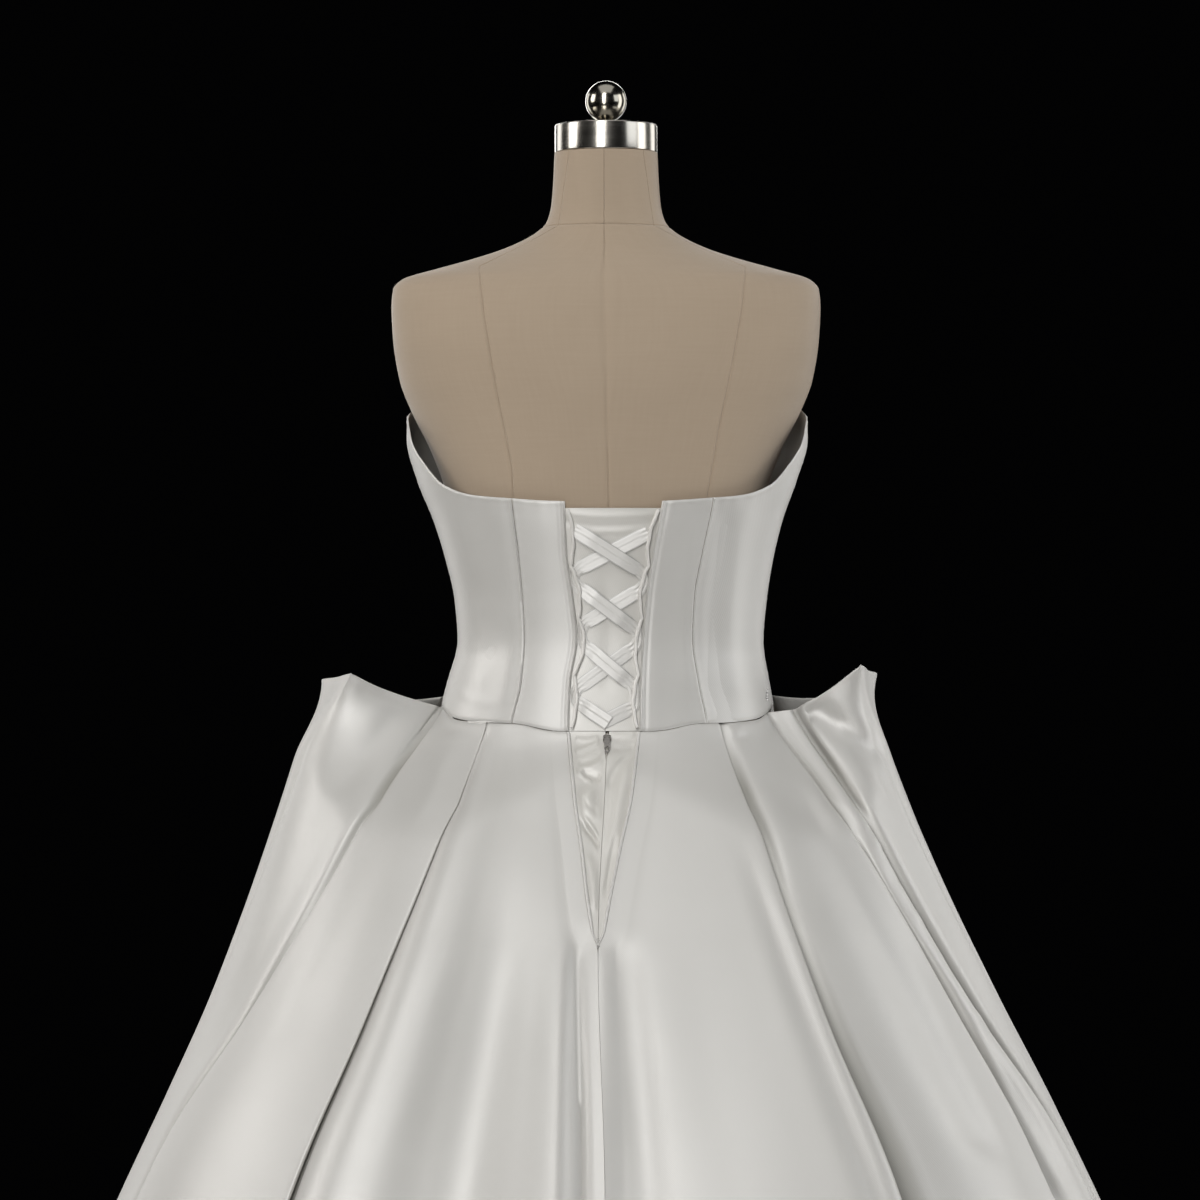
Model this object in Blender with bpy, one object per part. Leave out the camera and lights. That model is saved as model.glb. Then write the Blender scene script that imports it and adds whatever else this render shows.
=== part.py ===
"""Strapless wedding ball gown with a laced back, standing on a limbless dress form.

The frame is metres, +Z up, with the origin on the floor under the form's pole. The front of the
dress faces -Y and its back faces +Y, so the left of a viewer who stands behind it is +X.
Angles round the body run from the centre back (0) through a side (90) to the centre front (180).
Every cloth piece is a closed wall worked out from the section tables below.
"""

import functools
import math
from collections import namedtuple

import bmesh
import bpy
import numpy as np
from mathutils import Matrix, Vector

# Cloth and seams
BODICE_WALL = 0.0018
SKIRT_WALL = 0.0016
SEAM_GAP = 0.0003
LAY_GAP = 0.0006
PLACKET_GAP = 0.0010
SEAM_LAP = 0.002
HEM_HEIGHT = 0.008

# Outer face of the bodice, as half widths and depths at each height
Section = namedtuple("Section", "height left right back front square")
BODICE_SECTIONS = (
    Section(0.980, 0.176, 0.176, 0.118, 0.128, 2.2),
    Section(1.010, 0.166, 0.167, 0.1085, 0.1200, 2.2),
    Section(1.028, 0.160, 0.162, 0.1045, 0.1160, 2.2),
    Section(1.0615, 0.1500, 0.1550, 0.1000, 0.1100, 2.2),
    Section(1.0995, 0.1405, 0.1495, 0.0965, 0.1060, 2.2),
    Section(1.1375, 0.1435, 0.1525, 0.0990, 0.1100, 2.2),
    Section(1.1755, 0.1525, 0.1585, 0.1040, 0.1190, 2.2),
    Section(1.2135, 0.1645, 0.1680, 0.1095, 0.1330, 2.2),
    Section(1.2515, 0.1795, 0.1815, 0.1125, 0.1450, 2.2),
    Section(1.2900, 0.1890, 0.1915, 0.1130, 0.1480, 2.2),
    Section(1.3130, 0.1885, 0.1910, 0.1120, 0.1455, 2.2),
    Section(1.3500, 0.1885, 0.1910, 0.1100, 0.1400, 2.2),
)

# The dress form: neck, shoulders with cut-off arms, waist and hip, down to a flat bottom
FORM_SECTIONS = (
    Section(0.830, 0.150, 0.150, 0.096, 0.090, 2.3),
    Section(0.860, 0.164, 0.164, 0.108, 0.100, 2.3),
    Section(0.930, 0.162, 0.162, 0.106, 0.104, 2.3),
    Section(0.985, 0.153, 0.153, 0.096, 0.101, 2.25),
    Section(1.030, 0.1440, 0.1440, 0.0910, 0.0990, 2.2),
    Section(1.065, 0.1402, 0.1402, 0.0900, 0.0990, 2.2),
    Section(1.0995, 0.1380, 0.1380, 0.0921, 0.0980, 2.2),
    Section(1.1375, 0.1394, 0.1394, 0.0946, 0.1000, 2.2),
    Section(1.1755, 0.1430, 0.1430, 0.0998, 0.1070, 2.2),
    Section(1.2135, 0.1480, 0.1480, 0.1052, 0.1170, 2.2),
    Section(1.2515, 0.1570, 0.1570, 0.1082, 0.1260, 2.2),
    Section(1.2800, 0.1680, 0.1680, 0.1080, 0.1280, 2.2),
    Section(1.3130, 0.1840, 0.1840, 0.1070, 0.1230, 2.2),
    Section(1.3465, 0.1960, 0.1960, 0.1045, 0.1080, 2.35),
    Section(1.3850, 0.2020, 0.2020, 0.0980, 0.0950, 2.6),
    Section(1.4150, 0.2035, 0.2035, 0.0900, 0.0830, 2.6),
    Section(1.4320, 0.2020, 0.2020, 0.0830, 0.0740, 2.5),
    Section(1.4410, 0.1940, 0.1940, 0.0780, 0.0690, 2.4),
    Section(1.4510, 0.1620, 0.1620, 0.0710, 0.0640, 2.2),
    Section(1.4605, 0.1280, 0.1280, 0.0640, 0.0600, 2.1),
    Section(1.4700, 0.0990, 0.0990, 0.0580, 0.0570, 2.0),
    Section(1.4795, 0.0775, 0.0775, 0.0535, 0.0555, 2.0),
    Section(1.4880, 0.0640, 0.0640, 0.0500, 0.0545, 2.0),
    Section(1.4966, 0.0562, 0.0562, 0.0470, 0.0540, 2.0),
    Section(1.5137, 0.0518, 0.0518, 0.0448, 0.0545, 2.0),
    Section(1.5620, 0.0488, 0.0488, 0.0430, 0.0546, 2.0),
)
FORM_AROUND = 28

# Neck cap, knob and stand, all turned
NECK_CENTRE_Y = -0.0058
CAP_RADIUS = 0.0486
CAP_BOTTOM = 1.5623
CAP_TOP = 1.5890
COLLAR_RADIUS = 0.0120
KNOB_RADIUS = 0.0196
KNOB_CENTRE = 1.6117
POLE_RADIUS = 0.0140
BASE_RADIUS = 0.200
BASE_HEIGHT = 0.026
BASE_LIP = 0.010
TURNED_SIDES = 28

# Seam heights round the body, the lower edge and the upper edge of the bodice
Edge = namedtuple("Edge", "angle waist neckline")
BODICE_EDGES = (
    Edge(0, 1.0165, 1.2285),
    Edge(13, 1.0165, 1.2290),
    Edge(30, 1.0232, 1.2320),
    Edge(44, 1.0240, 1.2350),
    Edge(58, 1.0262, 1.2450),
    Edge(72, 1.0330, 1.2750),
    Edge(84, 1.0395, 1.3050),
    Edge(98, 1.0465, 1.3170),
    Edge(112, 1.0500, 1.3250),
    Edge(130, 1.0505, 1.3340),
    Edge(150, 1.0460, 1.3330),
    Edge(168, 1.0380, 1.3190),
    Edge(180, 1.0345, 1.3100),
)

# Edges of the lacing gap and the back princess seams, as x at each height
BackLine = namedtuple("BackLine", "height left_edge right_edge left_seam right_seam")
BACK_LINES = (
    BackLine(1.010, 0.0340, -0.0306, 0.0900, -0.0960),
    BackLine(1.025, 0.0342, -0.0308, 0.0874, -0.0937),
    BackLine(1.062, 0.0326, -0.0315, 0.0790, -0.0862),
    BackLine(1.102, 0.0266, -0.0337, 0.0763, -0.0807),
    BackLine(1.142, 0.0307, -0.0372, 0.0781, -0.0825),
    BackLine(1.182, 0.0363, -0.0432, 0.0818, -0.0899),
    BackLine(1.228, 0.0381, -0.0515, 0.0874, -0.0992),
    BackLine(1.245, 0.0385, -0.0535, 0.0890, -0.1010),
)
SIDE_SEAM_ANGLE = 92.0
FRONT_SEAM_SHARE = 0.50
BODICE_ROWS = 10

# Modesty panel, loops and laces in the lacing gap; depths run from the bodice's outer face
MODESTY_FACE = BODICE_WALL + LAY_GAP
MODESTY_WALL = 0.0012
MODESTY_TUCK = 0.016
MODESTY_TOP = 1.2225
MODESTY_BOTTOM = 1.0178
LOOP_RADIUS = 0.00175
LOOP_RISE = 0.0013
LOOP_BULGE = 0.0042
LOOP_STEPS = 6
LOOP_JOINTS = (1.0195, 1.0680, 1.1208, 1.1690, 1.2210)
LACE_WIDTH = 0.0135
LACE_WAIST = 0.0060
LACE_WALL = 0.0010
LACE_UNDER = -0.0013
LACE_OVER = 0.0004
LACE_CLIMB = (0.012, 0.008)
LACE_TURN = 0.0050
LACE_STEPS = 8
Lace = namedtuple("Lace", "name first_side heights last_x")
LACES = (
    Lace("lace_from_left", 1, (1.2050, 1.1616, 1.1486, 1.1143, 1.0977, 1.0560, 1.0393, 1.0240), 0.004),
    Lace("lace_from_right", -1, (1.2014, 1.1644, 1.1514, 1.1079, 1.0958, 1.0542, 1.0450, 1.0230), -0.004),
)

# Outline of the skirt without its folds
SKIRT_SECTIONS = (
    Section(0.000, 0.700, 0.705, 0.650, 0.590, 2.0),
    Section(0.300, 0.578, 0.583, 0.505, 0.465, 2.1),
    Section(0.5685, 0.462, 0.468, 0.375, 0.345, 2.2),
    Section(0.660, 0.420, 0.424, 0.327, 0.302, 2.25),
    Section(0.7575, 0.376, 0.373, 0.272, 0.255, 2.3),
    Section(0.850, 0.341, 0.329, 0.216, 0.208, 2.4),
    Section(0.9475, 0.309, 0.288, 0.154, 0.160, 2.5),
    Section(0.995, 0.294, 0.270, 0.123, 0.137, 2.5),
    Section(1.0425, 0.278, 0.254, 0.1035, 0.118, 2.5),
    Section(1.080, 0.266, 0.242, 0.1000, 0.112, 2.5),
)
WAIST_HEIGHT = 1.020

# Lines that run down the skirt from the waist: where each starts, the reach below the waist over
# which it leaves the body, and its angle on the outline at four heights down to the hem
Line = namedtuple("Line", "name x y top reach angles")
ANGLE_HEIGHTS = (0.95, 0.76, 0.62, 0.0)
BODY = None
FRONT_LINES = (
    Line("front_turn", 0.1610, -BODICE_WALL, BODY, 0.110, (134.5, 122.5, 118.0, 115.5)),
    Line("front_outer_fold", 0.1545, -BODICE_WALL, BODY, 0.110, (138.0, 126.0, 121.0, 118.0)),
    Line("front_inner_fold", 0.0880, -BODICE_WALL, BODY, 0.110, (158.0, 149.0, 145.0, 141.0)),
    Line("centre_front", 0.0, -BODICE_WALL, BODY, 0.050, (180, 180, 180, 180)),
)
LEFT_LINES = (
    Line("centre_back", 0.0, BODY, BODY, 0.030, (0, 0, 0, 0)),
    Line("inner_fold", 0.1128, BODY, BODY, 0.110, (21.8, 32.2, 36.8, 43.6)),
    Line("outer_fold", 0.1590, BODY, BODY, 0.110, (39.0, 59.0, 72.0, 76.0)),
    Line("turn", 0.1550, 0.0205, 1.0365, 0.110, (43.0, 62.0, 74.5, 78.5)),
    Line("near_corner", 0.2400, 0.056, 1.0690, 0.075, (73.0, 82.0, 87.0, 89.0)),
    Line("far_corner", 0.2750, -0.058, 1.0605, 0.075, (97.0, 97.0, 99.0, 101.0)),
) + FRONT_LINES
RIGHT_LINES = (
    Line("centre_back", 0.0, BODY, BODY, 0.030, (0, 0, 0, 0)),
    Line("inner_fold", 0.1065, BODY, BODY, 0.110, (22.4, 29.1, 33.1, 38.3)),
    Line("valley", 0.1558, BODY, BODY, 0.110, (44.3, 59.0, 65.5, 70.0)),
    Line("outer_fold", 0.1740, 0.038, 1.0340, 0.110, (50.2, 64.6, 76.0, 80.0)),
    Line("near_corner", 0.2400, 0.060, 1.0770, 0.075, (73.0, 82.0, 88.0, 91.0)),
    Line("far_corner", 0.2620, -0.058, 1.0660, 0.075, (97.0, 98.0, 101.0, 103.0)),
) + FRONT_LINES

# Folds: bend radius of the cloth, depth of the hidden tuck and depth of soft shapes at five heights
Fold = namedtuple("Fold", "height crisp_radius soft_radius tuck narrow_tuck valley bulge")
FOLD_SIZES = (
    Fold(0.000, 0.0085, 0.0140, 0.022, 0.016, 0.030, 0.012),
    Fold(0.620, 0.0042, 0.0080, 0.024, 0.012, 0.024, 0.006),
    Fold(0.760, 0.0030, 0.0052, 0.026, 0.0090, 0.017, 0.004),
    Fold(0.950, 0.0021, 0.0025, 0.026, 0.0085, 0.008, 0.001),
    Fold(1.040, 0.0017, 0.0017, 0.019, 0.0085, 0.002, 0.0),
)
RISE_RADII = 5.0
SKIRT_ROWS = (1.0, 0.985, 0.955, 0.92, 0.875, 0.8115, 0.74, 0.655, 0.55, 0.43, 0.30, 0.16, 0.0)
EDGE_BAND = 0.014
WING_SAG = 0.012
CORNER_ROUND = 0.008
CORNER_CUT = 0.002
CREASE_DEPTH = 0.005

# V opening at the centre back, its placket and its zip
VLine = namedtuple("VLine", "height left right middle")
V_LINES = (
    VLine(0.000, 0.0000, 0.0000, 0.0000),
    VLine(0.617, 0.0014, 0.0014, 0.0014),
    VLine(0.8262, 0.0075, 0.0075, 0.0075),
    VLine(0.8320, 0.0090, 0.0058, 0.0074),
    VLine(0.8680, 0.0157, -0.0015, 0.0065),
    VLine(0.9080, 0.0205, -0.0100, 0.0045),
    VLine(0.9560, 0.0275, -0.0210, 0.0015),
    VLine(1.0000, 0.0320, -0.0268, -0.0005),
    VLine(1.0200, 0.0338, -0.0292, -0.0012),
)
V_TIP = 0.8262
PIPING_RADIUS = 0.0014
PIPING_RISE = 0.0009
PIPING_END = 0.017
PIPING_STEPS = 3
PLACKET_WALL = 0.0012
PLACKET_TUCK = 0.012
PLACKET_BOTTOM = 0.822
ZIP_HALF_WIDTH = 0.0014
ZIP_WALL = 0.0016
SLIDER_HEIGHT = 1.0085
SLIDER_CLEAR = 0.0005
SLIDER_LENGTH = 0.0090
SLIDER_WIDTH = 0.0074
SLIDER_PLATE = 0.0014
SLIDER_RAIL = 0.0012
PULL_WALL = 0.0010
PULL_NECK_WIDTH = SLIDER_WIDTH - 2 * SLIDER_RAIL - 2 * SEAM_GAP
PULL_WIDTH = 0.0060
PULL_LENGTH = 0.0190

# Inner side layers, which close the waist seam under the standing side pleats
UNDERLAY_ANGLES = {1: (83.5, 95.5), -1: (77.0, 95.5)}
UNDERLAY_BOTTOM = 0.865
UNDERLAY_REACH = 0.300
UNDERLAY_ENDS = (0.078, -0.078)


def clear_scene():
    """Remove every object of the scene."""
    for item in list(bpy.data.objects):
        bpy.data.objects.remove(item, do_unlink=True)


def curve_through(known, values, at):
    """Value at a place of a smooth curve through the known places, with no overshoot."""
    known = np.asarray(known, float)
    values = np.asarray(values, float)
    at = min(max(at, known[0]), known[-1])
    steps = np.diff(known)
    slopes = np.diff(values) / steps
    tangents = np.empty(len(known))
    tangents[0], tangents[-1] = slopes[0], slopes[-1]
    for i in range(1, len(known) - 1):
        if slopes[i - 1] * slopes[i] <= 0:
            tangents[i] = 0.0
        else:
            before = 2 * steps[i] + steps[i - 1]
            after = steps[i] + 2 * steps[i - 1]
            tangents[i] = (before + after) / (before / slopes[i - 1] + after / slopes[i])
    i = min(int(np.searchsorted(known, at, side="right")) - 1, len(steps) - 1)
    share = (at - known[i]) / steps[i]
    start = (1 + 2 * share) * (1 - share) ** 2 * values[i]
    start_slope = share * (1 - share) ** 2 * steps[i] * tangents[i]
    end = share**2 * (3 - 2 * share) * values[i + 1]
    end_slope = share**2 * (share - 1) * steps[i] * tangents[i + 1]
    return float(start + start_slope + end + end_slope)


@functools.lru_cache(maxsize=None)
def read(table, column, at):
    """Value of a table's named column where its first column has the given value."""
    return curve_through([row[0] for row in table], [getattr(row, column) for row in table], at)


def outline_point(table, height, side, angle, out=0.0):
    """Point (x, y) of a section, at an angle from the centre back, moved outwards by out."""
    wide = read(table, "left" if side > 0 else "right", height)
    deep = read(table, "back" if angle <= 90 else "front", height)
    power = 2 / read(table, "square", height)
    turn = math.radians(angle)
    sine, cosine = abs(math.sin(turn)), abs(math.cos(turn))
    x = wide * sine**power
    y = math.copysign(deep * cosine**power, 90 - angle)
    normal_x = sine ** (2 - power) / wide
    normal_y = math.copysign(cosine ** (2 - power) / deep, 90 - angle)
    length = math.hypot(normal_x, normal_y)
    return side * (x + out * normal_x / length), y + out * normal_y / length


def angle_of(table, height, side, x, front=False):
    """Angle of the point of a section whose distance from the centre plane is x."""
    wide = read(table, "left" if side > 0 else "right", height)
    share = min(abs(x) / wide, 1.0) ** (read(table, "square", height) / 2)
    angle = math.degrees(math.asin(share))
    return 180 - angle if front else angle


def back_point(x, height, out):
    """Point near the centre back of the bodice at x and a height, moved outwards by out."""
    side = 1 if x >= 0 else -1
    angle = angle_of(BODICE_SECTIONS, height, side, x)
    foot = outline_point(BODICE_SECTIONS, height, side, angle, out)
    return Vector((foot[0], foot[1], height))


def back_normal(x, height):
    """Outward direction of the bodice near the centre back."""
    step = 0.002
    across = back_point(x + step, height, 0.0) - back_point(x - step, height, 0.0)
    upwards = back_point(x, height + step, 0.0) - back_point(x, height - step, 0.0)
    return upwards.cross(across).normalized()


def new_material(name, colour, roughness, metallic=0.0):
    """A plain Principled material."""
    material = bpy.data.materials.get(name)
    if material is None:
        material = bpy.data.materials.new(name)
        material.use_nodes = True
        shader = material.node_tree.nodes["Principled BSDF"]
        shader.inputs["Base Color"].default_value = (*colour, 1.0)
        shader.inputs["Roughness"].default_value = roughness
        shader.inputs["Metallic"].default_value = metallic
        material.diffuse_color = (*colour, 1.0)
    return material


def satin():
    """Heavy ivory satin."""
    return new_material("ivory_satin", (0.84, 0.83, 0.79), 0.38)


def linen():
    """Beige linen of the dress form."""
    return new_material("beige_linen", (0.50, 0.41, 0.32), 0.9)


def steel(name="brushed_steel", roughness=0.32):
    """Bare metal."""
    return new_material(name, (0.70, 0.68, 0.65), roughness, 1.0)


def add_object(name, mesh, material):
    """Put a mesh into the scene as a named object."""
    body = bpy.data.objects.new(name, mesh)
    mesh.materials.append(material)
    bpy.context.scene.collection.objects.link(body)
    return body


def solid_from(name, points, faces, material, smooth_degrees=50.0):
    """A closed solid from points and faces, with its faces turned outwards."""
    mesh = bpy.data.meshes.new(name)
    mesh.from_pydata([tuple(p) for p in points], [], faces)
    work = bmesh.new()
    work.from_mesh(mesh)
    bmesh.ops.recalc_face_normals(work, faces=work.faces)
    work.to_mesh(mesh)
    work.free()
    mesh.shade_smooth()
    mesh.set_sharp_from_angle(angle=math.radians(smooth_degrees))
    return add_object(name, mesh, material)


def grid_normals(grid):
    """Unit normals of a grid of points (rows, columns, 3), from the faces round each point."""
    across = grid[:, 1:] - grid[:, :-1]
    down = grid[1:] - grid[:-1]
    faces = np.cross(across[:-1] + across[1:], down[:, :-1] + down[:, 1:])
    faces /= np.linalg.norm(faces, axis=2, keepdims=True)
    normals = np.zeros_like(grid)
    normals[:-1, :-1] += faces
    normals[:-1, 1:] += faces
    normals[1:, :-1] += faces
    normals[1:, 1:] += faces
    return normals / np.linalg.norm(normals, axis=2, keepdims=True)


def wall_between(name, outer, inner, material):
    """A closed wall between two grids of points (rows, columns, 3) of the same size.

    Both faces are cut into triangles along the same diagonals, so the wall keeps its thickness.
    """
    rows, columns = outer.shape[:2]
    count = rows * columns
    faces = []
    for i in range(rows - 1):
        for j in range(columns - 1):
            a = i * columns + j
            b, c, d = a + 1, a + columns + 1, a + columns
            falling = np.linalg.norm(outer[i, j] - outer[i + 1, j + 1])
            rising = np.linalg.norm(outer[i, j + 1] - outer[i + 1, j])
            halves = ((a, b, c), (a, c, d)) if falling <= rising else ((a, b, d), (b, c, d))
            for half in halves:
                faces.append(half)
                faces.append(tuple(count + k for k in reversed(half)))
    rim = list(range(columns))
    rim += [i * columns + columns - 1 for i in range(1, rows)]
    rim += [(rows - 1) * columns + j for j in range(columns - 2, -1, -1)]
    rim += [i * columns for i in range(rows - 2, 0, -1)]
    for a, b in zip(rim, rim[1:] + rim[:1]):
        faces.append((a, count + a, count + b, b))
    points = np.concatenate([outer.reshape(-1, 3), inner.reshape(-1, 3)])
    return solid_from(name, points, faces, material)


def cloth_wall(name, grid, inwards, outwards, material):
    """A wall of cloth round a grid of points, from inwards behind it to outwards before it.

    The first row of the grid is its upper edge. Both the upper edge and the hem are cut level.
    """
    grid = np.asarray(grid, float)
    normals = grid_normals(grid)
    if (grid[..., :2] * normals[..., :2]).sum() < 0:
        normals = -normals
    normals[0, :, 2] = 0.0
    normals[-1, :, 2] = 0.0
    normals /= np.linalg.norm(normals, axis=2, keepdims=True)
    return wall_between(name, grid + outwards * normals, grid - inwards * normals, material)


def turned(name, profile, material, centre_y=0.0, sides=TURNED_SIDES):
    """A turned solid from (radius, height) pairs, from bottom to top, closed at both ends."""
    points = []
    for radius, height in profile:
        for k in range(sides):
            turn = 2 * math.pi * k / sides
            points.append((radius * math.sin(turn), centre_y + radius * math.cos(turn), height))
    faces = []
    for i in range(len(profile) - 1):
        for k in range(sides):
            a = i * sides + k
            b = i * sides + (k + 1) % sides
            faces.append((a, b, b + sides, a + sides))
    faces.append(tuple(range(sides)))
    faces.append(tuple(range((len(profile) - 1) * sides, len(profile) * sides)))
    return solid_from(name, points, faces, material)


def tube(name, path, radius, material, resolution=2):
    """A round cord along a path, with filled ends."""
    curve = bpy.data.curves.new(name, "CURVE")
    curve.dimensions = "3D"
    curve.bevel_depth = radius
    curve.bevel_resolution = resolution
    curve.use_fill_caps = True
    spline = curve.splines.new("POLY")
    spline.points.add(len(path) - 1)
    for point, place in zip(spline.points, path):
        point.co = (*place, 1.0)
    curve.materials.append(material)
    body = bpy.data.objects.new(name, curve)
    bpy.context.scene.collection.objects.link(body)
    return body


def strip(name, centres, outs, widths, wall, material):
    """A flat ribbon along its centre points, with its outward directions and its widths."""
    points = []
    last = len(centres) - 1
    for i, centre in enumerate(centres):
        along = (centres[min(i + 1, last)] - centres[max(i - 1, 0)]).normalized()
        across = along.cross(outs[i]).normalized()
        up = across.cross(along).normalized()
        for u, v in ((-1, -1), (1, -1), (1, 1), (-1, 1)):
            points.append(centre + across * (u * widths[i] / 2) + up * (v * wall / 2))
    faces = [(0, 1, 2, 3), tuple(4 * last + k for k in (3, 2, 1, 0))]
    for i in range(last):
        for k in range(4):
            a, b = 4 * i + k, 4 * i + (k + 1) % 4
            faces.append((a, b, b + 4, a + 4))
    return solid_from(name, points, faces, material, 30.0)


# The form and its stand


def build_form_body():
    """Neck, shoulders, waist and hip of the dress form, closed by a flat top and bottom."""
    points = []
    rows = len(FORM_SECTIONS)
    for section in FORM_SECTIONS:
        for k in range(FORM_AROUND):
            turn = 360.0 * k / FORM_AROUND
            side = 1 if turn <= 180 else -1
            angle = turn if turn <= 180 else 360 - turn
            x, y = outline_point(FORM_SECTIONS, section.height, side, angle)
            points.append((x, y, section.height))
    faces = []
    for i in range(rows - 1):
        for k in range(FORM_AROUND):
            a = i * FORM_AROUND + k
            b = i * FORM_AROUND + (k + 1) % FORM_AROUND
            faces.append((a, b, b + FORM_AROUND, a + FORM_AROUND))
    faces.append(tuple(range(FORM_AROUND)))
    faces.append(tuple(range((rows - 1) * FORM_AROUND, rows * FORM_AROUND)))
    return solid_from("form_body", points, faces, linen())


def build_neck_cap():
    """Turned metal cap with a small rounded edge."""
    edge = 0.0012
    profile = [
        (CAP_RADIUS - edge, CAP_BOTTOM),
        (CAP_RADIUS, CAP_BOTTOM + edge),
        (CAP_RADIUS, CAP_TOP - edge),
        (CAP_RADIUS - edge, CAP_TOP),
    ]
    return turned("form_neck_cap", profile, steel(), NECK_CENTRE_Y)


def build_knob():
    """Collar and ball knob in one turned piece, standing on the neck cap."""
    foot = CAP_TOP + SEAM_GAP
    lowest = math.degrees(math.asin(0.0062 / KNOB_RADIUS))
    profile = [(COLLAR_RADIUS, foot), (COLLAR_RADIUS, foot + 0.0030), (0.0078, foot + 0.0040)]
    steps = 10
    for i in range(steps + 1):
        turn = math.radians(lowest + (175 - lowest) * i / steps)
        radius = KNOB_RADIUS * math.sin(turn)
        profile.append((radius, KNOB_CENTRE - KNOB_RADIUS * math.cos(turn)))
    return turned("form_knob", profile, steel("chrome", 0.06), NECK_CENTRE_Y)


def build_stand():
    """Pole under the form and a round base plate that stands on the floor."""
    bottom = FORM_SECTIONS[0].height
    pole = [(POLE_RADIUS, BASE_HEIGHT + SEAM_GAP), (POLE_RADIUS, bottom - SEAM_GAP)]
    turned("form_pole", pole, steel("pole_steel", 0.25), sides=20)
    edge = 0.003
    base = [
        (BASE_RADIUS - edge, 0.0),
        (BASE_RADIUS, edge),
        (BASE_RADIUS, BASE_LIP - edge),
        (BASE_RADIUS - edge, BASE_LIP),
        (0.045, BASE_HEIGHT - 0.004),
        (0.034, BASE_HEIGHT),
    ]
    turned("form_base", base, steel("base_steel", 0.3), sides=48)


# The bodice


def seam_angle(side, column, height):
    """Angle of a back seam, whose x is a column of the table of back lines."""
    return angle_of(BODICE_SECTIONS, height, side, read(BACK_LINES, column, height))


def front_seam_angle(side, height):
    """Angle of a front princess seam."""
    wide = read(BODICE_SECTIONS, "left" if side > 0 else "right", height)
    lean = 0.10 * (height - 1.10) / 0.2
    share = FRONT_SEAM_SHARE + lean
    return angle_of(BODICE_SECTIONS, height, side, share * wide, front=True)


def edge_height(column, angle):
    """Height of the bodice's waist or neckline at an angle."""
    return read(BODICE_EDGES, column, min(max(angle, 0.0), 180.0))


def bodice_panel(name, side, start, end, columns):
    """A panel between two seams, each a function of height that gives an angle.

    Side is 1 or -1, and 0 for the centre front panel, whose angles may pass 180.
    """
    faces = {0.0: [], -BODICE_WALL: []}
    for i in range(BODICE_ROWS):
        rows = {out: [] for out in faces}
        for j in range(columns):
            share = j / (columns - 1)
            low = start(1.03) * (1 - share) + end(1.03) * share
            high = start(1.24) * (1 - share) + end(1.24) * share
            bottom = edge_height("waist", low if low <= 180 else 360 - low)
            top = edge_height("neckline", high if high <= 180 else 360 - high)
            height = top + (bottom - top) * i / (BODICE_ROWS - 1)
            angle = start(height) * (1 - share) + end(height) * share
            here = side
            if side == 0:
                here = 1 if angle <= 180 else -1
                angle = angle if angle <= 180 else 360 - angle
            for out in faces:
                rows[out].append((*outline_point(BODICE_SECTIONS, height, here, angle, out), height))
        for out in faces:
            faces[out].append(rows[out])
    outer, inner = (trimmed(np.array(faces[out])) for out in faces)
    return wall_between(name, outer, inner, satin())


def trimmed(grid, trim=SEAM_GAP / 2):
    """The grid with its first and last columns moved in by half of a seam gap."""
    first = grid[:, 1] - grid[:, 0]
    last = grid[:, -2] - grid[:, -1]
    grid[:, 0] += trim * first / np.linalg.norm(first, axis=1, keepdims=True)
    grid[:, -1] += trim * last / np.linalg.norm(last, axis=1, keepdims=True)
    return grid


def side_seam(_height):
    """The side seam, at the same angle at every height."""
    return SIDE_SEAM_ANGLE


def far_front_seam(height):
    """The right front princess seam, as an angle past 180."""
    return 360 - front_seam_angle(-1, height)


def build_bodice():
    """Seven panels: two each of centre back, side back and side front, and a centre front."""
    for side, word in ((1, "left"), (-1, "right")):
        edge = functools.partial(seam_angle, side, word + "_edge")
        seam = functools.partial(seam_angle, side, word + "_seam")
        front = functools.partial(front_seam_angle, side)
        bodice_panel(f"bodice_centre_back_{word}", side, edge, seam, 5)
        bodice_panel(f"bodice_side_back_{word}", side, seam, side_seam, 7)
        bodice_panel(f"bodice_side_front_{word}", side, side_seam, front, 7)
    bodice_panel("bodice_centre_front", 0, functools.partial(front_seam_angle, 1), far_front_seam, 9)


def build_modesty_panel():
    """Flat satin panel behind the lacing, tucked under both back edges."""
    grid = []
    rows, columns = 10, 8
    for i in range(rows):
        height = MODESTY_TOP + (MODESTY_BOTTOM - MODESTY_TOP) * i / (rows - 1)
        left = read(BACK_LINES, "left_edge", height) + MODESTY_TUCK
        right = read(BACK_LINES, "right_edge", height) - MODESTY_TUCK
        xs = np.linspace(left, right, columns)
        grid.append([back_point(x, height, -MODESTY_FACE) for x in xs])
    return cloth_wall("modesty_panel", grid, MODESTY_WALL, 0.0, satin())


def build_loops():
    """A rouleau cord along each lacing edge, sewn down at its joints and free between them."""
    for side, word in ((1, "left"), (-1, "right")):
        path = []
        for low, high in zip(LOOP_JOINTS, LOOP_JOINTS[1:]):
            for k in range(LOOP_STEPS):
                share = k / LOOP_STEPS
                height = low + (high - low) * share
                clear = LOOP_RADIUS + SEAM_GAP + LOOP_BULGE * math.sin(math.pi * share) ** 0.8
                x = read(BACK_LINES, word + "_edge", height) - side * clear
                path.append(back_point(x, height, LOOP_RISE))
        x = read(BACK_LINES, word + "_edge", LOOP_JOINTS[-1]) - side * (LOOP_RADIUS + SEAM_GAP)
        path.append(back_point(x, LOOP_JOINTS[-1], LOOP_RISE))
        tube(f"lacing_loops_{word}", path, LOOP_RADIUS, satin())


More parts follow.
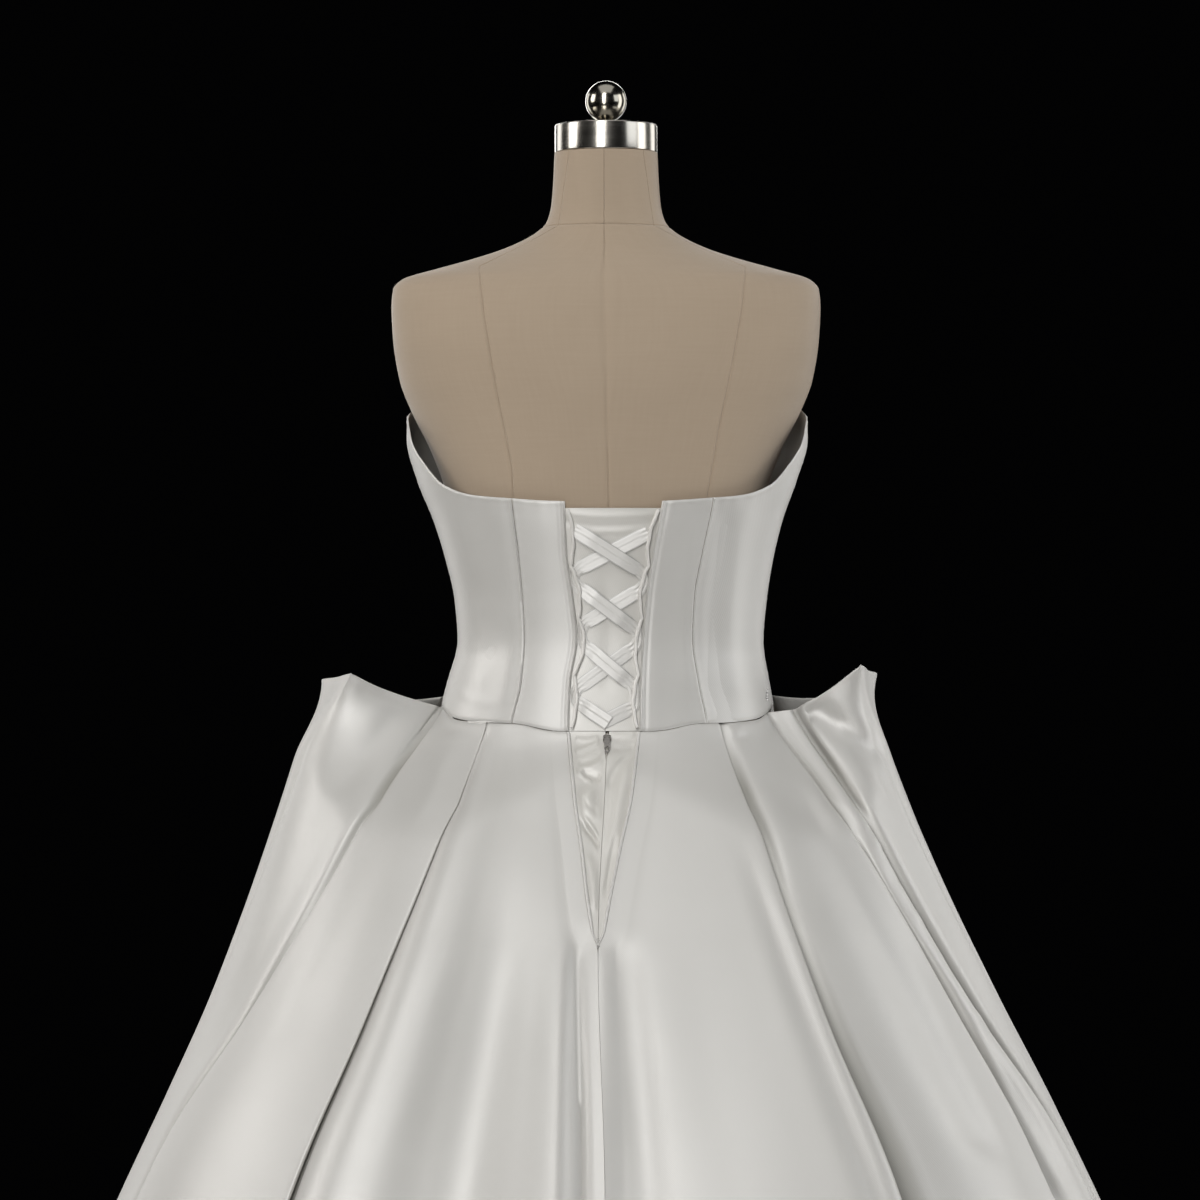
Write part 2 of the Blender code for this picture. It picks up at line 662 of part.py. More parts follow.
def lace_path(lace):
    """Points (x, height, layer, width) of a lace as it crosses the gap from loop to loop."""
    side = lace.first_side
    starts = [lace.heights[0]] + list(lace.heights[2:-1:2])
    ends = list(lace.heights[1::2])
    points = []
    for number, (start, end) in enumerate(zip(starts, ends)):
        word, other = ("left", "right") if side > 0 else ("right", "left")
        x0 = read(BACK_LINES, word + "_edge", start) - side * LACE_TURN
        x1 = read(BACK_LINES, other + "_edge", end) + side * LACE_TURN
        final = number == len(ends) - 1
        if final:
            x1 = lace.last_x
        over = LACE_OVER if side > 0 else LACE_UNDER
        for k in range(LACE_STEPS + 1):
            share = 0.05 + 0.90 * k / LACE_STEPS
            x = x0 + (x1 - x0) * share
            height = start + (end - start) * share
            reach = abs(x - x0) if final else min(abs(x - x0), abs(x - x1))
            climb = min(max((reach - LACE_CLIMB[0]) / LACE_CLIMB[1], 0.0), 1.0)
            spread = min(1.0, reach / 0.014) ** 0.7
            width = LACE_WAIST + (LACE_WIDTH - LACE_WAIST) * spread
            points.append((x, height, LACE_UNDER + (over - LACE_UNDER) * climb, width))
        if not final:
            points.append((x1, (end + starts[number + 1]) / 2, LACE_UNDER, LACE_WAIST))
        side = -side
    return points


def build_laces():
    """The two halves of the lace, each crossing over on one slant and under on the other."""
    for lace in LACES:
        centres, outs, widths = [], [], []
        for x, height, layer, width in lace_path(lace):
            normal = back_normal(x, height)
            centres.append(back_point(x, height, 0.0) + normal * layer)
            outs.append(normal)
            widths.append(width)
        strip(lace.name, centres, outs, widths, LACE_WALL, satin())


# The skirt


class HalfRing:
    """One half of the skirt at one height: its base curve from centre back to centre front."""

    SAMPLES = 24

    def __init__(self, side, height):
        self.side = side
        self.height = height
        self.lines = LEFT_LINES if side > 0 else RIGHT_LINES
        points = []
        for number in range(len(self.lines) - 1):
            for k in range(self.SAMPLES):
                points.append(self.base(number + k / self.SAMPLES))
        points.append(self.base(len(self.lines) - 1))
        self.points = np.array(points)
        steps = np.diff(self.points, axis=0)
        lengths = np.linalg.norm(steps, axis=1)
        self.arcs = np.concatenate([[0.0], np.cumsum(lengths)])
        tangents = np.vstack([steps[:1], steps[:-1] + steps[1:], steps[-1:]])
        tangents[0] = (side * 1.0, 0.0)
        tangents[-1] = (-side * 1.0, 0.0)
        tangents /= np.linalg.norm(tangents, axis=1, keepdims=True)
        self.normals = np.stack([-tangents[:, 1], tangents[:, 0]], axis=1) * side

    def base(self, place):
        """Point of the base curve at a place, counted in lines from the centre back."""
        first = min(int(place), len(self.lines) - 2)
        share = place - first
        start, end = self.lines[first], self.lines[first + 1]
        reach = start.reach * (1 - share) + end.reach * share
        top = line_top(self.side, start) * (1 - share) + line_top(self.side, end) * share
        fall = min(max((top - self.height) / reach, 0.0), 1.0)
        weight = math.sin(math.pi / 2 * fall)
        turn = line_angle(start, self.height) * (1 - share) + line_angle(end, self.height) * share
        low = np.array(outline_point(SKIRT_SECTIONS, self.height, self.side, turn))
        high = np.array(waist_plan(self.side, start, end, share))
        return high * (1 - weight) + low * weight

    def arc(self, name):
        """Arc length at a named line."""
        number = [line.name for line in self.lines].index(name)
        return self.arcs[number * self.SAMPLES]

    def arc_at_x(self, x):
        """Arc length near the centre back where the base curve has this x."""
        if self.side * x < 0:
            return self.side * x
        near = 2 * self.SAMPLES
        return float(np.interp(self.side * x, self.side * self.points[:near, 0], self.arcs[:near]))

    def place_of(self, arc):
        """Place of an arc length, counted in lines from the centre back."""
        return float(np.interp(arc, self.arcs, np.arange(len(self.arcs)) / self.SAMPLES))

    def point(self, arc, out):
        """Point at an arc length, moved outwards."""
        if arc < 0:
            return (self.points[0][0] + self.side * arc, self.points[0][1] + out)
        x, y = (np.interp(arc, self.arcs, self.points[:, k]) for k in (0, 1))
        nx, ny = (np.interp(arc, self.arcs, self.normals[:, k]) for k in (0, 1))
        size = math.hypot(nx, ny)
        return x + out * nx / size, y + out * ny / size


@functools.lru_cache(maxsize=None)
def half_ring(side, height):
    """The half ring at a height, made once."""
    return HalfRing(side, height)


def line_angle(line, height):
    """Angle of a line of the skirt on the outline at a height."""
    return curve_through(ANGLE_HEIGHTS[::-1], line.angles[::-1], height)


def body_angle(side, line):
    """Angle on the waist of a line that starts on the body."""
    front = line.y is not BODY
    return angle_of(BODICE_SECTIONS, WAIST_HEIGHT, side, line.x, front)


def starts_on_body(line):
    """Whether a line starts at the waist seam itself."""
    return line.top is BODY


def line_top(side, line):
    """Height at which a line of the skirt starts."""
    if starts_on_body(line):
        return edge_height("waist", body_angle(side, line)) - LAY_GAP
    return line.top


def waist_point(side, angle):
    """Point of the skirt's wall in plan, in line with the bodice's wall at the waist seam."""
    middle = (BODICE_WALL + SKIRT_WALL) / -4
    return outline_point(BODICE_SECTIONS, edge_height("waist", angle), side, angle, middle)


def waist_plan(side, start, end, share):
    """Point of the skirt's upper edge in plan, between two lines."""
    if starts_on_body(start) and starts_on_body(end):
        return waist_point(side, body_angle(side, start) * (1 - share) + body_angle(side, end) * share)
    ends = []
    for line in (start, end):
        if starts_on_body(line):
            ends.append(waist_point(side, body_angle(side, line)))
        else:
            ends.append((side * line.x, line.y))
    return tuple(a * (1 - share) + b * share for a, b in zip(*ends))


def fold_columns(arc, direction, radius, tuck):
    """Columns (arc, out) of one flat fold, in the order of growing arc length.

    With direction 1 the cloth nearer the centre back lies on top and ends at the crest. With
    direction -1 the cloth beyond lies on top, and its crest faces the centre back. The fifth
    column is the hidden seam, in the flat middle layer.
    """
    columns = []
    for degrees in (0, 60, 120, 180):
        turn = math.radians(degrees)
        columns.append((radius * math.sin(turn) - radius, radius * math.cos(turn) - radius))
    columns.append((SEAM_LAP - tuck, -2 * radius))
    for degrees in (0, 90, 180):
        turn = math.radians(degrees)
        columns.append((-tuck - radius * math.sin(turn), radius * math.cos(turn) - 3 * radius))
    columns.append((radius, -4 * radius))
    shaped = [(arc + direction * along, out) for along, out in columns]
    return shaped if direction > 0 else shaped[::-1]


def panel_columns(start, end, shares, bulge):
    """Columns between two columns, with the outs eased and a soft bulge added."""
    columns = []
    for share in shares:
        arc = start[0] * (1 - share) + end[0] * share
        out = start[1] * (1 - share) + end[1] * share + bulge * math.sin(math.pi * share)
        columns.append((arc, out))
    return columns


def rise(start, radius, direction):
    """Columns where cloth that comes out from under a fold rises to the base curve."""
    columns = []
    for share, level in ((0.35, 0.72), (0.7, 0.24), (1.0, 0.0)):
        columns.append((start[0] + direction * share * RISE_RADII * radius, level * start[1]))
    return columns if direction > 0 else columns[::-1]


def edge_x(side, height):
    """X of the skirt's edge at the V opening and of the centre-back seam below it."""
    column = "left" if side > 0 else "right"
    x = read(V_LINES, column if height > V_TIP else "middle", height)
    inset = SEAM_GAP / 2
    if height > V_TIP:
        inset += min(1.0, (height - V_TIP) / 0.012) * (2 * PIPING_RADIUS + SEAM_GAP)
    return x + side * inset


def back_columns(side, height):
    """Columns of a back half, from its edge to the hidden seam of its outer fold."""
    ring = half_ring(side, height)
    crisp = read(FOLD_SIZES, "crisp_radius", height)
    soft = read(FOLD_SIZES, "soft_radius", height)
    tuck = read(FOLD_SIZES, "tuck", height)
    narrow = read(FOLD_SIZES, "narrow_tuck", height)
    bulge = read(FOLD_SIZES, "bulge", height)
    edge = (ring.arc_at_x(edge_x(side, height)), 0.0)
    band = (edge[0] + EDGE_BAND, 0.0)
    inner = fold_columns(ring.arc("inner_fold"), -side, soft, tuck)
    if side > 0:
        climb = rise(inner[0], soft, -1)
        columns = [edge, band] + panel_columns(band, climb[0], (0.25, 0.5, 0.78), bulge)
        columns += climb + inner
        outer = fold_columns(ring.arc("outer_fold"), 1, soft, tuck)
        columns += panel_columns(inner[-1], outer[0], (0.12, 0.35, 0.65, 0.88), bulge)
        return columns + outer[:5]
    columns = [edge, band] + panel_columns(band, inner[0], (0.22, 0.5, 0.78, 0.93), bulge)
    climb = rise(inner[-1], soft, 1)
    columns += inner + climb
    width = ring.arc("outer_fold") - ring.arc("valley")
    depth = min(read(FOLD_SIZES, "valley", height), 0.45 * width)
    centre = ring.arc("valley")
    lip = (centre - 0.55 * width, 0.0)
    columns += panel_columns(climb[-1], lip, (0.3, 0.65), bulge)
    for along, level in ((-0.55, 0.0), (-0.22, 0.4), (0.0, 1.0), (0.28, 0.62), (0.62, 0.12)):
        columns.append((centre + along * width, -level * depth))
    return columns + fold_columns(ring.arc("outer_fold"), 1, crisp, narrow)[:5]


def side_columns(side, height):
    """Columns of a side piece, the standing pleat, from one hidden seam to the other."""
    ring = half_ring(side, height)
    soft = read(FOLD_SIZES, "soft_radius", height)
    tuck = read(FOLD_SIZES, "tuck", height)
    radius, depth = soft, tuck
    if side < 0:
        radius = read(FOLD_SIZES, "crisp_radius", height)
        depth = read(FOLD_SIZES, "narrow_tuck", height)
    back = fold_columns(ring.arc("outer_fold"), 1, radius, depth)
    front = fold_columns(ring.arc("front_outer_fold"), -1, soft, tuck)
    climb = rise(back[-1], radius, 1)
    fall = rise(front[0], soft, -1)
    corner = ring.arc("near_corner")
    far = ring.arc("far_corner")
    columns = [(back[4][0] - SEAM_GAP, back[4][1])] + back[5:] + climb
    for share in (0.25, 0.5, 0.75):
        arc = climb[-1][0] * (1 - share) + (corner - CORNER_ROUND) * share
        columns.append((arc, -crease(side, share, height)))
    columns += [(corner - CORNER_ROUND, 0.0), (corner, -CORNER_CUT), (corner + CORNER_ROUND, 0.0)]
    columns += [((corner + far) / 2, -CORNER_CUT)]
    columns += [(far - CORNER_ROUND, 0.0), (far, -CORNER_CUT), (far + CORNER_ROUND, 0.0)]
    columns += panel_columns(columns[-1], fall[0], (0.25, 0.5, 0.75), 0.0)
    return columns + fall + front[:5]


def crease(side, share, height):
    """Depth of the soft slanting crease in the face of the right standing pleat."""
    if side > 0:
        return 0.0
    middle = (1.035 - height) / 0.085
    return CREASE_DEPTH * math.exp(-(((share - middle) / 0.28) ** 2))


def front_columns(side, height):
    """Columns of half of the front, from its hidden side seam to the centre front."""
    ring = half_ring(side, height)
    soft = read(FOLD_SIZES, "soft_radius", height)
    tuck = read(FOLD_SIZES, "tuck", height)
    bulge = read(FOLD_SIZES, "bulge", height)
    outer = fold_columns(ring.arc("front_outer_fold"), -1, soft, tuck)
    inner = fold_columns(ring.arc("front_inner_fold"), -1, soft, tuck)
    fall = rise(inner[0], soft, -1)
    columns = [(outer[4][0] - SEAM_GAP, outer[4][1])] + outer[5:]
    columns += panel_columns(outer[-1], fall[0], (0.3, 0.7), bulge)
    middle = (ring.arc("centre_front"), 0.0)
    columns += fall + inner + panel_columns(inner[-1], middle, (0.15, 0.45, 0.75), bulge / 2)
    return columns + [middle]


def top_height(side, place):
    """Height of the skirt's upper edge at a place, counted in lines from the centre back."""
    lines = LEFT_LINES if side > 0 else RIGHT_LINES
    first = min(max(int(place), 0), len(lines) - 2)
    share = min(max(place - first, 0.0), 1.0)
    start, end = lines[first], lines[first + 1]
    if starts_on_body(start) and starts_on_body(end):
        angle = body_angle(side, start) * (1 - share) + body_angle(side, end) * share
        return edge_height("waist", angle) - LAY_GAP
    top = line_top(side, start) * (1 - share) + line_top(side, end) * share
    if start.name == "far_corner":
        top -= WING_SAG * math.sin(math.pi * share)
    return top


def skirt_grid(side, columns_at):
    """Grid of mid-wall points, a row at each share of the way from the hem to the upper edge."""
    ring = half_ring(side, WAIST_HEIGHT)
    tops = [top_height(side, ring.place_of(arc)) for arc, _ in columns_at(side, WAIST_HEIGHT)]
    grid = []
    for share in SKIRT_ROWS:
        row = []
        for number, top in enumerate(tops):
            height = HEM_HEIGHT + (top - HEM_HEIGHT) * share
            arc, out = columns_at(side, height)[number]
            row.append((*half_ring(side, height).point(arc, out), height))
        grid.append(row)
    return grid


def build_skirt():
    """Two back halves, two standing side pleats and a front, meeting at hidden seams."""
    half = SKIRT_WALL / 2
    for side, word in ((1, "left"), (-1, "right")):
        cloth_wall(f"skirt_back_{word}", skirt_grid(side, back_columns), half, half, satin())
        cloth_wall(f"skirt_side_{word}", skirt_grid(side, side_columns), half, half, satin())
    left = np.array(skirt_grid(1, front_columns))
    right = np.array(skirt_grid(-1, front_columns))
    front = np.concatenate([left[:, :-1], right[:, ::-1]], axis=1)
    cloth_wall("skirt_front", front, half, half, satin())


def build_underlays():
    """Inner layer on each side that closes the waist seam inside the standing pleat."""
    rows, columns = 8, 6
    for side, word in ((1, "left"), (-1, "right")):
        start, end = UNDERLAY_ANGLES[side]
        grid = []
        for i in range(rows):
            row = []
            spread = (i / (rows - 1)) ** 1.7
            for j in range(columns):
                share = j / (columns - 1)
                angle = start + (end - start) * share
                top = edge_height("waist", angle) - LAY_GAP
                height = top + (UNDERLAY_BOTTOM - top) * i / (rows - 1)
                x, y = waist_point(side, angle)
                y_end = UNDERLAY_ENDS[0] * (1 - share) + UNDERLAY_ENDS[1] * share
                x_end = side * UNDERLAY_REACH
                row.append((x + (x_end - x) * spread, y + (y_end - y) * spread, height))
            grid.append(row)
        cloth_wall(f"skirt_underlay_{word}", grid, SKIRT_WALL / 2, SKIRT_WALL / 2, satin())


# V opening, placket and zip


def waist_top():
    """Height of the skirt's upper edge at the centre back."""
    return edge_height("waist", 0.0) - LAY_GAP


def between_rows(value, height):
    """A value of height read at the skirt's rows and taken straight between them."""
    levels = [HEM_HEIGHT + (waist_top() - HEM_HEIGHT) * share for share in SKIRT_ROWS]
    for high, low in zip(levels, levels[1:]):
        if height >= low:
            break
    share = (height - low) / (high - low)
    return value(low) * (1 - share) + value(high) * share


def centre_point(x, height, out):
    """Point near the centre back of the skirt, on its flat-faced wall, moved outwards."""

    def depth(level):
        side = 1 if x >= 0 else -1
        ring = half_ring(side, level)
        return ring.point(ring.arc_at_x(x), 0.0)[1]

    low = between_rows(depth, height - 0.004)
    high = between_rows(depth, min(height + 0.004, waist_top()))
    slope = (high - low) / (min(height + 0.004, waist_top()) - height + 0.004)
    length = math.hypot(1.0, slope)
    y = between_rows(depth, min(height, waist_top()))
    return Vector((x, y + out / length, height - out * slope / length))


def v_rows():
    """Heights of the placket's rows: the skirt's own rows down to just under the V's tip."""
    levels = [HEM_HEIGHT + (waist_top() - HEM_HEIGHT) * share for share in SKIRT_ROWS]
    return [level for level in levels if level > V_TIP - 0.002] + [PLACKET_BOTTOM]


def flap(name, wall, columns, left, right):
    """A flat wall under the V, between two lines that are given as functions of height."""
    face = SKIRT_WALL / 2 + PLACKET_GAP
    faces = []
    for depth in (face, face + wall):
        grid = []
        for height in v_rows():
            xs = np.linspace(left(height), right(height), columns)
            grid.append([(x, centre_point(x, height, 0.0).y - depth, height) for x in xs])
        faces.append(np.array(grid))
    return wall_between(name, faces[0], faces[1], satin())


def build_placket():
    """A flap under each edge of the V, the two meeting at the zip."""
    for side, word in ((1, "left"), (-1, "right")):
        flap(
            f"placket_{word}",
            PLACKET_WALL,
            6,
            lambda height: read(V_LINES, "middle", height) + side * (ZIP_HALF_WIDTH + SEAM_GAP),
            lambda height: between_rows(functools.partial(edge_x, side), height) + side * PLACKET_TUCK,
        )


def build_zip():
    """Closed coil of the zip between the two flaps."""
    flap(
        "zip",
        ZIP_WALL,
        3,
        lambda height: read(V_LINES, "middle", height) + ZIP_HALF_WIDTH,
        lambda height: read(V_LINES, "middle", height) - ZIP_HALF_WIDTH,
    )


def zip_frame():
    """Matrix whose X runs across, Y up the placket and Z out of it, at the slider's place."""
    face = SKIRT_WALL / 2 + PLACKET_GAP
    x = read(V_LINES, "middle", SLIDER_HEIGHT)
    low = centre_point(x, SLIDER_HEIGHT - 0.006, 0.0)
    high = centre_point(x, SLIDER_HEIGHT + 0.005, 0.0)
    up = (high - low).normalized()
    out = Vector((-1.0, 0.0, 0.0)).cross(up).normalized()
    place = centre_point(x, SLIDER_HEIGHT, 0.0) - Vector((0.0, face, 0.0))
    frame = Matrix((Vector((-1.0, 0.0, 0.0)), up, out)).transposed().to_4x4()
    frame.translation = place + out * SLIDER_CLEAR
    return frame


def prism(name, outline, depth, frame, material):
    """An outline in the frame's X and Y, from its plane out to a depth along its Z."""
    points = [frame @ Vector((x, y, 0.0)) for x, y in outline]
    points += [frame @ Vector((x, y, depth)) for x, y in outline]
    count = len(outline)
    faces = [tuple(range(count)), tuple(range(2 * count - 1, count - 1, -1))]
    for k in range(count):
        follow = (k + 1) % count
        faces.append((k, follow, count + follow, count + k))
    return solid_from(name, points, faces, material, 30.0)


def build_slider():
    """Slider body with a rail on each side, an extruded channel."""
    frame = zip_frame()
    half, rail = SLIDER_WIDTH / 2, SLIDER_RAIL
    tall = SLIDER_PLATE + 2 * SEAM_GAP + PULL_WALL + 0.0004
    channel = [
        (-half, 0.0),
        (half, 0.0),
        (half, tall),
        (half - rail, tall),
        (half - rail, SLIDER_PLATE),
        (rail - half, SLIDER_PLATE),
        (rail - half, tall),
        (-half, tall),
    ]
    upright = Matrix(((1, 0, 0, 0), (0, 0, -1, SLIDER_LENGTH / 2), (0, 1, 0, 0), (0, 0, 0, 1)))
    prism("zip_slider", channel, SLIDER_LENGTH, frame @ upright, steel("zip_nickel", 0.2))


def build_pull():
    """Pull tab, hinged between the slider's rails near its upper end."""
    pivot = Vector((0.0, SLIDER_LENGTH / 2 - 0.0016, SLIDER_PLATE + SEAM_GAP + PULL_WALL / 2))
    neck, wide = PULL_NECK_WIDTH / 2, PULL_WIDTH / 2
    shoulder = -SLIDER_LENGTH + 0.0010
    outline = [(-neck, 0.0005), (neck, 0.0005), (neck, shoulder)]
    for k in range(7):
        turn = math.pi * k / 6
        outline.append((wide * math.cos(turn), wide - PULL_LENGTH - wide * math.sin(turn)))
    outline += [(-neck, shoulder)]
    flat = Matrix.Translation((0.0, 0.0, -PULL_WALL / 2))
    body = prism("zip_pull", outline, PULL_WALL, flat, steel("zip_nickel", 0.2))
    body.matrix_world = zip_frame() @ Matrix.Translation(pivot)


def build_piping():
    """Rolled edge along each side of the V, the two ending side by side near its tip."""
    for side, word in ((1, "left"), (-1, "right")):
        path = []
        top = waist_top() - PIPING_RADIUS
        bottom = V_TIP + PIPING_END
        heights = [top] + [level for level in v_rows()[1:] if level > bottom] + [bottom]
        for high, low in zip(heights, heights[1:]):
            for k in range(PIPING_STEPS):
                path.append(piping_point(side, high + (low - high) * k / PIPING_STEPS))
        path.append(piping_point(side, bottom))
        tube(f"v_piping_{word}", path, PIPING_RADIUS, satin())


def piping_point(side, height):
    """Centre of the rolled edge at a height."""
    x = between_rows(functools.partial(edge_x, side), height) - side * (PIPING_RADIUS + SEAM_GAP)
    return centre_point(x, height, PIPING_RISE)


def main():
    """Build the form, then the gown from the bodice down."""
    clear_scene()
    build_form_body()
    build_neck_cap()
    build_knob()
    build_stand()
    build_bodice()
    build_modesty_panel()
    build_loops()
    build_laces()
    build_skirt()
    build_underlays()
    build_placket()
    build_zip()
    build_piping()
    build_slider()
    build_pull()


main()
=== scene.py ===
"""Looks of a strapless wedding gown with a laced back, standing on a limbless dress form.

The frame is metres, +Z up. The dress faces -Y and its laced back faces +Y, so the left of a
viewer who stands behind it is +X. Angles round the body run from the centre back (0) through a
side (90) to the centre front (180). Creases and folds are placed on the view plane: an
upright plane through the pole, seen from behind and counted in steps of 0.95 mm to the right and
down from its upper left corner.
"""

import functools
import logging
import math
from dataclasses import dataclass, field, replace
from enum import Enum
from typing import Callable, Optional, Sequence, Union

import bmesh
import bpy
import numpy as np
from mathutils import Matrix, Vector


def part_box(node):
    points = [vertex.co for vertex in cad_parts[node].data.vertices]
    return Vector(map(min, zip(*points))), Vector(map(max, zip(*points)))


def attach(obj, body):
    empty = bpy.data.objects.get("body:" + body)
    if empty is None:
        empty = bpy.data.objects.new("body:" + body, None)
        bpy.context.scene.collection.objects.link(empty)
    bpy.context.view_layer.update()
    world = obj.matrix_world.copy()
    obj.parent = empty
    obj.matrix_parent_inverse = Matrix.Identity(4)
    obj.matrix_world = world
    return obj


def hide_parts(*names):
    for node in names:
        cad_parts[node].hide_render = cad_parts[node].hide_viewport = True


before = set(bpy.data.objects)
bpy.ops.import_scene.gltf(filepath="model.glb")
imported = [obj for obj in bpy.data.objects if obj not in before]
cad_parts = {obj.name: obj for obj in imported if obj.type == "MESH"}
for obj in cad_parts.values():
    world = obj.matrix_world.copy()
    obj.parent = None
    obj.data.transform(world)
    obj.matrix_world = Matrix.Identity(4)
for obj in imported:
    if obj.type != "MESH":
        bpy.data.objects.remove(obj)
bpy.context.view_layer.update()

log = logging.getLogger("gown")

GOWN_BODY = "dress_and_form"
PULL_BODY = "zip_pull"
BODICE_WALL = 0.0018
SKIRT_WALL = 0.0016
SHELL_WALL = 0.0012
SEAM_GAP = 0.0003
LAY_GAP = 0.0006
PLACKET_GAP = 0.0010
SEAM_LAP = 0.002
HEM_HEIGHT = 0.008
WAIST_DIP = 0.0009
WAIST_DIP_WIDTH = 0.0016

Points = np.ndarray
Pairs = Sequence[tuple[float, float]]
# Name of the value stored on skirt points that sets the painted shade deep in folds.
PAINTED_FOLD_SHADE = "folded"
Colour = tuple[float, float, float]
Shade = Union[Colour, bpy.types.NodeSocket]


class Side(Enum):
    """Half of the dress, named as a viewer behind it sees it, with the sign of its X."""

    LEFT = 1
    RIGHT = -1


class Slot(Enum):
    """Material slots of the record."""

    SATIN = "satin"
    LINEN = "form_linen"
    CAP = "cap_steel"
    KNOB = "knob_chrome"
    STAND = "stand_steel"
    COIL = "zip_coil"
    METAL = "zip_metal"


class Run(Enum):
    """Main direction of a crease on the view plane."""

    DOWN = "down"
    ACROSS = "across"


# Numbers and tables


def smooth_through(known: Points, values: Points, at: Points) -> Points:
    """Read a smooth curve through known places, with no overshoot.

    Args:
        known: Places, growing.
        values: Values there.
        at: Places to read.

    Returns:
        The values at those places.
    """
    at = np.clip(at, known[0], known[-1])
    steps = np.diff(known)
    slopes = np.diff(values) / steps
    tangents = np.zeros(len(known))
    tangents[0], tangents[-1] = slopes[0], slopes[-1]
    for i in range(1, len(known) - 1):
        if slopes[i - 1] * slopes[i] > 0:
            before = 2 * steps[i] + steps[i - 1]
            after = steps[i] + 2 * steps[i - 1]
            tangents[i] = (before + after) / (before / slopes[i - 1] + after / slopes[i])
    i = np.clip(np.searchsorted(known, at, side="right") - 1, 0, len(steps) - 1)
    t = (at - known[i]) / steps[i]
    start = (1 + 2 * t) * (1 - t) ** 2 * values[i] + t * (1 - t) ** 2 * steps[i] * tangents[i]
    end = t**2 * (3 - 2 * t) * values[i + 1] + t**2 * (t - 1) * steps[i] * tangents[i + 1]
    return start + end


def between(start: Points, end: Points, share: Points) -> Points:
    """Values at a share of the way from a start to an end."""
    return start * (1 - share) + end * share


def bell(distance: Points, width: Points) -> Points:
    """A soft hump, 1 in its middle and nearly nought from two widths away."""
    return np.exp(-((distance / width) ** 2))


class Table:
    """Rows of numbers under named columns, read smoothly by the first one."""

    def __init__(self, columns: str, *rows: tuple[float, ...]) -> None:
        """Keep the rows by column.

        Args:
            columns: Names of the columns, with a space between.
            rows: The rows, growing in their first number.
        """
        self.columns = dict(zip(columns.split(), np.array(rows, float).T))
        self.known = self.columns[columns.split()[0]]

    def read(self, column: str, at: Union[float, Points]) -> Points:
        """Value of a column where the first one has the given value."""
        return smooth_through(self.known, self.columns[column], np.asarray(at, float))


@dataclass(frozen=True)
class Outline:
    """A form that is a superellipse at each height, with its own half widths and depths."""

    table: Table

    def point(self, height: Points, side: Points, angle: Points, out: Points = 0.0) -> Points:
        """Points of the outline.

        Args:
            height: Heights.
            side: 1 for the left half and -1 for the right.
            angle: Angles from the centre back.
            out: How far outwards of the outline.

        Returns:
            Points in an array with three columns.
        """
        height, side, angle, out = np.broadcast_arrays(height, side, angle, out)
        read = self.table.read
        wide = np.where(side > 0, read("left", height), read("right", height))
        sign = np.where(angle <= 90, 1.0, -1.0)
        deep = np.where(angle <= 90, read("back", height), read("front", height))
        power = 2 / read("square", height)
        turn = np.radians(angle)
        sine, cosine = np.abs(np.sin(turn)), np.abs(np.cos(turn))
        normal_x = sine ** (2 - power) / wide
        normal_y = sign * cosine ** (2 - power) / deep
        length = np.hypot(normal_x, normal_y)
        x = side * (wide * sine**power + out * normal_x / length)
        y = sign * deep * cosine**power + out * normal_y / length
        return np.stack([x, y, height.astype(float)], axis=-1)

    def angle(self, height: Points, side: int, x: Points, front: bool = False) -> Points:
        """Angle of the point at a distance x from the centre plane.

        Args:
            height: Heights.
            side: 1 for the left half and -1 for the right.
            x: Distances, of either sign.
            front: Whether the point is on the front.

        Returns:
            The angles in degrees.
        """
        wide = self.table.read("left" if side > 0 else "right", height)
        share = np.minimum(np.abs(x) / wide, 1.0) ** (self.table.read("square", height) / 2)
        angle = np.degrees(np.arcsin(share))
        return 180 - angle if front else angle


BODICE = Outline(
    Table(
        "height left right back front square",
        (0.980, 0.176, 0.176, 0.118, 0.128, 2.2),
        (1.010, 0.166, 0.167, 0.1085, 0.1200, 2.2),
        (1.028, 0.160, 0.162, 0.1045, 0.1160, 2.2),
        (1.0615, 0.1500, 0.1550, 0.1000, 0.1100, 2.2),
        (1.0995, 0.1405, 0.1495, 0.0965, 0.1060, 2.2),
        (1.1375, 0.1435, 0.1525, 0.0990, 0.1100, 2.2),
        (1.1755, 0.1525, 0.1585, 0.1040, 0.1190, 2.2),
        (1.2135, 0.1645, 0.1680, 0.1095, 0.1330, 2.2),
        (1.2515, 0.1795, 0.1815, 0.1125, 0.1450, 2.2),
        (1.2900, 0.1890, 0.1915, 0.1130, 0.1480, 2.2),
        (1.3130, 0.1885, 0.1910, 0.1120, 0.1455, 2.2),
        (1.3500, 0.1885, 0.1910, 0.1100, 0.1400, 2.2),
    )
)
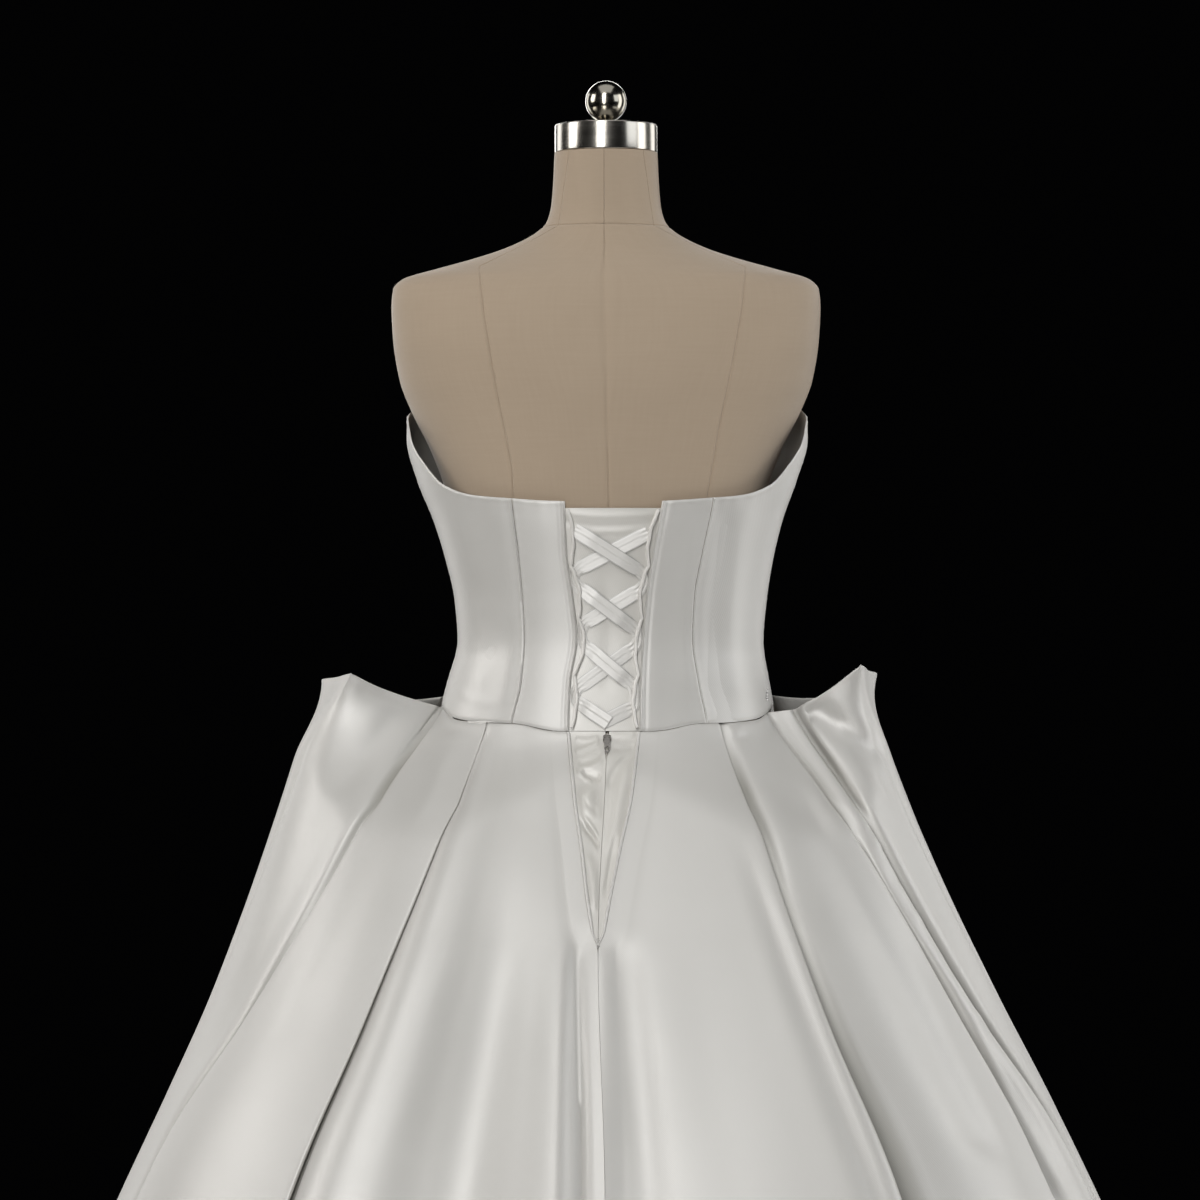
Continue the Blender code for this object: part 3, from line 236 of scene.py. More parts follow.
FORM = Outline(
    Table(
        "height left right back front square",
        (0.830, 0.150, 0.150, 0.096, 0.090, 2.3),
        (0.860, 0.164, 0.164, 0.108, 0.100, 2.3),
        (0.930, 0.162, 0.162, 0.106, 0.104, 2.3),
        (0.985, 0.153, 0.153, 0.096, 0.101, 2.25),
        (1.030, 0.1440, 0.1440, 0.0910, 0.0990, 2.2),
        (1.065, 0.1402, 0.1402, 0.0900, 0.0990, 2.2),
        (1.0995, 0.1380, 0.1380, 0.0921, 0.0980, 2.2),
        (1.1375, 0.1394, 0.1394, 0.0946, 0.1000, 2.2),
        (1.1755, 0.1430, 0.1430, 0.0998, 0.1070, 2.2),
        (1.2135, 0.1480, 0.1480, 0.1052, 0.1170, 2.2),
        (1.2515, 0.1570, 0.1570, 0.1082, 0.1260, 2.2),
        (1.2800, 0.1680, 0.1680, 0.1080, 0.1280, 2.2),
        (1.3130, 0.1840, 0.1840, 0.1070, 0.1230, 2.2),
        (1.3465, 0.1960, 0.1960, 0.1045, 0.1080, 2.35),
        (1.3850, 0.2020, 0.2020, 0.0980, 0.0950, 2.6),
        (1.4150, 0.2035, 0.2035, 0.0900, 0.0830, 2.6),
        (1.4320, 0.2020, 0.2020, 0.0830, 0.0740, 2.5),
        (1.4410, 0.1940, 0.1940, 0.0780, 0.0690, 2.4),
        (1.4510, 0.1620, 0.1620, 0.0710, 0.0640, 2.2),
        (1.4605, 0.1280, 0.1280, 0.0640, 0.0600, 2.1),
        (1.4700, 0.0990, 0.0990, 0.0580, 0.0570, 2.0),
        (1.4795, 0.0775, 0.0775, 0.0535, 0.0555, 2.0),
        (1.4880, 0.0640, 0.0640, 0.0500, 0.0545, 2.0),
        (1.4966, 0.0562, 0.0562, 0.0470, 0.0540, 2.0),
        (1.5137, 0.0518, 0.0518, 0.0448, 0.0545, 2.0),
        (1.5620, 0.0488, 0.0488, 0.0430, 0.0546, 2.0),
    )
)
SKIRT = Outline(
    Table(
        "height left right back front square",
        (0.000, 0.700, 0.705, 0.650, 0.590, 2.0),
        (0.300, 0.578, 0.583, 0.505, 0.465, 2.1),
        (0.5685, 0.462, 0.468, 0.375, 0.345, 2.2),
        (0.660, 0.420, 0.424, 0.327, 0.302, 2.25),
        (0.7575, 0.376, 0.373, 0.272, 0.255, 2.3),
        (0.850, 0.341, 0.329, 0.216, 0.208, 2.4),
        (0.9475, 0.309, 0.288, 0.154, 0.160, 2.5),
        (0.995, 0.294, 0.270, 0.123, 0.137, 2.5),
        (1.0425, 0.278, 0.254, 0.1035, 0.118, 2.5),
        (1.080, 0.266, 0.242, 0.1000, 0.112, 2.5),
    )
)
BODICE_EDGES = Table(
    "angle waist neckline",
    (0, 1.0165, 1.2285),
    (13, 1.0165, 1.2290),
    (30, 1.0232, 1.2320),
    (44, 1.0240, 1.2350),
    (58, 1.0262, 1.2450),
    (72, 1.0330, 1.2750),
    (84, 1.0395, 1.3050),
    (98, 1.0465, 1.3170),
    (112, 1.0500, 1.3250),
    (130, 1.0505, 1.3340),
    (150, 1.0460, 1.3330),
    (168, 1.0380, 1.3190),
    (180, 1.0345, 1.3100),
)
BACK_LINES = Table(
    "height left_edge right_edge left_seam right_seam",
    (1.010, 0.0340, -0.0306, 0.0900, -0.0960),
    (1.025, 0.0342, -0.0308, 0.0874, -0.0937),
    (1.062, 0.0326, -0.0315, 0.0790, -0.0862),
    (1.102, 0.0266, -0.0337, 0.0763, -0.0807),
    (1.142, 0.0307, -0.0372, 0.0781, -0.0825),
    (1.182, 0.0363, -0.0432, 0.0818, -0.0899),
    (1.228, 0.0381, -0.0515, 0.0874, -0.0992),
    (1.245, 0.0385, -0.0535, 0.0890, -0.1010),
)
V_LINES = Table(
    "height left right middle",
    (0.000, 0.0000, 0.0000, 0.0000),
    (0.617, 0.0014, 0.0014, 0.0014),
    (0.8262, 0.0075, 0.0075, 0.0075),
    (0.8320, 0.0090, 0.0058, 0.0074),
    (0.8680, 0.0157, -0.0015, 0.0065),
    (0.9080, 0.0205, -0.0100, 0.0045),
    (0.9560, 0.0275, -0.0210, 0.0015),
    (1.0000, 0.0320, -0.0268, -0.0005),
    (1.0200, 0.0338, -0.0292, -0.0012),
)
FOLD_SIZES = Table(
    "height crisp_radius soft_radius tuck narrow_tuck valley bulge",
    (0.000, 0.0085, 0.0140, 0.022, 0.016, 0.030, 0.012),
    (0.620, 0.0042, 0.0080, 0.024, 0.012, 0.024, 0.006),
    (0.760, 0.0030, 0.0052, 0.026, 0.0090, 0.017, 0.004),
    (0.950, 0.0021, 0.0025, 0.026, 0.0085, 0.008, 0.001),
    (1.040, 0.0017, 0.0017, 0.019, 0.0085, 0.002, 0.0),
)
SWELLS = Table(
    "height seam_dip crest dip roll flat_lift bulge outer_lift",
    (0.000, -0.005, 0.014, -0.012, 0.042, 0.040, 0.020, 0.020),
    (0.600, -0.004, 0.008, -0.010, 0.034, 0.033, 0.014, 0.016),
    (0.680, -0.004, 0.006, -0.008, 0.030, 0.029, 0.012, 0.014),
    (0.755, -0.003, 0.004, -0.005, 0.026, 0.022, 0.009, 0.011),
    (0.810, -0.002, 0.002, -0.001, 0.022, 0.016, 0.006, 0.008),
    (0.840, 0.0, 0.001, 0.001, 0.019, 0.013, 0.005, 0.007),
    (0.900, 0.0, 0.001, 0.004, 0.014, 0.008, 0.003, 0.004),
    (1.000, 0.0, 0.0, 0.0, 0.002, 0.0, 0.0, 0.0),
)


def back_point(x: Points, height: Points, out: Points) -> Points:
    """Points near the centre back of the bodice.

    Args:
        x: Places across.
        height: Heights.
        out: How far outwards of the bodice's outer face.

    Returns:
        Points in an array with three columns.
    """
    x, height, out = np.broadcast_arrays(x, height, out)
    left = BODICE.point(height, 1, BODICE.angle(height, 1, x), out)
    right = BODICE.point(height, -1, BODICE.angle(height, -1, x), out)
    return np.where((x >= 0)[..., None], left, right)


# Creases placed one by one


@dataclass(frozen=True)
class ViewPlane:
    """Upright plane through the pole, as the viewer behind the dress sees it."""

    step: float = 0.00095
    across_zero: float = 0.0057 + 600 * 0.00095
    top: float = 1.1375 + 600 * 0.00095
    distance: float = 4.0
    eye_x: float = 0.0057
    eye_z: float = 1.1375

    def place(self, points: Points, behind: bool = True) -> tuple[Points, Points]:
        """Steps across and down at which points are seen.

        Args:
            points: Points in an array with three columns.
            behind: Whether they are seen from behind, or straight through from the front.

        Returns:
            Steps across and steps down.
        """
        near = self.distance / (self.distance - points[..., 1]) if behind else 1.0
        x = self.eye_x + (points[..., 0] - self.eye_x) * near
        z = self.eye_z + (points[..., 2] - self.eye_z) * near
        return (self.across_zero - x) / self.step, (self.top - z) / self.step


VIEW = ViewPlane()


def eased(share: Points) -> Points:
    """A share that starts and ends softly."""
    share = np.clip(share, 0.0, 1.0)
    return share * share * (3 - 2 * share)


@dataclass(frozen=True)
class Crease:
    """One soft ridge or trough of the cloth.

    Its path is in steps of the view plane, its rise in millimetres, negative for a trough, and
    its widths in steps: before is its left or upper flank, after its right or lower one. An end
    fades over that many steps, and with no fade the crease runs on.
    """

    path: tuple[tuple[float, float], ...]
    rise: float
    before: float
    after: float
    ends: tuple[float, float] = (20.0, 20.0)
    run: Run = Run.DOWN

    def height(self, across: Points, down: Points) -> Points:
        """Height of the crease in metres at places of the view plane.

        Args:
            across: Places across the view.
            down: Places down the view.

        Returns:
            The height at each place.
        """
        path = np.array(self.path, float)
        along, off, k = (down, across, 1) if self.run is Run.DOWN else (across, down, 0)
        path = path[np.argsort(path[:, k])]
        line = smooth_through(path[:, k], path[:, 1 - k], along)
        off = off - line
        width = np.where(off < 0, self.before, self.after)
        level = self.rise / 1000 * bell(off, width)
        if self.ends[0] > 0:
            level = level * eased((along - path[0, k]) / self.ends[0])
        if self.ends[1] > 0:
            level = level * eased((path[-1, k] - along) / self.ends[1])
        return level


def relief(points: Points, creases: Sequence[Crease], behind: bool = True) -> Points:
    """Summed height of creases at points.

    Args:
        points: Points in an array with three columns.
        creases: The creases.
        behind: Whether the creases are on the back of the dress.

    Returns:
        The height at each point.
    """
    across, down = VIEW.place(points, behind)
    total = np.zeros(across.shape)
    for crease in creases:
        total += crease.height(across, down)
    return total


def unevenness(points: Points, size: float, length: float, phase: float) -> Points:
    """Soft broad waves that keep cloth from being perfectly regular.

    Args:
        points: Points in an array with three columns.
        size: Height of the waves.
        length: Length of the waves.
        phase: A number that makes the waves of each piece its own.

    Returns:
        Height of the waves at each point.
    """
    x, y, z = (points[..., k] * (2 * math.pi / length) for k in range(3))
    waves = np.sin(1.00 * x + 0.31 * z + phase) + np.sin(0.43 * x - 0.57 * z + 0.9 * y + 2.1 * phase)
    waves += np.sin(1.63 * x + 0.22 * z - 0.7 * y + 3.7 * phase) * 0.6
    return size * waves / 2.6


# Meshes and pieces


def grid_normals(grid: Points) -> Points:
    """Unit normals of a grid of points (rows, columns, 3).

    Args:
        grid: Points in rows and columns.

    Returns:
        Unit normal at each point.
    """
    across = np.gradient(grid, axis=1)
    down = np.gradient(grid, axis=0)
    normals = np.cross(across, down)
    return normals / np.maximum(np.linalg.norm(normals, axis=2, keepdims=True), 1e-12)


def outward_normals(grid: Points) -> Points:
    """Unit normals of a grid, turned away from the pole on the whole."""
    normals = grid_normals(grid)
    return normals if (grid[..., :2] * normals[..., :2]).sum() > 0 else -normals


def cloth_uv(grid: Points) -> Points:
    """Lengths along the rows and down the columns of a grid, as texture places in metres.

    Args:
        grid: Points in rows and columns.

    Returns:
        Both lengths at each point.
    """
    across = np.zeros(grid.shape[:2])
    across[:, 1:] = np.cumsum(np.linalg.norm(np.diff(grid, axis=1), axis=2), axis=1)
    across -= across[:, grid.shape[1] // 2][:, None]
    down = np.zeros(grid.shape[:2])
    down[1:] = np.cumsum(np.linalg.norm(np.diff(grid, axis=0), axis=2), axis=0)
    return np.stack([across, -down], axis=-1)


def mesh_object(
    name: str, points: Points, faces: list, uv: Optional[Points] = None, sharp: float = 50.0
) -> bpy.types.Object:
    """Make an object of points and faces, shaded smooth but for its sharp edges.

    Args:
        name: Name of the piece.
        points: Points in an array with three columns.
        faces: Faces as tuples of point numbers.
        uv: Texture place of each point, in metres.
        sharp: Angle in degrees from which an edge is sharp.

    Returns:
        The object.
    """
    mesh = bpy.data.meshes.new(name)
    mesh.from_pydata(np.asarray(points, float).reshape(-1, 3).tolist(), [], faces)
    if uv is not None:
        layer = mesh.uv_layers.new(name="cloth")
        corners = np.zeros(len(mesh.loops), np.int32)
        mesh.loops.foreach_get("vertex_index", corners)
        layer.data.foreach_set("uv", uv.reshape(-1, 2)[corners].astype(np.float32).ravel())
    mesh.shade_smooth()
    mesh.set_sharp_from_angle(angle=math.radians(sharp))
    made = bpy.data.objects.new(name, mesh)
    bpy.context.scene.collection.objects.link(made)
    return made


def grid_faces(rows: int, columns: int, start: int, flip: bool, closed: bool = False) -> list:
    """Faces of a grid of points.

    Args:
        rows: Rows of the grid.
        columns: Columns of the grid.
        start: Number of its first point.
        flip: Whether the faces point the other way.
        closed: Whether the last column joins the first.

    Returns:
        Faces as tuples.
    """
    a = np.arange(rows * columns).reshape(rows, columns) + start
    if closed:
        a = np.concatenate([a, a[:, :1]], axis=1)
    quads = np.stack([a[:-1, :-1], a[:-1, 1:], a[1:, 1:], a[1:, :-1]], axis=-1).reshape(-1, 4)
    return [tuple(q) for q in (quads[:, ::-1] if flip else quads).tolist()]


def shell(name: str, outer: Points, inner: Points) -> bpy.types.Object:
    """Make a thin closed wall of cloth between two grids of the same size.

    Args:
        name: Name of the piece.
        outer: Points of the face outside.
        inner: Points of the face inside.

    Returns:
        The object.
    """
    rows, columns = outer.shape[:2]
    count = rows * columns
    across, down = np.gradient(outer, axis=1), np.gradient(outer, axis=0)
    flip = float((np.cross(across, down) * (outer - inner)).sum()) > 0
    faces = grid_faces(rows, columns, 0, flip) + grid_faces(rows, columns, count, not flip)
    rim = list(range(columns)) + [i * columns + columns - 1 for i in range(1, rows)]
    rim += [(rows - 1) * columns + j for j in range(columns - 2, -1, -1)]
    rim += [i * columns for i in range(rows - 2, 0, -1)]
    for a, b in zip(rim, rim[1:] + rim[:1]):
        side = (a, count + a, count + b, b)
        faces.append(side if flip else side[::-1])
    uv = cloth_uv(outer)
    points = np.concatenate([outer.reshape(-1, 3), inner.reshape(-1, 3)])
    return mesh_object(name, points, faces, np.concatenate([uv.reshape(-1, 2), uv.reshape(-1, 2)]))


def wall_shell(name: str, grid: Points, normals: Points, thin: Points) -> bpy.types.Object:
    """Make a wall of cloth round a grid that is its middle.

    Args:
        name: Name of the piece.
        grid: Points of the middle of the cloth.
        normals: Outward directions there.
        thin: Share of the full thickness at each point, so that edges are rounded.

    Returns:
        The object.
    """
    half = SHELL_WALL / 2 * thin[..., None] * normals
    return shell(name, grid + half, grid - half)


def turned(
    name: str, profile: Pairs, centre_y: float = 0.0, sides: int = 96, sharp: float = 35.0
) -> bpy.types.Object:
    """Make a turned piece from (radius, height) pairs, from bottom to top.

    Args:
        name: Name of the piece.
        profile: Radii and heights.
        centre_y: Y of its axis.
        sides: Points round it.
        sharp: Angle in degrees from which an edge is sharp.

    Returns:
        The object.
    """
    turn = 2 * math.pi * np.arange(sides) / sides
    rings = [
        np.stack([r * np.sin(turn), centre_y + r * np.cos(turn), np.full(sides, z)], axis=-1)
        for r, z in profile
    ]
    faces = grid_faces(len(profile), sides, 0, False, closed=True)
    last = (len(profile) - 1) * sides
    faces.append(tuple(range(sides)))
    faces.append(tuple(range(last + sides - 1, last - 1, -1)))
    return outwards(mesh_object(name, np.array(rings), faces, sharp=sharp))


def outwards(made: bpy.types.Object) -> bpy.types.Object:
    """Turn the faces of a closed object outwards.

    Args:
        made: The object.

    Returns:
        The same object.
    """
    work = bmesh.new()
    work.from_mesh(made.data)
    bmesh.ops.recalc_face_normals(work, faces=work.faces)
    work.to_mesh(made.data)
    work.free()
    return made


def place_piece(
    made: bpy.types.Object,
    finish: "Finish",
    slot: Slot,
    nodes: Sequence[str] = (),
    body: str = GOWN_BODY,
) -> bpy.types.Object:
    """Give a piece its finish, the nodes it stands for and the body it rides on.

    Args:
        made: The piece.
        finish: Its finish.
        slot: The record's slot that it takes its finish from; not used.
        nodes: Names of the solids it stands for.
        body: The body it moves with.

    Returns:
        The piece.
    """
    made.data.materials.clear()
    made.data.materials.append(finish.material())
    if nodes:
        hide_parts(*nodes)
    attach(made, body)
    log.info("%s: %d faces", made.name, len(made.data.polygons))
    return made


# Node trees


def math_method(operation: str, swapped: bool = False) -> Callable[..., "Number"]:
    """Make a method of a number that adds one Math node.

    Args:
        operation: The node's operation.
        swapped: Whether the other number comes first.

    Returns:
        The method.
    """

    def method(self: "Number", other: "Term" = 0.0) -> "Number":
        """Add the node and give its result.

        Args:
            other: The other number, where the sum has one.

        Returns:
            The result.
        """
        first, second = (other, self) if swapped else (self, other)
        node = self.tree.node("ShaderNodeMath", {"operation": operation}, {0: first, 1: second})
        return Number(self.tree, node.outputs[0])

    return method


class Number:
    """A socket that carries a number, for sums written in plain Python."""

    def __init__(self, tree: "Tree", socket: bpy.types.NodeSocket) -> None:
        """Wrap a socket of a tree."""
        self.tree = tree
        self.socket = socket

    __add__ = __radd__ = math_method("ADD")
    __sub__ = math_method("SUBTRACT")
    __rsub__ = math_method("SUBTRACT", swapped=True)
    __mul__ = __rmul__ = math_method("MULTIPLY")
    __abs__ = math_method("ABSOLUTE")
    sine = math_method("SINE")
    below = math_method("LESS_THAN")
    remainder = math_method("MODULO")


Term = Union[Number, float, bpy.types.NodeSocket]


class Tree:
    """A node tree that is written node by node."""

    def __init__(self, tree: bpy.types.NodeTree) -> None:
        """Start with an empty tree."""
        self.tree = tree
        tree.nodes.clear()

    def node(
        self, kind: str, settings: Optional[dict] = None, inputs: Optional[dict] = None
    ) -> bpy.types.Node:
        """Add a node.

        Args:
            kind: Type of the node.
            settings: Its own settings, which are set first.
            inputs: Values or links of its sockets, by name or number.

        Returns:
            The node.
        """
        node = self.tree.nodes.new(kind)
        for name, value in (settings or {}).items():
            setattr(node, name, value)
        for name, value in (inputs or {}).items():
            socket = node.inputs[name]
            if isinstance(value, Number):
                value = value.socket
            if isinstance(value, bpy.types.NodeSocket):
                self.tree.links.new(value, socket)
            else:
                socket.default_value = value
        return node


class Shader(Tree):
    """A material's tree."""

    def __init__(self, name: str) -> None:
        """Make a material with an empty tree.

        Args:
            name: Name of the material.
        """
        self.material = bpy.data.materials.new(name)
        self.material.use_nodes = True
        super().__init__(self.material.node_tree)

    def place(self, output: str = "Object") -> bpy.types.NodeSocket:
        """Coordinates that the pattern follows."""
        return self.node("ShaderNodeTexCoord").outputs[output]

    def own(self, name: str) -> Number:
        """A number that the piece carries at each of its points, nought where it has none."""
        return Number(self, self.node("ShaderNodeAttribute", {"attribute_name": name}).outputs["Fac"])

    def parts(self, vector: bpy.types.NodeSocket) -> tuple[Number, Number, Number]:
        """The three numbers of a vector."""
        node = self.node("ShaderNodeSeparateXYZ", None, {0: vector})
        return tuple(Number(self, node.outputs[k]) for k in range(3))

    def noise(self, place: bpy.types.NodeSocket, scale: float, detail: float = 3.0) -> Number:
        """Soft noise from 0 to 1."""
        inputs = {"Vector": place, "Scale": scale, "Detail": detail}
        return Number(self, self.node("ShaderNodeTexNoise", None, inputs).outputs[0])

    def stretched(self, place: bpy.types.NodeSocket, by: tuple) -> bpy.types.NodeSocket:
        """Coordinates multiplied axis by axis."""
        return self.node("ShaderNodeMapping", None, {"Vector": place, "Scale": by}).outputs[0]

    def blend(self, share: Term, low: Shade, high: Shade) -> bpy.types.NodeSocket:
        """A colour between two, by a number.

        Args:
            share: Share of the second colour.
            low: First colour.
            high: Second colour.

        Returns:
            Socket of the mixed colour.
        """
        ends = [(*end, 1.0) if isinstance(end, tuple) else end for end in (low, high)]
        inputs = {0: share, 6: ends[0], 7: ends[1]}
        return self.node("ShaderNodeMix", {"data_type": "RGBA"}, inputs).outputs[2]

    def bump(self, height: Term, distance: float, strength: float = 1.0) -> bpy.types.NodeSocket:
        """A normal from a height."""
        inputs = {"Height": height, "Distance": distance, "Strength": strength}
        return self.node("ShaderNodeBump", None, inputs).outputs[0]

    def surface(self, inputs: dict) -> bpy.types.Material:
        """Finish the material with a Principled shader.

        Args:
            inputs: Values or links of its sockets.

        Returns:
            The material.
        """
        shader = self.node("ShaderNodeBsdfPrincipled", None, inputs)
        self.node("ShaderNodeOutputMaterial", None, {0: shader.outputs[0]})
        return self.material


@dataclass(frozen=True)
class Finish:
    """A finish, whose material is made once."""

    name: str

    @functools.lru_cache(maxsize=None)
    def material(self) -> bpy.types.Material:
        """The finish's material."""
        return self.shade(Shader(self.name))

    def shade(self, shader: Shader) -> bpy.types.Material:
        """Fill the material's tree."""
        raise NotImplementedError


@dataclass(frozen=True)
class Satin(Finish):
    """Heavy duchess satin with a fine slanting twill and a soft sheen."""

    light: Colour = (0.520, 0.513, 0.495)
    dark: Colour = (0.485, 0.478, 0.458)
    twill_pitch: float = 0.0019
    twill_height: float = 0.00005
    roughness: float = 0.50
    sheen: float = 0.06
    gloss: float = 1.0
    slant: float = 1.9
    # Half width beyond which the edge band is darker: partly a woven selvedge, partly painted shadow along
    # the edges.
    selvedge_shade_start: float = 9.0
    # Colour of the painted shadow that the satin is blended towards deep in its folds.
    deep: Colour = (0.175, 0.168, 0.135)
    selvedge_shade_tone: float = 0.55

    def shade(self, shader: Shader) -> bpy.types.Material:
        """Twill lines on the cloth's own lengths, with slow changes of tone and gloss, and painted shade in
        folds.

        Args:
            shader: Tree of the material.

        Returns:
            The material.
        """
        place = shader.place("UV")
        across, along, _ = shader.parts(place)
        turns = 2 * math.pi / self.twill_pitch
        lines = (across * turns + along * (turns / self.slant)).sine()
        yarn = shader.noise(shader.stretched(place, (900.0, 240.0, 1.0)), 1.0, 1.0)
        cloud = shader.noise(place, 14.0, 2.0)
        weave = lines * 0.5 + yarn * 0.7
        tone = cloud * 0.75 + lines * 0.10 + yarn * 0.10
        plain = shader.blend(tone, self.dark, self.light)
        # Darker band at both edges of the ribbon: partly a woven selvedge, partly painted shadow along its
        # edges.
        edge = tuple(self.selvedge_shade_tone * value for value in self.dark)
        with_selvedge_shade = shader.blend(abs(across).below(self.selvedge_shade_start), edge, plain)
        return shader.surface(
            {
                # Painted shade: the colour goes towards the deep colour by the fold-shade value stored on the
                # piece.
                "Base Color": shader.blend(shader.own(PAINTED_FOLD_SHADE), with_selvedge_shade, self.deep),
                "Roughness": cloud * 0.08 + yarn * 0.06 + (self.roughness - 0.07),
                "Normal": shader.bump(weave, self.twill_height, 0.55),
                "Sheen Weight": self.sheen,
                "Sheen Roughness": 0.45,
                "Specular IOR Level": self.gloss,
                "IOR": 2.10,
            }
        )


@dataclass(frozen=True)
class Linen(Finish):
    """Plain linen stretched over the form, with fine slubs."""

    light: Colour = (0.420, 0.338, 0.255)
    dark: Colour = (0.355, 0.278, 0.205)
    pitch: float = 0.0009

    def shade(self, shader: Shader) -> bpy.types.Material:
        """Crossed threads on the form's own lengths.

        Args:
            shader: Tree of the material.

        Returns:
            The material.
        """
        place = shader.place("UV")
        across, along, _ = shader.parts(place)
        turns = 2 * math.pi / self.pitch
        warp = (across * turns).sine()
        weft = (along * turns).sine()
        upright = shader.noise(shader.stretched(place, (420.0, 22.0, 1.0)), 1.0, 2.0)
        level = shader.noise(shader.stretched(place, (26.0, 380.0, 1.0)), 1.0, 2.0)
        cloud = shader.noise(place, 9.0, 2.0)
        threads = warp * weft * 0.5 + upright * 0.8 + level * 0.8
        tone = upright * 0.32 + level * 0.32 + cloud * 0.36
        return shader.surface(
            {
                "Base Color": shader.blend(tone, self.dark, self.light),
                "Roughness": cloud * 0.10 + 0.80,
                "Normal": shader.bump(threads, 0.00006, 0.5),
                "Sheen Weight": 0.35,
                "Sheen Roughness": 0.5,
                "Specular IOR Level": 0.2,
            }
        )


@dataclass(frozen=True)
class TurnedMetal(Finish):
    """Metal with fine marks that run round it, as turning and polishing leave them."""

    light: Colour = (0.72, 0.70, 0.66)
    dark: Colour = (0.60, 0.58, 0.54)
    roughness: float = 0.20
    marks: float = 900.0
    depth: float = 0.00002

    def shade(self, shader: Shader) -> bpy.types.Material:
        """Marks by height, with faint smudges.

        Args:
            shader: Tree of the material.

        Returns:
            The material.
        """
        place = shader.place()
        rings = shader.noise(shader.stretched(place, (6.0, 6.0, self.marks)), 1.0, 2.0)
        smudge = shader.noise(place, 45.0, 3.0)
        return shader.surface(
            {
                "Base Color": shader.blend(smudge * 0.6 + rings * 0.4, self.dark, self.light),
                "Metallic": 1.0,
                "Roughness": rings * 0.10 + smudge * 0.08 + (self.roughness - 0.08),
                "Normal": shader.bump(rings, self.depth, 0.6),
            }
        )


@dataclass(frozen=True)
class Plain(Finish):
    """A finish of one tone with a faint cloud in it, such as nylon, glass or paint."""

    light: Colour
    dark: Colour
    roughness: float
    cloud_scale: float
    cloud_gloss: float = 0.0
    relief: float = 0.0
    clear: float = 0.0
    bending: float = 1.5
    detail: float = 2.0

    def shade(self, shader: Shader) -> bpy.types.Material:
        """Cloudy tone and gloss.

        Args:
            shader: Tree of the material.

        Returns:
            The material.
        """
        cloud = shader.noise(shader.place(), self.cloud_scale, self.detail)
        inputs = {
            "Base Color": shader.blend(cloud, self.dark, self.light),
            "Roughness": cloud * self.cloud_gloss + self.roughness,
            "Transmission Weight": self.clear,
            "IOR": self.bending,
        }
        if self.relief:
            inputs["Normal"] = shader.bump(cloud, self.relief, 0.4)
        return shader.surface(inputs)


SATIN = Satin("duchess_satin")
# Lighter, warmer copy of the satin for the modesty panel and the placket flaps inside the lacing gap and the
# V: painted warm bounce light.
BOUNCE_LIT_SATIN = Satin("satin_painted_bounce_light", (0.550, 0.538, 0.505), (0.505, 0.493, 0.456))
RIBBON_SATIN = Satin(
    "ribbon_satin", (0.610, 0.602, 0.582), (0.570, 0.562, 0.540), 0.0011, selvedge_shade_start=0.0061
)
ROULEAU_SATIN = Satin("rouleau_satin", (0.640, 0.625, 0.595), (0.590, 0.575, 0.545), 0.0012)
LINEN = Linen("form_linen_cloth")
CAP_METAL = TurnedMetal("neck_cap_nickel", (0.56, 0.54, 0.50), (0.46, 0.44, 0.40), roughness=0.19)
KNOB_METAL = TurnedMetal(
    "knob_chrome_plate", (0.42, 0.40, 0.35), (0.34, 0.32, 0.28), 0.16, 300.0, 0.000004
)
STAND_METAL = TurnedMetal("stand_steel_plate", (0.62, 0.61, 0.60), (0.52, 0.51, 0.50), 0.30)
ZIP_METAL = TurnedMetal("zip_dark_nickel", (0.30, 0.29, 0.28), (0.20, 0.19, 0.18), 0.24, 500.0)
COIL = Plain("zip_nylon", (0.72, 0.70, 0.66), (0.60, 0.58, 0.54), 0.35, 160.0, 0.15, 0.00005)
CRYSTAL = Plain(
    "clear_crystal", (0.98, 0.98, 0.98), (0.90, 0.91, 0.92), 0.0, 300.0, 0.04, 0.0, 0.85, 1.52, 1.0
)
FLOOR_PAINT = Plain("studio_floor", (0.66, 0.65, 0.64), (0.62, 0.61, 0.60), 0.85, 1.5)


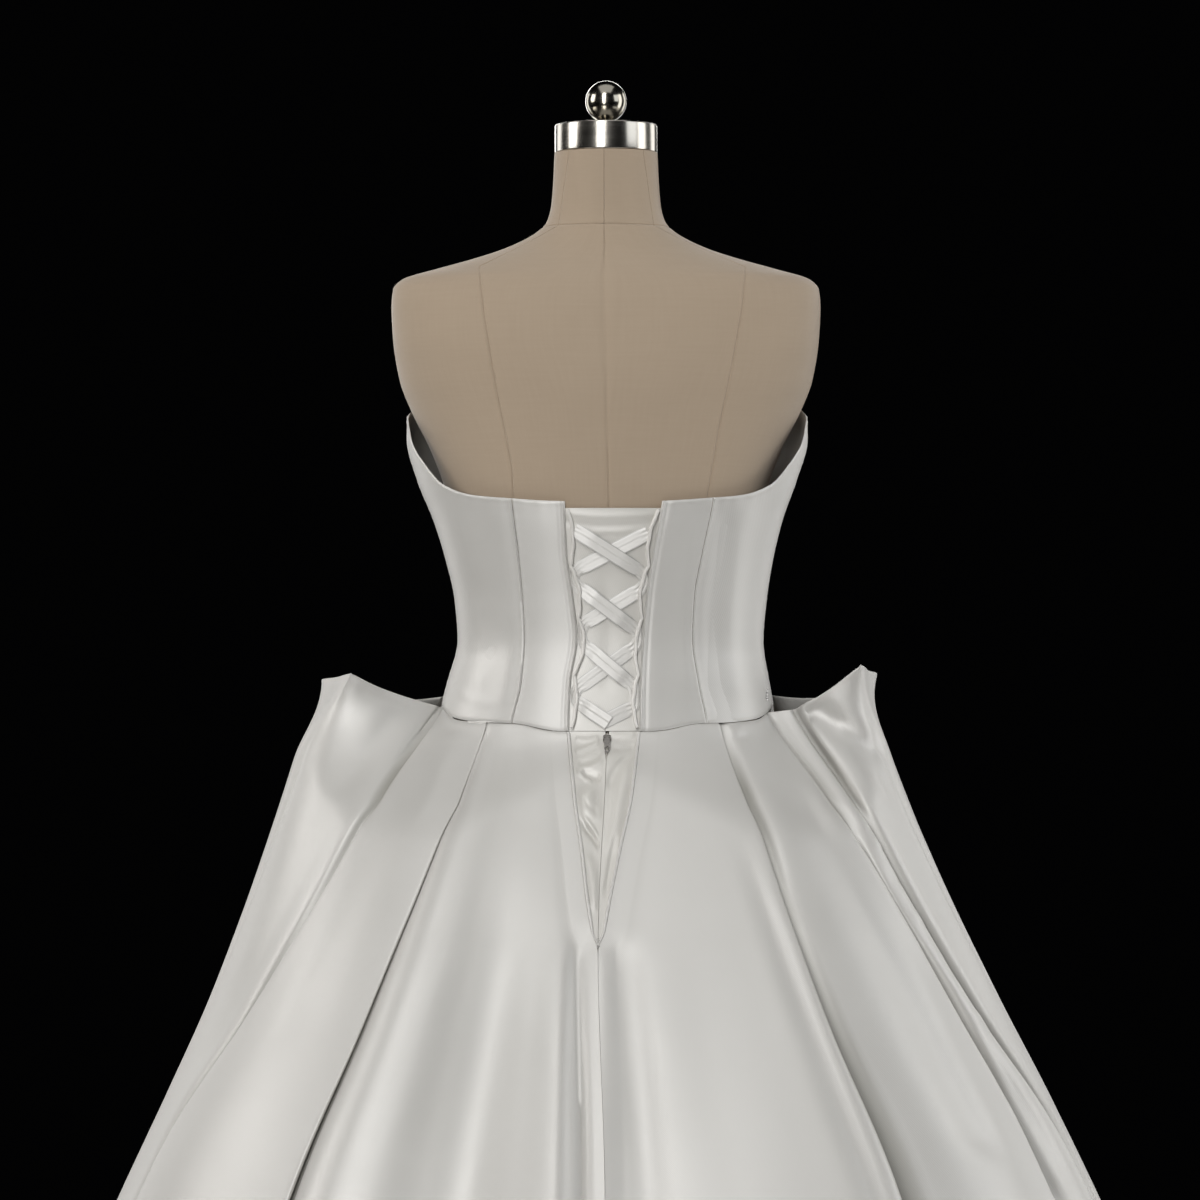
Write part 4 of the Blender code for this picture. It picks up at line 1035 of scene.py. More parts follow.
class Pattern(Tree):
    """A Geometry Nodes tree with named inputs, used once on each host and then applied."""

    def __init__(self, name: str, inputs: dict[str, tuple[str, float]]) -> None:
        """Make the tree and its inputs.

        Args:
            name: Name of the tree.
            inputs: Socket type and first value of each named input.
        """
        group = bpy.data.node_groups.new(name, "GeometryNodeTree")
        super().__init__(group)
        group.interface.new_socket("Geometry", in_out="INPUT", socket_type="NodeSocketGeometry")
        self.identifiers: dict[str, str] = {}
        for label, (kind, value) in inputs.items():
            socket = group.interface.new_socket(label, in_out="INPUT", socket_type=kind)
            socket.default_value = value
            self.identifiers[label] = socket.identifier
        group.interface.new_socket("Geometry", in_out="OUTPUT", socket_type="NodeSocketGeometry")
        self.source = self.node("NodeGroupInput")

    def given(self, label: str) -> Number:
        """The number of a named input."""
        return Number(self, self.source.outputs[label])

    def finish(self, geometry: bpy.types.NodeSocket, material: bpy.types.Material) -> None:
        """End the tree in Realize Instances and Set Material.

        Args:
            geometry: Socket of what was grown.
            material: Material that it wears.
        """
        real = self.node("GeometryNodeRealizeInstances", None, {0: geometry})
        smooth = self.node("GeometryNodeSetShadeSmooth", None, {0: real.outputs[0]})
        dressed = self.node(
            "GeometryNodeSetMaterial", None, {"Geometry": smooth.outputs[0], "Material": material}
        )
        self.node("NodeGroupOutput", None, {0: dressed.outputs[0]})

    def grow(
        self, name: str, path: Points, values: dict[str, float], slim: Sequence[float] = ()
    ) -> bpy.types.Object:
        """Grow the pattern along a line of points, as a plain mesh.

        Args:
            name: Name of the piece.
            path: Points of the line.
            values: Values of the named inputs.
            slim: Share of the full size at each point, or nothing for full size.

        Returns:
            The object.
        """
        line = bpy.data.meshes.new(name + "_line")
        edges = [(i, i + 1) for i in range(len(path) - 1)]
        line.from_pydata(np.asarray(path, float).tolist(), edges, [])
        sizes = line.attributes.new("slim", "FLOAT", "POINT")
        sizes.data.foreach_set("value", np.array(slim if len(slim) else [1.0] * len(path), np.float32))
        host = bpy.data.objects.new(name + "_host", line)
        bpy.context.scene.collection.objects.link(host)
        modifier = host.modifiers.new("grow", "NODES")
        modifier.node_group = self.tree
        for label, value in values.items():
            modifier[self.identifiers[label]] = value
        depsgraph = bpy.context.evaluated_depsgraph_get()
        mesh = bpy.data.meshes.new_from_object(host.evaluated_get(depsgraph))
        host.modifiers.clear()
        bpy.data.objects.remove(host)
        mesh.name = name
        made = bpy.data.objects.new(name, mesh)
        bpy.context.scene.collection.objects.link(made)
        return made


class CordPattern(Pattern):
    """A round cord along a line."""

    def __init__(self, finish: Finish) -> None:
        """Sweep a circle along the line.

        Args:
            finish: Finish of the cord.
        """
        super().__init__(
            "cord_" + finish.name, {"Radius": ("NodeSocketFloat", 0.001), "Sides": ("NodeSocketInt", 12)}
        )
        line = self.node("GeometryNodeMeshToCurve", None, {0: self.source.outputs[0]})
        slim = self.node("GeometryNodeInputNamedAttribute", {"data_type": "FLOAT"}, {"Name": "slim"})
        ring = self.node(
            "GeometryNodeCurvePrimitiveCircle",
            {"mode": "RADIUS"},
            {"Resolution": self.given("Sides"), "Radius": self.given("Radius")},
        )
        swept = self.node(
            "GeometryNodeCurveToMesh",
            None,
            {
                "Curve": line.outputs[0],
                "Profile Curve": ring.outputs[0],
                "Fill Caps": True,
                "Scale": slim.outputs["Attribute"],
            },
        )
        self.finish(swept.outputs[0], finish.material())


class RowPattern(Pattern):
    """A row of small rounded grains set along a line, such as teeth, stitches or beads."""

    def __init__(self, name: str, finish: Finish, facets: int) -> None:
        """Set grains along the line, every other one moved aside.

        Args:
            name: Name of the tree.
            finish: Finish of the grains.
            facets: How finely a grain is cut.
        """
        kinds = {"Pitch": 0.001, "Length": 0.002, "Width": 0.0004, "Rise": 0.0004, "Stagger": 0.0}
        super().__init__(name, {label: ("NodeSocketFloat", value) for label, value in kinds.items()})
        line = self.node("GeometryNodeMeshToCurve", None, {0: self.source.outputs[0]})
        pitch = {"Curve": line.outputs[0], "Length": self.given("Pitch")}
        spaced = self.node("GeometryNodeResampleCurve", {"mode": "LENGTH"}, pitch)
        grain = self.node("GeometryNodeMeshIcoSphere", None, {"Radius": 0.5, "Subdivisions": facets})
        size = self.node(
            "ShaderNodeCombineXYZ",
            None,
            {0: self.given("Length"), 1: self.given("Rise"), 2: self.given("Width")},
        )
        along = self.node("GeometryNodeInputTangent")
        turn = self.node("FunctionNodeAlignEulerToVector", {"axis": "Z"}, {"Vector": along.outputs[0]})
        index = Number(self, self.node("GeometryNodeInputIndex").outputs[0])
        aside = (index.remainder(2.0) - 0.5) * self.given("Stagger")
        shift = self.node("ShaderNodeCombineXYZ", None, {0: aside})
        moved = self.node(
            "GeometryNodeSetPosition", None, {"Geometry": spaced.outputs[0], "Offset": shift.outputs[0]}
        )
        grains = self.node(
            "GeometryNodeInstanceOnPoints",
            None,
            {
                "Points": moved.outputs[0],
                "Instance": grain.outputs[0],
                "Rotation": turn.outputs[0],
                "Scale": size.outputs[0],
            },
        )
        self.finish(grains.outputs[0], finish.material())


# The dress form


LEFT_FORM_SEAM = (
    (1.03, 0.082),
    (1.10, 0.080),
    (1.26, 0.088),
    (1.34, 0.103),
    (1.40, 0.113),
    (1.45, 0.119),
    (1.4905, 0.045),
    (1.56, 0.035),
)
RIGHT_FORM_SEAM = (
    (1.03, 0.082),
    (1.10, 0.080),
    (1.24, 0.096),
    (1.30, 0.106),
    (1.36, 0.118),
    (1.41, 0.127),
    (1.45, 0.131),
    (1.4905, 0.045),
    (1.56, 0.035),
)


def quarter_round(radius: float, height: float, edge: float, start: int) -> list[tuple[float, float]]:
    """Radii and heights of a rounded edge, from bottom to top.

    Args:
        radius: Radius of the middle of the rounding.
        height: Its height.
        edge: How far the edge is rounded.
        start: Angle at which it starts, in degrees.

    Returns:
        The pairs.
    """
    turns = [math.radians(start + step) for step in range(0, 91, 18)]
    return [(radius + edge * math.cos(turn), height + edge * math.sin(turn)) for turn in turns]


@dataclass
class DressForm:
    """Limbless form in linen with its neck cap, knob, pole and base."""

    bottom: float = 0.830
    top: float = 1.562
    mean_radius: float = 0.15
    ease: float = 0.0012
    ease_end: float = 1.34
    seam_depth: float = 0.0011
    seam_width: float = 0.0007
    neck_seam: float = 1.4908
    neck_seam_width: float = 0.0006
    front_seam_share: float = 0.9
    neck_y: float = -0.0058
    cap_radius: float = 0.0486
    cap_bottom: float = 1.5623
    cap_top: float = 1.5890
    cap_edge: float = 0.0014
    cap_hole: float = 0.004
    collar_radius: float = 0.0120
    collar_edge: float = 0.0004
    collar_height: float = 0.0030
    neck_radius: float = 0.0066
    knob_radius: float = 0.0196
    knob_centre: float = 1.6117
    knob_foot: float = 0.0062
    pole_radius: float = 0.0140
    pole_edge: float = 0.001
    base_radius: float = 0.200
    base_height: float = 0.026
    base_lip: float = 0.010
    base_edge: float = 0.003

    def build(self) -> None:
        """Make every piece of the form."""
        self.build_body()
        self.build_cap()
        self.build_knob()
        self.build_stand()

    def seam_angles(self, height: Points) -> list[Points]:
        """Angles of the form's seams at each height, once round from the centre back.

        Args:
            height: Heights of the rows.

        Returns:
            One array of angles for each seam, the last one a full turn.
        """
        centre = np.interp(height, (1.20, 1.49, 1.56), (-0.0018, 0.0018, 0.0018))
        start = np.degrees(np.arcsin(np.clip(centre / FORM.table.read("left", height), -1, 1)))
        left, right = (
            [
                FORM.angle(height, side, np.interp(height, *np.array(seam).T)),
                FORM.angle(height, side, np.interp(height, *np.array(seam).T) * self.front_seam_share, True),
            ]
            for side, seam in ((1, LEFT_FORM_SEAM), (-1, RIGHT_FORM_SEAM))
        )
        quarters = [np.full(len(height), degrees) for degrees in (90.0, 180.0, 270.0)]
        found = [start, left[0], quarters[0], left[1], quarters[1]]
        return found + [360 - right[1], quarters[2], 360 - right[0], start + 360]

    def body_rows(self) -> Points:
        """Heights of the cover's rows, closest at the neck seam.

        Returns:
            The heights, growing.
        """
        seam = self.neck_seam
        near = np.array([0.0004, 0.001, 0.002])
        return np.concatenate(
            [
                np.linspace(self.bottom, 1.20, 30),
                np.linspace(1.21, 1.43, 60),
                np.linspace(1.4325, seam - 0.004, 34),
                seam + np.concatenate([-near[::-1], [0.0], near]),
                np.linspace(seam + 0.004, self.top, 22),
            ]
        )

    def build_body(self) -> None:
        """Linen cover with its seams, closed at the neck and at the bottom."""
        height = self.body_rows()
        seams = self.seam_angles(height)
        shares = [0, 0.008, 0.018, 0.035, *np.linspace(0.07, 0.93, 22), 0.965, 0.982, 0.992]
        angles, depth = [], []
        for start, end in zip(seams, seams[1:]):
            for share in shares:
                angles.append(start + (end - start) * share)
                near = min(share, 1 - share) * np.radians(end - start) * self.mean_radius
                depth.append(-self.seam_depth * bell(near, self.seam_width))
        angle, out = np.array(angles).T % 360, np.array(depth).T
        side = np.where(angle <= 180, 1, -1)
        angle = np.where(angle <= 180, angle, 360 - angle)
        under = self.ease * np.clip((self.ease_end - height) / 0.04, 0, 1)
        ring = self.seam_depth * bell(height - self.neck_seam, self.neck_seam_width)
        grid = FORM.point(height[:, None], side, angle, out - under[:, None] - ring[:, None])
        rows, columns = grid.shape[:2]
        faces = grid_faces(rows, columns, 0, True, closed=True)
        faces.append(tuple(range(columns)))
        faces.append(tuple(range((rows - 1) * columns, rows * columns)))
        uv = np.stack([np.radians(angle) * side * self.mean_radius, grid[..., 2]], axis=-1)
        made = outwards(mesh_object("linen_form", grid, faces, uv, 60.0))
        place_piece(made, LINEN, Slot.LINEN, ["form_body"])

    def build_cap(self) -> None:
        """Turned cap on the neck, with rounded edges."""
        edge, middle = self.cap_edge, self.cap_radius - self.cap_edge
        profile = [(self.cap_hole, self.cap_bottom)]
        profile += quarter_round(middle, self.cap_bottom + edge, edge, -90)
        profile += quarter_round(middle, self.cap_top - edge, edge, 0)
        profile.append((self.cap_hole, self.cap_top))
        made = turned("neck_cap_turned", profile, self.neck_y, 128)
        place_piece(made, CAP_METAL, Slot.CAP, ["form_neck_cap"])

    def build_knob(self) -> None:
        """Collar and ball, polished."""
        foot, wide, edge = self.cap_top + SEAM_GAP, self.collar_radius, self.collar_edge
        high = foot + self.collar_height
        profile = [(0.003, foot), (wide - edge, foot), (wide, foot + edge)]
        profile += [(wide, high - edge), (wide - edge, high)]
        profile += [(self.neck_radius + 0.0012, foot + 0.0034), (self.neck_radius, foot + 0.0042)]
        lowest = math.asin(self.knob_foot / self.knob_radius)
        for turn in np.linspace(lowest, math.radians(178.5), 41).tolist():
            up = self.knob_centre - self.knob_radius * math.cos(turn)
            profile.append((self.knob_radius * math.sin(turn), up))
        made = turned("knob_turned", profile, self.neck_y, 96, 30.0)
        place_piece(made, KNOB_METAL, Slot.KNOB, ["form_knob"])

    def build_stand(self) -> None:
        """Pole and round base, both turned."""
        wide, edge = self.pole_radius, self.pole_edge
        low, high = self.base_height + SEAM_GAP, self.bottom - SEAM_GAP
        pole = [(wide - edge, low), (wide, low + edge), (wide, high - edge), (wide - edge, high)]
        place_piece(turned("pole_turned", pole, sides=48), STAND_METAL, Slot.STAND, ["form_pole"])
        wide, edge, lip, high = self.base_radius, self.base_edge, self.base_lip, self.base_height
        half = 0.3 * edge
        base = [(wide - edge, 0.0), (wide - half, half), (wide, edge), (wide, lip - edge)]
        base += [(wide - half, lip - half), (wide - edge, lip), (0.12, lip + 0.006)]
        base += [(0.06, high - 0.006), (0.045, high - 0.004), (0.038, high - 0.001), (0.034, high)]
        place_piece(turned("base_turned", base, sides=128), STAND_METAL, Slot.STAND, ["form_base"])


# The bodice


SIDE_SEAM_ANGLE = 92.0
HALVES = ((1, "left"), (-1, "right"))


def spread_shares(count: int, crowd: float = 0.6) -> Points:
    """Shares from 0 to 1, closer together near both ends.

    Args:
        count: How many.
        crowd: 0 for even spacing and 1 for the closest ends.

    Returns:
        The shares.
    """
    t = np.linspace(0, 1, count)
    return t * (1 - crowd) + (0.5 - 0.5 * np.cos(math.pi * t)) * crowd


def edge_height(column: str, angle: Points) -> Points:
    """Height of the bodice's waist or neckline at an angle."""
    return BODICE_EDGES.read(column, np.clip(angle, 0.0, 180.0))


def back_seam(side: int, column: str) -> Callable[[Points], Points]:
    """Make the function that gives the angle of a back seam at a height.

    Args:
        side: 1 for the left half and -1 for the right.
        column: Column of the back lines.

    Returns:
        The function.
    """

    def angle(height: Points) -> Points:
        """Angle of the seam at a height."""
        return BODICE.angle(height, side, BACK_LINES.read(column, height))

    return angle


def side_seam(height: Points) -> Points:
    """Angle of both side seams at a height."""
    return np.full(np.shape(height), SIDE_SEAM_ANGLE)


def front_seam(side: int) -> Callable[[Points], Points]:
    """Make the function that gives the angle of a front princess seam at a height.

    Args:
        side: 1 for the left half and -1 for the right.

    Returns:
        The function.
    """

    def angle(height: Points) -> Points:
        """Angle of the seam at a height.

        Args:
            height: The height.

        Returns:
            The angle in degrees.
        """
        wide = BODICE.table.read("left" if side > 0 else "right", height)
        share = 0.50 + 0.10 * (np.asarray(height) - 1.10) / 0.2
        return BODICE.angle(height, side, share * wide, front=True)

    return angle


def far_front_seam(height: Points) -> Points:
    """Angle of the right princess seam, counted on round the front."""
    return 360 - front_seam(-1)(height)


@dataclass(frozen=True)
class BodicePanel:
    """One panel of the bodice between two seams, with its flat cut and its creases."""

    name: str
    side: int
    start: Callable[[Points], Points]
    end: Callable[[Points], Points]
    columns: int
    flat: tuple[float, float]
    area: float
    creases: tuple[Crease, ...] = ()
    laced: bool = False


LEFT_BACK_CREASES = (
    Crease(((540, 500), (545, 600), (540, 725)), 0.5, 16, 16, (0, 0)),
    Crease(((505, 505), (530, 500), (560, 504)), -0.3, 3, 3, (10, 10), Run.ACROSS),
)
LEFT_SIDE_CREASES = (
    Crease(((470, 470), (486, 560), (492, 640), (484, 720)), -1.1, 12, 14, (30, 0)),
    Crease(((498, 500), (510, 600), (511, 640), (500, 715)), 0.7, 8, 9, (20, 20)),
    Crease(((440, 640), (470, 655), (500, 650)), -0.5, 6, 8, (14, 14), Run.ACROSS),
    Crease(((455, 690), (475, 700), (500, 704)), 0.5, 5, 6, (12, 12), Run.ACROSS),
)
RIGHT_BACK_CREASES = (
    Crease(((676, 510), (668, 600), (668, 700)), -0.7, 14, 16, (30, 0)),
    Crease(((698, 520), (684, 610), (688, 700)), 0.4, 7, 7, (20, 20)),
)
RIGHT_SIDE_CREASES = (
    Crease(((727, 500), (719, 560), (712, 620), (714, 680), (724, 712)), -1.5, 9, 13, (30, 0)),
    Crease(((748, 490), (738, 560), (732, 640), (742, 705)), 0.9, 10, 14, (30, 20)),
    Crease(((715, 655), (740, 650), (765, 655)), -0.4, 6, 8, (14, 14), Run.ACROSS),
)
MODESTY_CREASES = (
    Crease(((566, 513), (600, 516), (640, 515), (666, 511)), 0.7, 2.5, 3.0, (0, 0), Run.ACROSS),
    Crease(((566, 522), (600, 526), (640, 524), (666, 520)), -0.6, 3.0, 3.0, (0, 0), Run.ACROSS),
    Crease(((590, 531), (612, 531.5), (636, 530)), 0.5, 2.0, 2.2, (8, 8), Run.ACROSS),
    Crease(((604, 560), (609, 620), (606, 700)), -0.6, 8, 9, (20, 20)),
    Crease(((586, 600), (610, 608), (634, 600)), 0.4, 7, 9, (10, 10), Run.ACROSS),
)


def bodice_panels() -> list[BodicePanel]:
    """The seven panels with their flat cuts and listed creases.

    Returns:
        The panels.
    """
    panels = []
    for side, word in HALVES:
        edge, seam, front = back_seam(side, word + "_edge"), back_seam(side, word + "_seam"), front_seam(side)
        if side > 0:
            back = BodicePanel("", side, edge, seam, 34, (0.066, 0.215), 0.0108, LEFT_BACK_CREASES, True)
            flank = BodicePanel("", side, seam, side_seam, 52, (0.152, 0.292), 0.0308, LEFT_SIDE_CREASES)
        else:
            back = BodicePanel("", side, edge, seam, 34, (0.076, 0.215), 0.0112, RIGHT_BACK_CREASES, True)
            flank = BodicePanel("", side, seam, side_seam, 52, (0.155, 0.292), 0.0303, RIGHT_SIDE_CREASES)
        cup = BodicePanel("", side, side_seam, front, 52, (0.165, 0.300), 0.0385)
        for place, panel in (("centre_back", back), ("side_back", flank), ("side_front", cup)):
            panels.append(replace(panel, name=f"bodice_{place}_{word}"))
    front = (front_seam(1), far_front_seam)
    return panels + [BodicePanel("bodice_centre_front", 0, *front, 72, (0.225, 0.310), 0.0530)]


@dataclass
class Bodice:
    """Seven boned panels, the modesty panel, the rouleau loops and the lace."""

    rows: int = 76
    wall: float = 0.0013
    seam_ridge: float = 0.00035
    seam_dip: float = 0.0008
    pucker: float = 0.00020
    lacing_edge: float = 0.0009
    lacing_fall: float = 0.0006
    lacing_drop: float = 0.0008
    top_roll: float = 0.0004
    top_drop: float = 0.0006
    top_waves: float = 0.00025
    broad_waves: float = 0.0005
    gathers: float = 0.0003
    edge_round: float = 0.0007
    modesty_top: float = 1.2225
    modesty_bottom: float = 1.0164
    modesty_tuck: float = 0.016
    modesty_wall: float = 0.0012
    modesty_relief: float = 0.8
    modesty_sink: float = 0.0002
    modesty_room: float = 0.0004
    loop_joints: tuple[float, ...] = (1.0195, 1.0680, 1.1208, 1.1690, 1.2210)
    loop_clear: float = 0.00175
    loop_radius: float = 0.00165
    loop_rise: float = 0.0013
    loop_bulge: float = 0.0042
    loop_wobble: float = 0.0004
    ribbon_under: float = -0.0013
    ribbon_over: float = 0.0011
    ribbon_turn: float = 0.0044
    ribbon_waist: float = 0.0095
    ribbon_width: float = 0.0138
    ribbon_climb: float = 0.009
    ribbon_half_wall: float = 0.0003
    ribbon_fold: float = 0.00055
    ribbon_dent: float = 0.0004
    ribbon_dish: float = 0.0002
    ribbon_pleat: float = 0.0007
    ribbon_lift: float = 0.75

    def build(self) -> None:
        """Make every piece of the bodice."""
        for panel in bodice_panels():
            self.build_panel(panel)
        self.build_modesty()
        self.build_loops()
        self.build_lace()

    def build_panel(self, panel: BodicePanel) -> None:
        """Make one panel as a thin wall with rolled seams.

        Args:
            panel: The panel.
        """
        share = spread_shares(panel.columns, 0.55)
        low, high = (
            np.minimum(angle, 360 - angle)
            for angle in (between(panel.start(z), panel.end(z), share) for z in (1.03, 1.24))
        )
        bottom, top = edge_height("waist", low), edge_height("neckline", high)
        down = spread_shares(self.rows - 7, 0.35) * 0.968 + 0.016
        down = np.concatenate([[0, 0.0012, 0.004, 0.009], down, [0.991, 0.996, 1.0]])
        height = top + (bottom - top) * down[:, None]
        angle = between(panel.start(height), panel.end(height), share)
        side = np.full(angle.shape, panel.side)
        if panel.side == 0:
            side = np.where(angle <= 180, 1, -1)
            angle = np.where(angle <= 180, angle, 360 - angle)
        base = self.trimmed(BODICE.point(height, side, angle))
        normals = outward_normals(base)
        from_start = np.linalg.norm(base - base[:, :1], axis=2)
        from_end = np.linalg.norm(base - base[:, -1:], axis=2)
        from_top = top - height
        out = self.seam_shape(from_start, height, 0.3, panel.laced)
        out += self.seam_shape(from_end, height, 1.7, False)
        out += self.edge_shape(from_start, from_top, height - bottom)
        out += unevenness(base, self.broad_waves, 0.11, panel.columns * 0.7 + panel.side)
        out += relief(base, panel.creases) * np.clip(normals[..., 1] * 4, 0, 1)
        folds = from_start * 1500 + 2.2 * np.sin(from_start * 310) + 1.4 * np.sin(height * 70)
        gathers = self.gathers * np.sin(folds) * np.exp(-from_top / 0.05)
        inside = -self.wall + np.where(angle > 88, gathers, 0.0)
        near = np.minimum(np.minimum(from_top, from_start), from_end)
        rounded = np.clip(near / self.edge_round, 0.3, 1.0)
        middle = (out + inside) / 2
        outer = base + normals * (middle + (out - middle) * rounded)[..., None]
        inner = base + normals * (middle + (inside - middle) * rounded)[..., None]
        made = shell(panel.name + "_satin", outer, inner)
        place_piece(made, SATIN, Slot.SATIN, [panel.name])

    def edge_shape(self, from_start: Points, from_top: Points, from_bottom: Points) -> Points:
        """Roll of the neckline, with its soft waves, and the dip at the waist seam.

        Args:
            from_start: Distance of each point from the panel's first seam.
            from_top: Distance from the neckline.
            from_bottom: Distance from the waist.

        Returns:
            How far outwards the cloth lies.
        """
        roll = self.top_roll * bell(from_top - 0.0022, 0.0016) - self.top_drop * bell(from_top, 0.0008)
        waves = self.top_waves * np.sin(from_start * 520 + np.sin(from_start * 90) * 2)
        return roll - WAIST_DIP * bell(from_bottom, WAIST_DIP_WIDTH) + waves * np.exp(-from_top / 0.008)

    def trimmed(self, grid: Points) -> Points:
        """The grid with its first and last columns moved in by half of a seam gap.

        Args:
            grid: Points in rows and columns.

        Returns:
            The moved points.
        """
        for edge, near in ((0, 1), (-1, -2)):
            inwards = grid[:, near] - grid[:, edge]
            grid[:, edge] += SEAM_GAP / 2 * inwards / np.linalg.norm(inwards, axis=1, keepdims=True)
        return grid

    def seam_shape(self, distance: Points, height: Points, phase: float, laced: bool) -> Points:
        """Roll and puckers beside a seam.

        Args:
            distance: Distance of each point from the seam.
            height: Heights.
            phase: A number that makes the puckers of each seam their own.
            laced: Whether this is the edge that carries the loops.

        Returns:
            How far outwards the cloth lies.
        """
        if laced:
            ridge = self.lacing_edge * bell(distance - 0.0016, 0.0013)
            fall = self.lacing_fall * bell(distance - 0.0052, 0.0016)
            return ridge - fall - self.lacing_drop * bell(distance, 0.0006)
        ridge = self.seam_ridge * (1.5 if phase < 1 else 0.6) * bell(distance - 0.0015, 0.0012)
        dip = self.seam_dip * bell(distance, 0.0008)
        wave = np.sin(height * 640 + 2.0 * np.sin(height * 83 + phase) + phase * 5)
        return ridge - dip + self.pucker * wave * np.exp(-distance / 0.005)

    def build_modesty(self) -> None:
        """Satin panel behind the lacing with a turned top band."""
        height = np.linspace(self.modesty_top, self.modesty_bottom, 110)[:, None]
        left = BACK_LINES.read("left_edge", height) + self.modesty_tuck
        right = BACK_LINES.read("right_edge", height) - self.modesty_tuck
        x = between(left, right, np.linspace(0, 1, 46)[None, :])
        face = back_point(x, height, -BODICE_WALL - LAY_GAP)
        normals = outward_normals(face)
        lift = relief(face, MODESTY_CREASES) * self.modesty_relief - self.modesty_sink
        lift = np.minimum(lift, self.modesty_room)
        inner = face - normals * self.modesty_wall
        made = shell("modesty_satin", face + normals * lift[..., None], inner)
        place_piece(made, BOUNCE_LIT_SATIN, Slot.SATIN, ["modesty_panel"])

    def loop_path(self, side: int, word: str, steps: int) -> Points:
        """Points of the rouleau along one lacing edge, sewn down at its joints.

        Args:
            side: 1 for the left edge and -1 for the right.
            word: Name of that side.
            steps: Points from one joint to the next.

        Returns:
            The points.
        """
        share = np.arange(steps) / steps
        joints = self.loop_joints
        height = np.concatenate([low + (high - low) * share for low, high in zip(joints, joints[1:])])
        height = np.append(height, joints[-1])
        bulge = np.append(np.tile(np.sin(math.pi * share) ** 0.8, len(joints) - 1), 0.0)
        clear = self.loop_clear + SEAM_GAP + self.loop_bulge * bulge
        wobble = np.sin(height * 310 + side) * (clear - self.loop_clear) / self.loop_bulge
        wobble *= self.loop_wobble
        x = BACK_LINES.read(word + "_edge", height) - side * clear
        return back_point(x + wobble, height, self.loop_rise + 0.5 * np.abs(wobble))

    def build_loops(self) -> None:
        """Rouleau loops of both lacing edges."""
        cord = CordPattern(ROULEAU_SATIN)
        for side, word in HALVES:
            path = self.loop_path(side, word, 20)
            made = cord.grow(f"rouleau_loops_{word}", path, {"Radius": self.loop_radius, "Sides": 14})
            place_piece(made, ROULEAU_SATIN, Slot.SATIN, [f"lacing_loops_{word}"])

    def lace_points(self, first: int, heights: Sequence[float], last_x: float) -> list[tuple]:
        """Places, heights, layers and widths of a lace as it crosses the gap.

        Args:
            first: Side it starts from.
            heights: Heights at which its strands start and end.
            last_x: Where its last strand ends.

        Returns:
            Tuples of x, height, layer, width and how crisply the ribbon is folded lengthwise.
        """
        side, under, waist = first, self.ribbon_under, self.ribbon_waist
        starts, ends = [heights[0]] + list(heights[2:-1:2]), list(heights[1::2])
        points = []
        for number, (start, end) in enumerate(zip(starts, ends)):
            word, other = ("left", "right") if side > 0 else ("right", "left")
            x0 = float(BACK_LINES.read(word + "_edge", start)) - side * self.ribbon_turn
            x1 = float(BACK_LINES.read(other + "_edge", end)) + side * self.ribbon_turn
            final = number == len(ends) - 1
            if final:
                x1 = last_x
            level = self.ribbon_over if side > 0 else under
            for share in np.linspace(0.05, 0.95, 9).tolist():
                x = x0 + (x1 - x0) * share
                reach = abs(x - x0) if final else min(abs(x - x0), abs(x - x1))
                climb = min(max((reach - 0.006) / self.ribbon_climb, 0.0), 1.0)
                width = waist + (self.ribbon_width - waist) * min(1.0, reach / self.ribbon_climb) ** 0.7
                crisp = climb * (1.0 if side > 0 else 0.3)
                height = start + (end - start) * share
                points.append((x, height, under + (level - under) * climb, width, crisp))
            if not final:
                points.append((x1, (end + starts[number + 1]) / 2, under, waist, 0.0))
            side = -side
        return points

    def build_lace(self) -> None:
        """Both halves of the ribbon."""
        left = (1.2050, 1.1616, 1.1486, 1.1143, 1.0977, 1.0560, 1.0393, 1.0240)
        right = (1.2014, 1.1644, 1.1514, 1.1079, 1.0958, 1.0542, 1.0450, 1.0230)
        for side, word, heights in ((1, "left", left), (-1, "right", right)):
            made = self.ribbon(f"ribbon_from_{word}", self.lace_points(side, heights, side * 0.004))
            place_piece(made, RIBBON_SATIN, Slot.SATIN, [f"lace_from_{word}"])

    def ribbon(self, name: str, points: list[tuple]) -> bpy.types.Object:
        """Sweep a ribbon through the places of a lace, creased along its strands.

        Args:
            name: Name of the piece.
            points: The lace's points.

        Returns:
            The ribbon.
        """
        smooth = spline(np.array(points), [6] * (len(points) - 1))
        x, height, layer = smooth[:, 0], smooth[:, 1], smooth[:, 2]
        centre = back_point(x, height, layer)
        normal = back_point(x, height, layer + 0.001) - centre
        normal /= np.linalg.norm(normal, axis=1, keepdims=True)
        along = np.gradient(centre, axis=0)
        along /= np.linalg.norm(along, axis=1, keepdims=True)
        across = np.cross(along, normal)
        v = np.linspace(-1, 1, 17)
        width, crisp = smooth[:, 3][:, None], smooth[:, 4][:, None]
        pinch = np.clip((self.ribbon_width - width) / (self.ribbon_width - self.ribbon_waist), 0, 1)
        low = v * np.where(across[:, 2] < 0, 1.0, -1.0)[:, None]
        fold = self.ribbon_fold * bell(low + 0.15, 0.10) - self.ribbon_dent * bell(low - 0.12, 0.14)
        dish = self.ribbon_dish * low - self.ribbon_dent * bell(low + 1.0, 0.14)
        pleat = self.ribbon_pleat * np.cos(v * 3.2 * math.pi) * pinch
        lift = (fold * crisp + dish + pleat) * self.ribbon_lift
        grid = centre[:, None] + across[:, None] * (v * width / 2)[..., None]
        grid += normal[:, None] * lift[..., None]
        half = normal[:, None] * self.ribbon_half_wall
        return shell(name, grid + half, grid - half)


# The skirt


